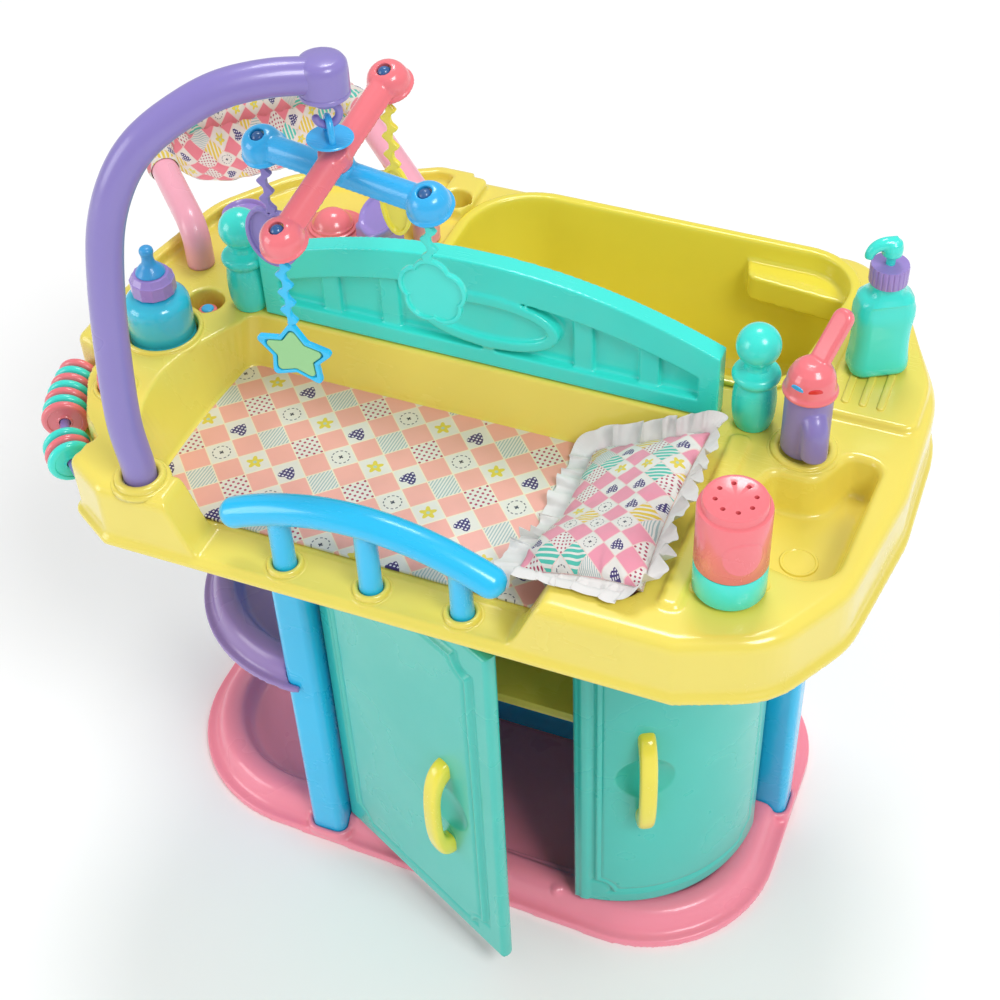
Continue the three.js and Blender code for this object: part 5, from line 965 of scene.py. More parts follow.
# %% Door leaves
def between(front, back):
    """A closed body between two grids of points: both grids, and a strip round their border."""
    rows, columns = front.shape[:2]
    count = rows * columns
    i, j = np.meshgrid(np.arange(rows - 1), np.arange(columns - 1), indexing="ij")
    a = i * columns + j
    quads = np.stack([a, a + columns, a + columns + 1, a + 1], -1).reshape(-1, 4)
    index = np.arange(count).reshape(rows, columns)
    border = np.concatenate([index[:-1, 0], index[-1, :-1], index[:0:-1, -1], index[0, :0:-1]])
    after = np.roll(border, -1)
    sides = np.stack([border, after, after + count, border + count], -1)
    faces = np.vstack([quads, quads[:, ::-1] + count, sides]).tolist()
    return np.vstack([front.reshape(-1, 3), back.reshape(-1, 3)]), faces


def door_leaf(width, dish_s, dish_z, place, strip=0.0):
    """A closed leaf of two grids joined round the edge; place turns (along, out, up) into the room."""
    s, z = np.meshgrid(spaced(0, width, 1.2), spaced(DOOR_LOW, DOOR_HIGH, 1.4), indexing="ij")
    drop = rim_drop(s, z, width)
    raised = strip * np.exp(-(((s - 10) / 4.2) ** 4))
    front = door_relief(s, z, width, dish_s, dish_z) + raised - drop
    return between(place(s, front, z), place(s, drop - DOOR_THICK, z))


open_left = np.array(turn_z(-25.8, *LEFT_HINGE) @ Matrix.Translation((-6, -6, 0)))


def flat_place(s, out, z):
    """Along the open door: out is towards its front."""
    return np.stack([s, -out, z], -1) @ open_left[:3, :3].T + open_left[:3, 3]


def round_place(s, out, z):
    """Round the quarter cylinder: the angle is the distance along it over its radius."""
    angle = math.radians(1.5) + s / ROUND_R
    radius = ROUND_R + out
    return np.stack([ROUND_X + radius * np.sin(angle), ROUND_Y - radius * np.cos(angle), z], -1)


left_leaf = sharpen(solid("left_leaf", door_leaf(203, *LEFT_DISH, flat_place)), 50)
dress(left_leaf, "left_door", "left_door", paint="door")
round_shape = door_leaf(
    math.radians(88) * ROUND_R, math.radians(26) * ROUND_R, RIGHT_DISH_Z, round_place, strip=1.6)
right_leaf = sharpen(solid("right_leaf", round_shape), 50)
dress(right_leaf, "right_door", "right_door", paint="door")
for pin_body, (x, y) in {"left_door": LEFT_HINGE, "right_door": (hinge_x, hinge_y)}.items():
    for pin_name, low, high in (("low", 16, 33), ("high", 406, 423)):
        pin = turned([(0, low), (2.6, low), (3, low + 0.5), (3, high - 0.5), (2.6, high), (0, high)], x,
            y, 24)
        placed(f"{pin_body}_pin_{pin_name}", pin, pin_body, paint="door")
print("points of the doors:", len(left_leaf.data.vertices), len(right_leaf.data.vertices))

# %% Door handles
def bezier(p0, p1, p2, p3, t):
    """Cubic curve through four control points."""
    t = t[:, None]
    shares = (1 - t) ** 3, 3 * (1 - t) ** 2 * t, 3 * (1 - t) * t**2, t**3
    return sum(share * np.array(point) for share, point in zip(shares, (p0, p1, p2, p3)))


def bow_handle():
    """A bowed grip: each ring joins the outer and the inner curve of the bow, and is a soft rectangle
    14 wide."""
    t = np.linspace(0, 1, 25)
    outer = bezier((58, 0), (58, 17), (32, 21), (0, 21), t)
    inner = bezier((38, 0), (32, 11), (17.4, 11), (0, 11), t)
    mirror = np.array([-1, 1])
    outer = np.vstack([outer, outer[-2::-1] * mirror])
    inner = np.vstack([inner, inner[-2::-1] * mirror])
    centre, half = (outer + inner) / 2, (outer - inner) / 2
    angle = np.linspace(0, 2 * np.pi, 32, endpoint=False)
    high = np.sign(np.cos(angle)) * np.abs(np.cos(angle)) ** 0.62
    wide = np.sign(np.sin(angle)) * np.abs(np.sin(angle)) ** 0.62 * 7
    points = centre[:, None] + half[:, None] * high[None, :, None]
    rings = np.stack([np.broadcast_to(wide, points.shape[:2]), -points[..., 1], points[..., 0]], -1)
    return skin(rings)


handle_shape = bow_handle()
left_grip = moved(moved(handle_shape, Matrix.Translation((LEFT_DISH[0], -1.4, LEFT_DISH[1]))),
    Matrix(open_left.tolist()))
placed("left_grip", left_grip, "left_door", "left_door_handle", paint="handle", angle=60)
right_grip = moved(handle_shape, turn_z(27.5, ROUND_X, ROUND_Y)
    @ Matrix.Translation((0, -128.4, RIGHT_DISH_Z)))
placed("right_grip", right_grip, "right_door", "right_door_handle", paint="handle", angle=60)
print("points of a handle:", len(handle_shape[0]))

# %% [markdown]
# ## Headboard, newels and guard rail
# The headboard imitates turned wood in plastic: an arch over square balusters, an oval plaque and two
# turned posts.
# The rail is a bent tube with blown round ends on three pegs.

# %% Headboard
HB_LEFT, HB_RIGHT, HB_FRONT, HB_BACK = -190, 172, -8, 8


def arch_loop(inset, drop, bottom):
    """Outline of the arch: straight sides and a parabola on top."""
    middle, half = (HB_LEFT + HB_RIGHT) / 2, (HB_RIGHT - HB_LEFT) / 2
    x = np.linspace(HB_RIGHT - inset, HB_LEFT + inset, 61)
    z = 538 + 38 * (1 - ((x - middle) / half) ** 2) - drop
    return np.vstack([[(HB_LEFT + inset, bottom), (HB_RIGHT - inset, bottom)], np.stack([x, z], 1)])


def oval_loop(extra):
    """Outline of the plaque."""
    return circle(0, 0, 1, 64) * np.array([56 + extra, 24 + extra]) + np.array([-4, 525])


board_steps = [("DIFFERENCE", upright(arch_loop(15, 27, 497), HB_FRONT - 3, HB_FRONT + 8)),
               ("DIFFERENCE", upright(arch_loop(15, 27, 497), HB_BACK - 4, HB_BACK + 3))]
for x in (-133, -84, 69, 119):
    post = combine("post", block(x - 7.5, x + 7.5, HB_FRONT + 4, HB_FRONT + 11, 483, 576),
        ("INTERSECT", upright(arch_loop(7.5, 13.5, 490), HB_FRONT, HB_BACK)))
    board_steps.append(("UNION", post))
board_steps += [("UNION", upright(oval_loop(0), HB_FRONT - 1.5, HB_FRONT + 11)),
    ("DIFFERENCE", upright(oval_loop(-9), HB_FRONT - 3, HB_FRONT + 2.5))]
board_steps += [("UNION", upright(circle(-4, 525 + side * 27, 4.5, 32), HB_FRONT, HB_FRONT + 11))
    for side in (1, -1)]
board_steps.append(("UNION", block(HB_LEFT, HB_RIGHT, HB_FRONT + 2, HB_BACK - 2, 481.3, 486)))
board = combine("headboard", upright(arch_loop(0, 0, 483), HB_FRONT, HB_BACK), *board_steps)
moulded(board, 1.1, soften=4, keep=60000)
dress(board, "frame", "headboard_panel", paint="teal")

# %% Newels
body_line = spline([(12.6, 481.3), (13.4, 482.6), (15.4, 491), (16, 504), (15.2, 514), (13.6, 520.4)],
    30)
ring_angle = np.linspace(-1.25, 1.5, 14)
ring_line = np.stack([13.2 + 4.3 * np.cos(ring_angle), 526.6 + 4.6 * np.sin(ring_angle)], 1)
ball_angle = np.linspace(-math.acos(9.6 / 16), np.pi / 2, 26)
ball_line = np.stack([16 * np.cos(ball_angle), 552.3 + 16 * np.sin(ball_angle)], 1)
newel_line = np.vstack([[(0, 481.3)], body_line, ring_line, [(9.7, 533.6), (9.3, 536.5)], ball_line])
newel_line[-1, 0] = 0
for newel_name, x in (("left_newel", -207.3), ("right_newel", 196.3)):
    newel = sharpen(solid(newel_name + "_post", turned(newel_line, x, 1, 72)), 45)
    dress(newel, "frame", newel_name, paint="teal")
print("points of the newel profile:", len(newel_line))

# %% Guard rail
share = np.linspace(0, 1, 49)[:, None]
rail_ends = (-112, RAIL_Y, 477), (-17.5, RAIL_Y, 525), (77, RAIL_Y, 477)
rail_line = arched(*np.array(rail_ends), share)
rail_points, rail_sizes = round_ends(rail_line, 11.3)
dress(solid("rail_bar", tube(rail_points, 11.3, 40, rail_sizes)), "frame", "guard_rail", paint="blue")
for index, x in enumerate(RAIL_POSTS):
    top = np.interp(x, rail_line[:, 0], rail_line[:, 2])
    peg = [(0, 437), (8.5, 437), (8.4, 442), (8.1, 446), (8.1, top - 12), (8.6, top - 9),
        (9.4, top - 6), (0, top - 2)]
    placed(f"rail_peg_{index + 1}", turned(peg, x, RAIL_Y, 48), "frame", paint="blue")
print("rail pegs:", len(RAIL_POSTS))

# %% [markdown]
# ## Arm, hook and mobile
# The arm is one bent tube with a cap that hides the pin of the hook.
# The mobile is a cross of two troughs with a dome at each end; each dome hides the knot of a chain.

# %% Arm
ARM_SHARES = [(0, 0), (0, 0.05), (-0.012, 0.188), (0.012, 0.397), (0.05, 0.586), (0.1, 0.726),
    (0.181, 0.832), (0.287, 0.907),
              (0.437, 0.962), (0.612, 1), (0.806, 1.007), (1, 0.992)]
arm_turn = math.radians(38)
ARM_REACH, ARM_RISE = 160, 292
hang_x = ARM_AT[0] + ARM_REACH * math.cos(arm_turn)
hang_y = ARM_AT[1] + ARM_REACH * math.sin(arm_turn)
flat_line = spline(np.array(ARM_SHARES) * [ARM_REACH, ARM_RISE], 140)
arm_line = np.stack([ARM_AT[0] + flat_line[:, 0] * math.cos(arm_turn),
    ARM_AT[1] + flat_line[:, 0] * math.sin(arm_turn), DECK_TOP + flat_line[:, 1]], 1)
arm_line = np.vstack([[(*ARM_AT, 461.6), (*ARM_AT, 470)], arm_line])
dress(solid("arm_tube", tube(arm_line, 11.75, 48)), "mobile_arm", "mobile_arm", paint="purple")
cap_line = [(0, 757.5), (15, 757.5), (16, 758.4), (16, 760.6), (15.6, 761), (15.6, 761.6), (16, 762),
    (16, 776), (15.5, 779.6), (13.6, 782.4), (10.5, 783.8), (0, 784)]
placed("arm_cap", turned(cap_line, hang_x, hang_y, 64), "mobile_arm", paint="purple")
print("points of the arm:", len(arm_line))

# %% Hook and hanger
def hanging(reach, turn, z):
    """Points in an upright plane through the hook's axis, that stands at the angle turn."""
    return np.stack([hang_x + reach * math.cos(turn), hang_y + reach * math.sin(turn), z], 1)


hook_angle = np.radians(90 - np.linspace(0, 256, 40))
hook_line = hanging(7.5 * np.cos(hook_angle), arm_turn, 744 + 7.5 * np.sin(hook_angle))
hook_points, hook_sizes = round_ends(hook_line, 2.6, 6)
dress(solid("hook_ring", tube(hook_points, 2.6, 24, hook_sizes)), "mobile_hanger", "mobile_hook",
    paint="purple")
stem_line = [(0, 750), (2.6, 750), (7, 751.4), (7.56, 752.4), (7.56, 756.4), (7, 757.2), (4.2, 757.2),
    (4.2, 769), (0, 769)]
placed("hook_stem", turned(stem_line, hang_x, hang_y, 40), "mobile_hanger", paint="purple")
arch_angle = np.linspace(0, np.pi, 36)
arch_line = hanging(8.5 * np.cos(arch_angle), arm_turn + np.pi / 2, 726.6 + 15 * np.sin(arch_angle))
dress(solid("hanger_arch", tube(arch_line, 2.2, 24)), "mobile_hanger", "hanger_loop", paint="bar_blue")
ball_turn = np.linspace(-np.pi / 2, 0.6, 12)
plate_line = np.vstack([np.stack([4 * np.cos(ball_turn), 723.6 + 4 * np.sin(ball_turn)], 1),
    [(3.6, 725.6), (14.3, 725.6), (15, 726.2), (15, 727), (14.4, 727.6), (0, 727.6)]])
plate_line[0, 0] = 0
placed("hanger_plate", turned(plate_line, hang_x, hang_y, 64), "mobile_hanger", paint="bar_blue")
print("points of the hook:", len(hook_line))

# %% Mobile cross
mobile_frame = turn_z(79.9, hang_x, hang_y, 719) @ Matrix.Rotation(math.radians(-21.3), 4, "Y")
along_x = Matrix.Rotation(math.pi / 2, 4, "Z")


def trough(width, height, bottom, reach):
    """Half a round bar along X: an arch extruded from one end to the other."""
    angle = np.linspace(0, np.pi, 25)
    return moved(upright(np.stack([width / 2 * np.cos(angle), bottom + height * np.sin(angle)], 1),
        -reach, reach), along_x)


def dome(radius, height, bottom, x):
    """A dome over a short skirt: its radius falls off as a soft quarter ellipse."""
    angle = np.linspace(0, np.pi / 2, 16)
    crown = radius - 1.7
    line = np.stack([crown * np.cos(angle) ** 0.66,
        bottom + height * 0.2 + height * 0.8 * np.sin(angle)], 1)
    line[-1, 0] = 0
    brim = [(0, bottom), (radius, bottom), (radius, bottom + 1.8), (crown, bottom + 2.6)]
    return turned(np.vstack([brim, line]), x, 0, 48)


def mobile_bar(name, lift, hub_low, hub_high):
    """One bar of the cross: a trough with a lip, a dome at each end and a hub in the middle, hollow
    from below."""
    low = lift - 11
    steps = [("UNION", block(-65, 65, -10, 10, low, low + 2.2)),
        ("UNION", slab(circle(0, 0, 10, 40), hub_low, hub_high))]
    steps += [("UNION", dome(16, 17, low - 4, x)) for x in (-65, 65)]
    steps.append(("DIFFERENCE", trough(14, 8.8, low - 3, 65)))
    steps += [("DIFFERENCE", dome(13.8, 11.8, low - 7, x)) for x in (-65, 65)]
    steps += [("DIFFERENCE", slab(circle(x, 0, 4.6, 32), low - 3, low + 13)) for x in (-65, 65)]
    steps += [("DIFFERENCE", slab(circle(x, 0, 4.9, 32), low + 6, low + 16)) for x in (-65, 65)]
    return combine(name, trough(18.5, 11, low, 65), *steps)


print("half a bar:", len(trough(18.5, 11, -11, 65)[0]), "points")

# %% Cross bars
pink_bar = mobile_bar("pink_cross_bar", 0, -15, -2.2)
carried(pink_bar, mobile_frame)
moulded(pink_bar, 0.8, soften=3)
dress(pink_bar, "mobile_cross", "pink_bar", paint="pink")
blue_bar = mobile_bar("blue_cross_bar", -16, -27, -15.3)
carried(blue_bar, mobile_frame @ Matrix.Rotation(math.pi / 2, 4, "Z"))
moulded(blue_bar, 0.8, soften=3)
dress(blue_bar, "mobile_cross", "blue_bar", paint="bar_blue")
print("cross:", len(pink_bar.data.polygons), len(blue_bar.data.polygons))

# %% Pendants
PLATE_PIVOTS = {
    "star": ((-72.48, -160.76, 694.47), 8, 62, 54, "blue"),
    "oval": ((-51.24, -41.52, 741.69), 8, 24, 56, "handle"),
    "cloud": ((3.16, -106.82, 703.18), 5, 49, 52, "teal"),
    "heart": ((-124.83, -84.02, 703.18), 6, 42, 50, "purple"),
}


def plate_loop(kind, width, height, steps=160):
    """Outline of a plate: the radius of an oval times a share that makes points, scallops or a heart's
    dip."""
    angle = math.pi / 2 + np.linspace(0, 2 * np.pi, steps, endpoint=False)
    turn = angle - math.pi / 2
    share = {
        "star": 0.74 + 0.26 * np.cos(5 * turn) ** 3,
        "cloud": 0.84 + 0.16 * np.abs(np.cos(2.5 * turn)) ** 0.7,
        "heart": 0.98 + 0.02 * np.cos(2 * turn) - 0.26 * np.exp(-(np.sin(turn / 2) / 0.16) ** 2),
        "oval": 1 + 0 * turn,
    }[kind]
    return np.stack([width / 2 * share * np.cos(angle), height / 2 * share * np.sin(angle)], 1)


def chain_loop(links, top):
    """Outline of a flat wavy chain: its width swells once a link and its middle line sways every other
    link."""
    down = np.linspace(0, 7 * links, 14 * links + 1)
    half = 2.5 + 1.1 * np.sin(np.pi * down / 7) ** 2
    lean = -2.2 * np.sin(np.pi * down / 7)
    return np.vstack([np.stack([lean - half, top - down], 1),
        np.stack([lean + half, top - down], 1)[::-1]])


def plate_outline(kind, width, height, inset):
    """A plate's outline drawn in by inset; the star has ten corners, rounded more at its points."""
    if kind != "star":
        return plate_loop(kind, width - 2 * inset, height - 2 * inset)
    angle = np.pi / 2 + np.arange(10) * np.pi / 5
    radius = np.where(np.arange(10) % 2 == 0, 1.0, 0.56) - inset / 22 * np.where(np.arange(10) % 2 == 0,
        1.35, 0.75)
    corners = np.stack([width / 2 * radius * np.cos(angle), height / 2 * radius * np.sin(angle)], 1)
    return rounded_loop([(x, y, 3.0 if i % 2 == 0 else 2.0) for i, (x, y) in enumerate(corners)])


for kind, (pivot, links, width, height, paint) in PLATE_PIVOTS.items():
    top = pivot[2] - 17
    crest = plate_loop(kind, width, height)[0][1] if kind != "heart" else height / 2 * 0.86
    middle = top - links * 7 - crest + 1.75
    place = lambda inset: plate_outline(kind, width, height, inset) + np.array([0, middle])
    pendant = combine(f"{kind}_plate", upright(place(0), -2, 2),
        ("DIFFERENCE", upright(place(3), -4, 0.4)),
                      ("UNION", upright(chain_loop(links, top), -1.8, 1.8)),
                      ("UNION", turned([(0, top - 7), (1.1, top - 7), (1.1, pivot[2] - 2),
                      (0, pivot[2] - 2)], steps=16)))
    pendant.data.transform(Matrix.Translation([value * MM for value in (pivot[0], pivot[1], 0)]))
    moulded(pendant, 0.55, soften=2)
    dress(pendant, kind, f"{kind}_pendant", paint=paint)
    angle = np.linspace(-np.pi / 2, np.pi / 2, 20)
    # Each stud fills its dome's hole; its dark paint is partly painted shade of that hole.
    stud = turned(np.stack([4.6 * np.abs(np.cos(angle)), pivot[2] - 1.2 + 4.6 * np.sin(angle)], 1),
        pivot[0], pivot[1], 32)
    placed(f"{kind}_stud", stud, kind, paint="stud")
    if kind == "star":
        insert = combine("star_face", upright(place(3.8), -2, 0.1))
        insert.data.transform(Matrix.Translation([value * MM for value in (pivot[0], pivot[1], 0)]))
        moulded(insert, 0.5, soften=3)
        dress(insert, kind, "star_insert", paint="green")
print("pendants:", list(PLATE_PIVOTS))

# %% Beads and rod
rod_points, rod_sizes = round_ends(rod_line[6:-6:8], 3.6)
dress(solid("bead_axle", tube(rod_points, 3.6, 24, rod_sizes)), "frame", "bead_rod", paint="purple")
bead_angle = np.radians(np.linspace(-90, 90, 9))
bead_profile = np.vstack([[(4.4, -3.4), (5.4, -3.4), (6, -2.6), (12.4, -2.6), (13, -3.4)],
                          np.stack([14.2 + 3.3 * np.cos(bead_angle), 3.4 * np.sin(bead_angle)], 1),
                          [(13, 3.4), (12.4, 2.6), (6, 2.6), (5.4, 3.4), (4.4, 3.4)]])
along, number = bead_low, 1
for kind in ("pink", "teal", "pink", "teal", "pink", "teal", "pink", "gap", "teal", "pink", "teal"):
    if kind == "gap":
        along += 22
        continue
    here, ahead = rod_at(along + 4.1), rod_at(along + 4.6)
    turn = Vector((0, 0, 1)).rotation_difference(Vector(ahead - here)).to_matrix().to_4x4()
    bead = solid(f"bead_disc_{number:02d}", moved(ring(bead_profile, 0, 0, 64),
        Matrix.Translation(here) @ turn))
    dress(sharpen(bead, 50), f"bead_{number:02d}", f"bead_{number:02d}", paint=kind)
    along, number = along + 8.2, number + 1
print("beads:", number - 1)

# %% [markdown]
# ## Things that stand on the deck
# Bottles, can, cup and dish are turned bodies; the lotion bottle keeps a soft rectangular section up to
# its neck.
# Everything that can be pressed or turned rides its own body.

# %% Knob and buttons
foot = 483.8
grip_angle = np.linspace(0, 2 * np.pi, 240, endpoint=False)


def fluted(profile, x, y, flutes, depth, low, high):
    """A turned body whose radius dips flutes times round it between two heights: radius less depth
    times a sharpened cosine."""
    profile = np.asarray(profile, float)
    radius, height = profile.T
    strength = depth * ((height >= low) & (height <= high))
    dip = np.maximum(np.cos(flutes * grip_angle), 0) ** 2
    r = radius[:, None] - strength[:, None] * dip
    return skin(np.stack([x + r * np.cos(grip_angle), y + r * np.sin(grip_angle),
        np.broadcast_to(height[:, None], r.shape)], -1))


knob_line = [(0, foot), (12.2, foot), (12.6, foot + 0.6), (12.6, foot + 2), (12.5, foot + 2.6),
    (12.2, foot + 9), (11.4, foot + 10.4), (10, foot + 11), (7, foot + 10.6), (0, foot + 10.4)]
placed("knob_grip", fluted(knob_line, *KNOB_AT, 12, 1.5, foot + 2.5, foot + 10.5), "dial_knob",
    "dial_knob", paint="pink", angle=50)
pointer = solid("knob_pointer", terrace(rectangle(-256.4, -253.6, -121, -112.6, 1.3),
    [(0, foot + 9), (0, foot + 11.6), (-0.6, foot + 12.2)]))
dress(sharpen(pointer), "dial_knob", paint="pink")
button_line = [(0, 449.5), (3.5, 449.5), (3.5, 460.3), (9.5, 460.3), (9.8, 460.9), (9.5, 461.6),
    (8.2, 461.9), (8, 469.4), (7.2, 471.4), (5.2, 472.3), (0, 472.3)]
placed("pocket_push", turned(button_line, *POCKET_AT, 48), "pocket_button", "pocket_button",
    paint="pink")

cap = turned([(0, 472), (5, 472), (5, 472.8), (4.2, 473.6), (0, 474)], *POCKET_AT, 32)
placed("pocket_centre", cap, "pocket_button", paint="bar_blue")
print("points of the knob profile:", len(knob_line))

# %% Feeding bottle
body_line = [(0, 467.3), (21.6, 467.3), (23.6, 468.2), (24.8, 470.6), (25, 474), (25, 480.6),
    (24.5, 481.4), (24.5, 482.4), (25, 483.2), (25, 506),
             (24.7, 509.4), (23.4, 512.6), (20.6, 515.4), (16.2, 517.4), (12.4, 518.4), (11, 519.3),
             (0, 519.3)]
placed("bottle_tub", turned(body_line, *BOTTLE_AT, 72), "frame", "bottle_body", paint="clear_blue",
    angle=50)
facets = circle(*BOTTLE_AT, 17, 12)
facet_shape = terrace(facets, [(-1.2, 519.6), (0, 520.6), (0, 531.4), (-0.8, 532), (-3.2, 536.2),
    (-4, 536.6)])
placed("bottle_ring", facet_shape, "frame", "bottle_collar", paint="lilac", angle=12)
teat_line = spline([(11.2, 537.2), (10.6, 538.6), (8.6, 541.4), (5.6, 545), (4.5, 549.5), (4.9, 553.4),
    (5.4, 555.6), (4.8, 558), (3, 559.5), (0.1, 560)], 40)
teat_line = np.vstack([[(0, 536.9), (11.2, 536.9)], teat_line])
teat_line[-1, 0] = 0
placed("bottle_nipple", turned(teat_line, *BOTTLE_AT, 48), "frame", "bottle_teat", paint="teat",
    angle=50)
print("points of the teat profile:", len(teat_line))

# %% Powder can
can_foot = [(0, 483.1), (22.6, 483.1), (23.8, 483.6), (24.5, 485), (24.5, 507), (24.2, 507.8),
    (0, 507.8)]
placed("can_cup", turned(can_foot, *CAN_AT, 96), "frame", "can_base", paint="teal", angle=50)
can_line = [(0, 508.1), (24, 508.1), (24.5, 508.7), (24.5, 554.2), (24, 555.9), (22.8, 556.6),
    (21.8, 557), (21.5, 557.8), (21.5, 560.8), (20.9, 562.2),
            (19.6, 562.8), (18.6, 562.4), (0, 562.2)]
hole_angle = 2 * np.pi * (np.arange(8) + 0.5) / 8
hole_places = zip(CAN_AT[0] + 13 * np.cos(hole_angle), CAN_AT[1] + 13 * np.sin(hole_angle))
can_holes = [("DIFFERENCE", slab(circle(x, y, 1.7, 20), 558, 570)) for x, y in hole_places]
can_top = combine("can_can", turned(can_line, *CAN_AT, 96), *can_holes)
dress(sharpen(can_top, 40), "frame", "can_body", paint="pink")


def label_patch(name, body, angle, width, low, high, radius, x, y, paint):
    """A raised oval place for a label, wrapped on a cylinder: its thickness falls to nothing at the
    oval's edge."""
    u, v = np.meshgrid(np.linspace(-1, 1, 41), np.linspace(-1, 1, 41), indexing="ij")
    squash = np.sqrt(np.maximum(1 - v**2 / 2, 0)), np.sqrt(np.maximum(1 - u**2 / 2, 0))
    du, dv = u * squash[0], v * squash[1]
    reach = radius + 0.7 * ease((1 - np.hypot(du, dv)) * 8) - 0.15
    turn = math.radians(angle) + du * width / 2 / radius
    height = (low + high) / 2 + dv * (high - low) / 2
    front = np.stack([x + reach * np.cos(turn), y + reach * np.sin(turn), height], -1)
    back = np.stack([x + (radius - 2) * np.cos(turn), y + (radius - 2) * np.sin(turn), height], -1)
    return dress(sharpen(solid(name, between(front, back))), body, paint=paint, named=False)


label_patch("can_label", "frame", -58, 30, 516, 546, 24.6, *CAN_AT, "pink")
print("holes of the can:", len(can_holes))

# %% Lotion bottle
section = rectangle(-22, 22, -15, 15, 11, 6)


def toward_round(share, radius):
    """The section blended towards a circle of that radius."""
    unit = section / np.linalg.norm(section, axis=1)[:, None]
    return section * (1 - share) + unit * radius * share


lotion_place = turn_z(30, *LOTION_AT)
lotion_rings = [(-3.5, 487.8), (-1.2, 488.8), (0, 491.4), (0, 497), (-0.9, 503), (-1.5, 512),
    (-1.5, 524), (-0.6, 533), (0, 538), (-0.3, 545), (-1.8, 549.4)]
lotion_sections = [(grow(section, offset), z) for offset, z in lotion_rings]
lotion_sections += [(toward_round(0.35, 16), 552.8), (toward_round(0.75, 14), 556),
    (toward_round(1, 12.4), 559.4), (toward_round(1, 12), 565.8)]
placed("lotion_flask", moved(loft(lotion_sections), lotion_place), "frame", "lotion_body", paint="teal",
    angle=50)
collar_line = [(0, 566.1), (13.6, 566.1), (14, 566.7), (14, 579.4), (13.4, 581), (12, 581.1),
    (0, 581.1)]
placed("lotion_cap", fluted(collar_line, *LOTION_AT, 22, 0.8, 566.5, 580), "frame", "lotion_collar",
    paint="lilac", angle=50)
spout_line = spline([(3, 0, 598), (-6, 0, 598.6), (-12, 0, 596.8), (-15.6, 0, 592.6), (-16.6, 0, 588)],
    30)
pump = combine("lotion_push", turned([(0, 560), (3.4, 560), (3.4, 589), (6.6, 589.1), (7.4, 590),
    (7.6, 595), (6.6, 599.6), (4, 601.8), (0, 602.1)], steps=40),
               ("UNION", tube(spout_line, 4, 24, np.linspace(1.35, 0.8, 30))))
carried(pump, lotion_place)
moulded(pump, 0.7, soften=3)
dress(pump, "lotion_pump", "lotion_pump", paint="teal")

# %% Faucet
def from_faucet(angle, reach, z):
    """A point at an angle and a distance from the faucet's axis."""
    turn = math.radians(angle)
    return FAUCET_AT[0] + reach * math.cos(turn), FAUCET_AT[1] + reach * math.sin(turn), z


SPOUT = [(6, 512), (12, 518.6), (17.4, 513), (19.4, 502), (19.6, 491.6)]
column = combine(
    "faucet_post", turned([(0, 484.3), (17, 484.3), (17, 533.8), (16.2, 535.3), (0, 535.3)], *FAUCET_AT,
    64),
    ("UNION", tube(spline([from_faucet(-58, *place) for place in SPOUT], 40), 9.6, 40)))
moulded(column, 0.9, soften=4)
dress(column, "frame", "faucet_column", paint="purple")
cap_line = [(0, 535.6), (19, 535.6), (19.6, 536.6), (19.4, 538.4), (18.2, 539.6), (17.7, 541.6),
    (17.3, 546), (16.2, 551), (13.6, 556), (9.6, 559.8), (5, 561.4), (0, 561.6)]
lever_shape = terrace(rectangle(-6, 50, -7.5, 7.5, 7.2), [(-2, -4.5), (0, -2.5), (0, 2.5), (-2, 4.5)])
lever_place = turn_z(62, *FAUCET_AT, 549.9) @ Matrix.Rotation(math.radians(-52), 4, "Y")
lever = combine("faucet_handle", turned(cap_line, *FAUCET_AT, 64),
    ("UNION", moved(lever_shape, lever_place)), ("DIFFERENCE", block(180, 300, -60, 40, 480, 535.6)))
moulded(lever, 0.8, soften=4)
dress(lever, "faucet_lever", "faucet_lever", paint="pink")
for mark, angle, paint in (("cold_mark", -112, "bar_blue"), ("warm_mark", -66, "mark_red")):
    label_patch(mark, "faucet_lever", angle, 11, 544, 550, 16.6, *FAUCET_AT, paint)

# %% Feeding corner
cup_line = [(0, 481.3), (16.6, 481.3), (17.2, 482), (18.2, 484.4), (18.9, 487.4), (19, 494.6),
    (18.4, 495.3), (17.2, 495.3), (16.6, 494.6), (15.4, 492.6), (0, 492.3)]
placed("toy_cup", turned(cup_line, -259, 90, 72), "frame", "play_cup", paint="lilac", angle=45)
dish_line = [(0, 481.3), (28.4, 481.3), (29, 482), (29, 483.6), (28.4, 484.4), (20.8, 485.8),
    (20, 486.4), (19.8, 488.4), (19, 488.8), (17.6, 488.9), (17.2, 490.8),
             (16.4, 491.2), (15.6, 493), (13.6, 496.4), (9.6, 499.8), (5, 501.8), (0, 502.3)]
placed("toy_dish", turned(dish_line, -188, 106, 96), "frame", "play_dish", paint="pink", angle=40)


def window(extra):
    """Outline of the dial's window: straight sides under a half circle."""
    angle = np.linspace(0, np.pi, 17)
    top = np.stack([(6 + extra) * np.cos(angle), 490.3 + (6 + extra) * np.sin(angle)], 1)
    return np.vstack([[(-6 - extra, 484.3 - extra), (6 + extra, 484.3 - extra)], top])


head_place = Matrix.Translation((0, 0, 521.3)) @ Matrix.Rotation(math.radians(38), 4, "X")
head = moved(turned([(0, -12), (15, -12), (18.6, -9), (20, -5), (20, -0.8), (19.2, 0), (17, 0),
    (16.2, -0.6), (15.8, -2), (0, -2)], steps=64), head_place)
unit = combine("dial_block", terrace(rectangle(-16.5, 16.5, -15, 15, 6),
    [(0, 481.3), (0, 508.3), (-3, 511.3)]), ("UNION", head),
    ("DIFFERENCE", upright(window(0.4), -18, -1.8)))
carried(unit, turn_z(-33, -138, 92))
moulded(unit, 1.0, soften=4)
dress(unit, "frame", "dial_unit", paint="lilac")
softened_copy("dial_button", "dial_push", 0.8, "dial_button", "bar_blue")

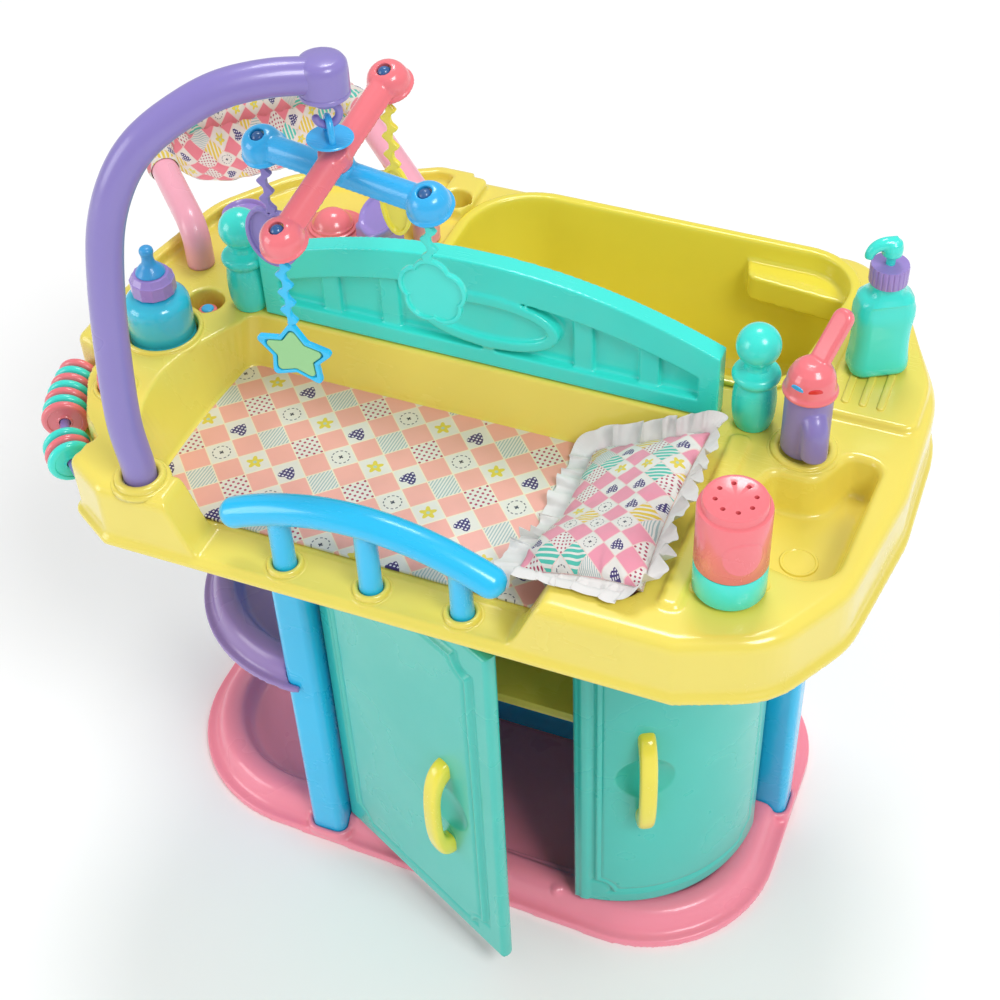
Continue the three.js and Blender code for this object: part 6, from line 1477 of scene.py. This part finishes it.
# %% [markdown]
# ## High chair
# One bent tube on two elbows; its path is straight legs, quarter turns and a bar across.
# The cloth seat hangs in it, and a sleeve of the same cloth is gathered round the tube.

# %% Chair tube
CHAIR_LEFT, CHAIR_RIGHT = np.array([-270, 33.0]), np.array([-113, 125.0])
CHAIR_R, CHAIR_Z, ELBOW, REACH, CORNER = 11, 515, 22, 155, 48
chair_out = np.array([math.cos(math.radians(135)), math.sin(math.radians(135))])
lead = float(np.dot(CHAIR_RIGHT - CHAIR_LEFT, chair_out))
chair_across = CHAIR_RIGHT - CHAIR_LEFT - lead * chair_out
chair_breadth = float(np.linalg.norm(chair_across))
chair_across = chair_across / chair_breadth


def chair_point(out, inward, z=CHAIR_Z):
    """A point of the chair: distance out from the left elbow, distance across from it, and height."""
    return np.array([*(CHAIR_LEFT + chair_out * out + chair_across * inward), z])


def quarter(start, middle, end, steps=9):
    """A turn of the tube as a quadratic curve."""
    return arched(start, middle, end, np.linspace(0, 1, steps)[:, None])


def hoop_line():
    """The tube's middle line from the left foot to the right foot."""
    low = CHAIR_Z - ELBOW
    parts = [
        np.array([chair_point(0, 0, 481.3)]),
        quarter(chair_point(0, 0, low), chair_point(0, 0), chair_point(ELBOW, 0)),
        quarter(chair_point(REACH - CORNER, 0), chair_point(REACH, 0), chair_point(REACH, CORNER)),
        quarter(chair_point(REACH, chair_breadth - CORNER), chair_point(REACH, chair_breadth),
        chair_point(REACH - CORNER, chair_breadth)),
        quarter(chair_point(lead + ELBOW, chair_breadth), chair_point(lead, chair_breadth),
        chair_point(lead, chair_breadth, low)),
        np.array([chair_point(lead, chair_breadth, 481.3)]),
    ]
    line = np.vstack(parts)
    length = run_lengths(line)
    return read_off(line, length, np.linspace(0, length[-1], 260))


hoop = hoop_line()
dress(solid("chair_tube", tube(hoop, CHAIR_R, 40)), "frame", "chair_hoop", paint="tube")
print("chair tube:", len(hoop), "points")

# %% [markdown]
# ## Printed cloth
# The mat and the cloth share one print of common motifs: hearts in gingham, dashed rings, hatching,
# blossoms and dots in a checker of squares.
# Each motif is a mask worked out from the place within its square, so the print stays sharp at any
# distance.

# %% Print
def print_group():
    """Colour of the printed checker at a place measured in squares: plain squares alternate with motifs
    in a fixed order."""
    tree, g, source, sink = new_group(
        "checker_print", [("Place", "NodeSocketVector"), ("Plain", "NodeSocketColor"),
        ("Ground", "NodeSocketColor"), ("Line", "NodeSocketColor"), ("Variety", "NodeSocketFloat")],
        [("Colour", "NodeSocketColor")])
    split = g.add("ShaderNodeSeparateXYZ", {0: source.outputs["Place"]}).outputs
    i, j = g.math("FLOOR", split[0]), g.math("FLOOR", split[1])
    a = g.minus(g.minus(split[0], i), 0.5)
    b = g.minus(g.minus(split[1], j), 0.5)
    p, q = g.times(g.plus(a, b), 0.7071), g.times(g.minus(b, a), 0.7071)
    odd = g.math("PINGPONG", g.plus(i, j), 1.0)
    far = g.math("SQRT", g.plus(g.times(a, a), g.times(b, b)))
    angle = g.math("ARCTAN2", b, a)
    below = lambda value, limit: g.math("LESS_THAN", value, limit)
    waves = lambda value, count: g.math("SINE", g.times(value, 6.2832 * count))
    heart = below(g.plus(g.times(p, p), g.math("POWER",
        g.minus(g.times(q, -1.1), g.times(g.size(p), 0.75)), 2.0)), 0.095)
    checks = g.times(g.above(waves(p, 7), 0.0), g.above(waves(q, 7), 0.0))
    ring_mask = g.times(below(g.size(g.minus(far, 0.33)), 0.022),
        g.above(g.math("SINE", g.times(angle, 12.0)), -0.2))
    core = below(g.math("MINIMUM", g.math("MAXIMUM", g.times(g.size(p), 3.0), g.size(q)),
                        g.math("MAXIMUM", g.times(g.size(q), 3.0), g.size(p))), 0.09)
    hatch = g.above(waves(p, 9), 0.25)
    petals = below(far, g.plus(0.25, g.times(0.08, g.math("SINE", g.times(angle, 5.0)))))
    dots = g.above(g.times(waves(g.plus(a, 0.07), 3.5), waves(g.plus(b, 0.07), 3.5)), 0.45)
    ground, navy, rose = source.outputs["Ground"], (0.045, 0.026, 0.155, 1), (0.42, 0.04, 0.11, 1)
    motifs = [
        g.mix(heart, ground, g.mix(checks, navy, (0.8, 0.78, 0.8, 1))),
        g.mix(core, g.mix(ring_mask, ground, (0.12, 0.12, 0.15, 1)), (0.05, 0.05, 0.08, 1)),
        g.mix(hatch, ground, (0.36, 0.47, 0.47, 1)),
        g.mix(below(far, 0.07), g.mix(petals, ground, (0.74, 0.60, 0.07, 1)), (0.45, 0.6, 0.5, 1)),
        g.mix(dots, ground, rose),
    ]
    order = g.plus(g.times(i, 1.5), g.times(j, 0.5))
    hashed = g.add("ShaderNodeTexWhiteNoise",
        {"Vector": g.add("ShaderNodeCombineXYZ", {"X": i, "Y": j}).outputs[0]},
        noise_dimensions="2D").outputs
    order = g.plus(order, g.times(g.math("FLOOR", g.times(hashed["Value"], 4.99)),
        source.outputs["Variety"]))
    kind = g.math("FLOORED_MODULO", g.plus(order, 0.25), 5.0)
    colour = motifs[0]
    for number, motif in enumerate(motifs[1:], 1):
        colour = g.mix(g.above(kind, number - 0.01), colour, motif)
    bright = g.mix(g.above(hashed["Value"], 0.5), (0.72, 0.52, 0.05, 1), (0.07, 0.50, 0.40, 1))
    striped = g.mix(g.above(waves(q, 4), 0.3), bright, ground)
    vivid = g.times(source.outputs["Variety"],
        g.above(g.math("FRACT", g.times(hashed["Value"], 7.0)), 0.62))
    colour = g.mix(odd, g.mix(vivid, source.outputs["Plain"], striped), colour)
    edge = g.above(g.math("MAXIMUM", g.size(a), g.size(b)), 0.478)
    g.put(sink.inputs["Colour"], g.mix(edge, colour, source.outputs["Line"]))
    return tree


PRINT_GROUP = print_group()
print("nodes of the print:", len(PRINT_GROUP.nodes))

# %% Printed cloths
def printed(name, cell, turn, plain, ground, line, variety, rough, weave, sheen):
    """A printed surface; its UV map is in millimetres, cell is the side of a square and weave the depth
    of the threads."""
    material = bpy.data.materials.new(name)
    material.use_nodes = True
    g = Graph(material.node_tree)
    shader = material.node_tree.nodes["Principled BSDF"]
    place = g.add("ShaderNodeTexCoord").outputs["UV"]
    lattice = g.add("ShaderNodeMapping", {"Vector": place, "Rotation": (0, 0, math.radians(turn)),
        "Scale": (1 / cell, 1 / cell, 1)})
    group = g.add("ShaderNodeGroup", {"Place": lattice.outputs[0]}, node_tree=PRINT_GROUP)
    for key, value in (("Plain", (*plain, 1)), ("Ground", (*ground, 1)), ("Line", (*line, 1)),
        ("Variety", variety)):
        group.inputs[key].default_value = value
    blotch = g.add("ShaderNodeTexNoise", {"Vector": place, "Scale": 0.03, "Detail": 3.0}).outputs[0]
    tone = g.ramp(blotch, 0.3, 0.7, 0.94, 1.0)
    g.put(shader.inputs["Base Color"], g.mix(1.0, group.outputs["Colour"],
        g.add("ShaderNodeCombineColor", {0: tone, 1: tone, 2: tone}).outputs[0], "MULTIPLY"))
    split = g.add("ShaderNodeSeparateXYZ", {0: place}).outputs
    threads = g.plus(g.math("SINE", g.times(split[0], 9.0)), g.math("SINE", g.times(split[1], 9.0)))
    bump = g.add("ShaderNodeBump", {"Strength": weave, "Distance": 0.0003, "Height": threads})
    g.put(shader.inputs["Normal"], bump.outputs[0])
    g.put(shader.inputs["Roughness"], g.ramp(blotch, 0.3, 0.7, rough - 0.04, rough + 0.04))
    shader.inputs["Sheen Weight"].default_value = sheen
    material.diffuse_color = (*plain, 1.0)
    return material


ENDLESS = 1e6


def plain_cloth(name, colour):
    """White cotton: the print with squares so large that the cloth lies within a plain one."""
    return printed(name, ENDLESS, 0, colour, colour, colour, 0.0, 0.8, 0.35, 0.2)


CREAM = (0.86, 0.77, 0.56)
PAINT["mat"] = printed("mat_print", 20.0, 46.8, (0.87, 0.42, 0.36), (0.76, 0.73, 0.66), CREAM, 0.0,
    0.38, 0.0, 0.0)
PAINT["pillow"] = printed("pillow_print", 15.0, 40.0, (0.80, 0.30, 0.40), (0.76, 0.74, 0.70),
    (0.80, 0.60, 0.55), 1.0, 0.75, 0.35, 0.2)
PAINT["seat"] = printed("seat_print", 13.0, 45.0, (0.76, 0.20, 0.25), (0.74, 0.68, 0.62),
    (0.80, 0.55, 0.50), 1.0, 0.75, 0.35, 0.2)
PAINT["white"] = plain_cloth("white_cotton", (0.80, 0.79, 0.77))
print("plastics and cloths:", len(PAINT))

# %% Sheets
def write_uv(piece, uv):
    """A UV map from one place for each vertex."""
    layer = piece.data.uv_layers.new(name="UVMap")
    corners = np.empty(len(piece.data.loops), dtype=int)
    piece.data.loops.foreach_get("vertex_index", corners)
    layer.data.foreach_set("uv", uv[corners].ravel())


def woven(name, points, uv, closed=False):
    """A one-sided sheet from a grid of points, with a UV map in millimetres; closed joins the last
    column to the first."""
    rows, columns = points.shape[:2]
    last = columns if closed else columns - 1
    i, j = np.meshgrid(np.arange(rows - 1), np.arange(last), indexing="ij")
    k = (j + 1) % columns
    quads = np.stack([i * columns + j, (i + 1) * columns + j, (i + 1) * columns + k, i * columns + k],
        -1).reshape(-1, 4)
    piece = solid(name, (points.reshape(-1, 3), quads.tolist()))
    write_uv(piece, uv.reshape(-1, 2))
    piece.data.shade_smooth()
    return piece


def cloth_area(piece):
    """Area of a sheet in square metres, as it lies."""
    areas = np.empty(len(piece.data.polygons))
    piece.data.polygons.foreach_get("area", areas)
    return float(areas.sum())


def uv_from_place(piece):
    """A UV map that repeats the piece's own x and y in millimetres."""
    places = np.empty(len(piece.data.vertices) * 3)
    piece.data.vertices.foreach_get("co", places)
    write_uv(piece, places.reshape(-1, 3)[:, :2] / MM)


print("sheets carry a UV map in millimetres")

# %% Mat
mat_outline = bed_loop(-202, 170, -185, -23, 3)
mat = solid("bed_board", terrace(mat_outline, [(-0.4, 438.3), (0, 438.6), (0, 440.3), (-0.5, 440.7)]))
uv_from_place(mat)
dress(sharpen(mat, 60), "frame", "bed_mat", paint="mat")
print("points of the mat outline:", len(mat_outline))

# %% Pillow
PILLOW_AT, PILLOW_W, PILLOW_L, PILLOW_TILT = (132, -106, 466.7), 98, 156, 28
pillow_place = Matrix.Translation(PILLOW_AT) @ Matrix.Rotation(math.radians(-PILLOW_TILT), 4, "Y")


def wander(values, seed):
    """A slow irregular wave: five sines whose periods don't divide each other."""
    draw = np.random.default_rng(seed)
    waves = (draw.uniform(0.5, 1) / n**0.7 * np.sin(values * n * 1.17 + draw.uniform(0, 6.28))
        for n in range(1, 6))
    return sum(waves) / 2.2


def pillow_side(side, steps=120):
    """One face of the pillow: a swell that falls to the seam, less creases that run in from the seam
    and fade."""
    u, v = np.meshgrid(np.linspace(-1, 1, steps + 1), np.linspace(-1, 1, steps + 1), indexing="ij")
    x = u * (PILLOW_W / 2 - 5 * (1 - v**2))
    y = v * (PILLOW_L / 2 - 5 * (1 - u**2))
    swell = np.maximum((1 - u**4) * (1 - v**4), 0) ** 0.55
    gap_x, gap_y = (1 - np.abs(u)) * PILLOW_W / 2, (1 - np.abs(v)) * PILLOW_L / 2
    crease = np.sin(y / 2.6 + 2.5 * wander(y / 14, 3)) * np.exp(-gap_x / 9) * (1 - np.exp(-gap_x / 2))
    crease += np.sin(x / 2.6 + 2.5 * wander(x / 14, 5)) * np.exp(-gap_y / 9) * (1 - np.exp(-gap_y / 2))
    folds = wander(x / 11 + y / 17, 7) * wander(y / 13 - x / 19, 11)
    z = side * (1.2 + (13.5 if side > 0 else 11) * swell + 1.3 * crease + 2.2 * folds * swell)
    return np.stack([x, y, z], -1), np.stack([x, y + 300 * (side < 0)], -1)


def lifted(points):
    """The pillow's front end rides up on the bed's front wall: its middle plane eases towards one
    height there."""
    share = 0.85 * ease((-105 - points[..., 1]) / 66)
    plane = PILLOW_AT[2] + (points[..., 0] - PILLOW_AT[0]) * math.tan(math.radians(PILLOW_TILT))
    points[..., 2] += share * (479 + 0.12 * (points[..., 0] - PILLOW_AT[0]) - plane)
    return points


cushion_parts = []
for side in (1, -1):
    points, uv = pillow_side(side)
    flat_points = points.reshape(-1, 3) @ np.array(pillow_place)[:3, :3].T + np.array(pillow_place)[:3,
        3]
    flat_points = lifted(flat_points)
    flat_points[:, 2] = np.maximum(flat_points[:, 2], 441.0)
    cushion_parts.append(woven("cushion", flat_points.reshape(points.shape), uv))
edit = bmesh.new()
for part in cushion_parts:
    edit.from_mesh(part.data)
border = [edge for edge in edit.edges if edge.is_boundary]
bmesh.ops.bridge_loops(edit, edges=border)
bmesh.ops.recalc_face_normals(edit, faces=edit.faces)
edit.to_mesh(cushion_parts[0].data)
edit.free()
cushion_parts[0].data.shade_smooth()
bpy.data.objects.remove(cushion_parts[1])
cushion = cushion_parts[0]
dress(cushion, "frame", "pillow", paint="pillow")
print("pillow faces:", len(cushion.data.polygons))

# %% [markdown]
# ## Ruffle
# A ruffle is a long strip gathered onto a short seam, so it has to swing from side to side.
# The swing grows with the distance from the seam, and the strip leans outwards over what lies under it.

# %% Pillow ruffle
def frill(count=1500, rows=9, width=20.0):
    """A gathered strip round the pillow's seam: it leans outwards and up, and swings from side to side
    more the further it is from the seam."""
    corner = 10
    half_w, half_l = PILLOW_W / 2 - 0.5, PILLOW_L / 2 - 0.5
    loop = rectangle(-half_w, half_w, -half_l, half_l, corner, 4)
    closed = np.vstack([loop, loop[:1]])
    length = run_lengths(closed)
    s = np.linspace(0, length[-1], count, endpoint=False)
    seam = read_off(closed, length, s)
    seam[:, 0] *= 1 - 5 / half_w * (1 - (seam[:, 1] / half_l) ** 2).clip(0)
    seam[:, 1] *= 1 - 5 / half_l * (1 - (seam[:, 0] / half_w) ** 2).clip(0)
    ahead = np.roll(seam, -1, axis=0) - np.roll(seam, 1, axis=0)
    ahead /= np.linalg.norm(ahead, axis=1)[:, None]
    outward = np.stack([ahead[:, 1], -ahead[:, 0]], 1)
    turn = np.array(pillow_place)[:3, :3]
    world_seam = np.column_stack([seam, 0 * s]) @ turn.T + np.array(pillow_place)[:3, 3]
    world_out = np.column_stack([outward, 0 * s]) @ turn.T
    world_along = np.column_stack([ahead, 0 * s]) @ turn.T
    world_seam = lifted(world_seam)
    toward = lambda sign: ease(sign * outward[:, :1])
    front, back = ease(-outward[:, 1:]), ease(outward[:, 1:])
    rise = 1.3 * back + 0.12 * front + 0.35 * toward(-1) + 0.75 * toward(1)
    lean = world_out * (1 - 0.5 * back) + np.array([0, 0, 1.0]) * rise
    lean /= np.linalg.norm(lean, axis=1)[:, None]
    across = np.cross(lean, world_along)
    phase = s / length[-1] * 2 * np.pi
    turns = phase * 27 + 3.4 * wander(phase * 5, 21)
    wave = (np.sin(turns) + 0.35 * np.sin(2.3 * turns + 1)) * (0.85 + 0.5 * wander(phase * 6, 23))
    sway = np.cos(turns)
    t = np.linspace(0, 1, rows)[:, None, None]
    reach = (width * (1 + 0.16 * wander(phase * 5, 29)))[None, :, None]
    sideways = across * (wave[None, :, None] * 4.8 * t**0.9)
    lengthways = world_along * (sway[None, :, None] * 2.4 * t)
    points = world_seam + lean * reach * t + sideways + lengthways
    over_rim = ease((-186 - points[..., 1]) / 5) * ease((points[..., 0] - 84) / 6)
    ground = 441.3 + over_rim * 43.2
    height = points[..., 2] - ground
    resting = 0.4 + 1.6 * np.exp((np.minimum(points[..., 2], ground + 2) - ground - 2) / 3)
    points[..., 2] = ground + np.where(points[..., 2] > ground + 2, height, resting)
    uv = np.stack([np.broadcast_to(s * 1.8, points.shape[:2]),
        np.broadcast_to(t[..., 0] * width, points.shape[:2])], -1)
    return points, uv


ruffle = woven("pillow_ruffle", *frill(), closed=True)
ruffle_area = cloth_area(ruffle)
dress(ruffle, "frame", paint="white")
print("ruffle cut:", round(ruffle_area / 0.02 * 1000), "by 20 mm")

# %% Chair cloth
hoop_length = run_lengths(hoop)
outness = (hoop[:, :2] - CHAIR_LEFT) @ chair_out
covered = np.where(outness > REACH - 68)[0]
sleeve_low, sleeve_high = hoop_length[covered[0]], hoop_length[covered[-1]]


def sleeve(rings=420, sides=64):
    """Cloth drawn over the tube: a tube whose radius ripples along it where it is gathered, with the
    ripples shifting round it."""
    s = np.linspace(sleeve_low, sleeve_high, rings)
    centre = read_off(hoop, hoop_length, s)
    shape, _ = tube(centre, 1.0, sides)
    unit = np.asarray(shape).reshape(rings, sides, 3) - centre[:, None]
    unit = np.concatenate([unit, unit[:, :1]], 1)
    angle = np.linspace(0, 2 * np.pi, sides + 1)[None]
    ripple = np.sin(s[:, None] / 2.3 + 1.6 * np.sin(angle + s[:, None] / 31)
        + 2 * wander(s[:, None] / 23, 31))
    puff = 1 - np.exp(-np.minimum(s - s[0], s[-1] - s)[:, None] / 5)
    radius = CHAIR_R + 0.7 + puff * (1.3 + 0.75 * ripple + 0.5 * wander(s[:, None] / 9 + angle, 33))
    points = centre[:, None] + unit * radius[..., None]
    uv = np.stack([np.broadcast_to(s[:, None] * 1.15, radius.shape),
        np.broadcast_to(angle * CHAIR_R, radius.shape)], -1)
    return points, uv


sleeve_cloth = woven("chair_sleeve", *sleeve())
sleeve_area = cloth_area(sleeve_cloth)
dress(sleeve_cloth, "frame", paint="seat")
print("sleeve from", round(sleeve_low), "to", round(sleeve_high))

# %% Seat of the chair
def creases(along, gap, seed):
    """Creases that run in from an edge: a wandering sine along it, that fades with the gap from it."""
    wave = np.sin(along / 3.4 + 2 * wander(along / 12, seed) + gap / 19)
    return wave * np.exp(-gap / 24) * (1 - np.exp(-gap / 3))


def pouch(rows=150, columns=170):
    """The seat: a cloth hung from three sides of the hoop; it sags as a soft bowl and creases run in
    from its edges."""
    u, v = np.meshgrid(np.linspace(0, 1, rows), np.linspace(0, 1, columns), indexing="ij")
    near, far, side = REACH - 68, REACH - 6, 6
    round_off = 30 * np.maximum(0, 1 - (1 - u) * (far - near) / 36) ** 2
    inward = side + round_off + v * (chair_breadth - 2 * side - 2 * round_off)
    out = near + u * (far - near)
    edge_v = np.minimum(v, 1 - v) * chair_breadth
    edge_u = (1 - u) * (far - near)
    sag = (1 - np.exp(-edge_v / 20)) * (1 - np.exp(-edge_u / 18))
    floor_sag = 42 * sag * (0.72 + 0.28 * np.minimum(u / 0.25, 1))
    crease = creases(out, edge_v, 41) + creases(inward, edge_u, 43)
    folds = wander(out / 14 + inward / 21, 45) * wander(inward / 16 - out / 23, 47) * sag
    z = CHAIR_Z + 4 - floor_sag + 2.6 * crease * (1 - 0.35 * sag) + 5.0 * folds
    plane = CHAIR_LEFT + out[..., None] * chair_out + inward[..., None] * chair_across
    return np.concatenate([plane, z[..., None]], -1), np.stack([out * 1.2, inward * 1.1], -1)


seat_cloth = woven("chair_pouch", *pouch())
seat_area = cloth_area(seat_cloth)
dress(seat_cloth, "frame", "chair_seat", paint="seat")
print("cloth areas:", round(ruffle_area, 4), round(sleeve_area, 4), round(seat_area, 4))

# %% [markdown]
# ## Floor
# The floor is staged, so it is no piece of the part.
# The box of the dressed part is printed.

# %% Floor and sizes
floor = solid("floor", slab(rectangle(-6000, 6000, -6000, 6000, 10), -20, 0))
floor_paint = bpy.data.materials.new("floor_paint")
floor_paint.use_nodes = True
floor_paint.node_tree.nodes["Principled BSDF"].inputs["Base Color"].default_value = (0.93, 0.93, 0.93,
    1)
floor_paint.node_tree.nodes["Principled BSDF"].inputs["Roughness"].default_value = 0.7
floor.data.materials.append(floor_paint)
floor.data.shade_flat()
floor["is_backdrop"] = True
low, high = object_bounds()
print("visual box:", list(low), list(high))
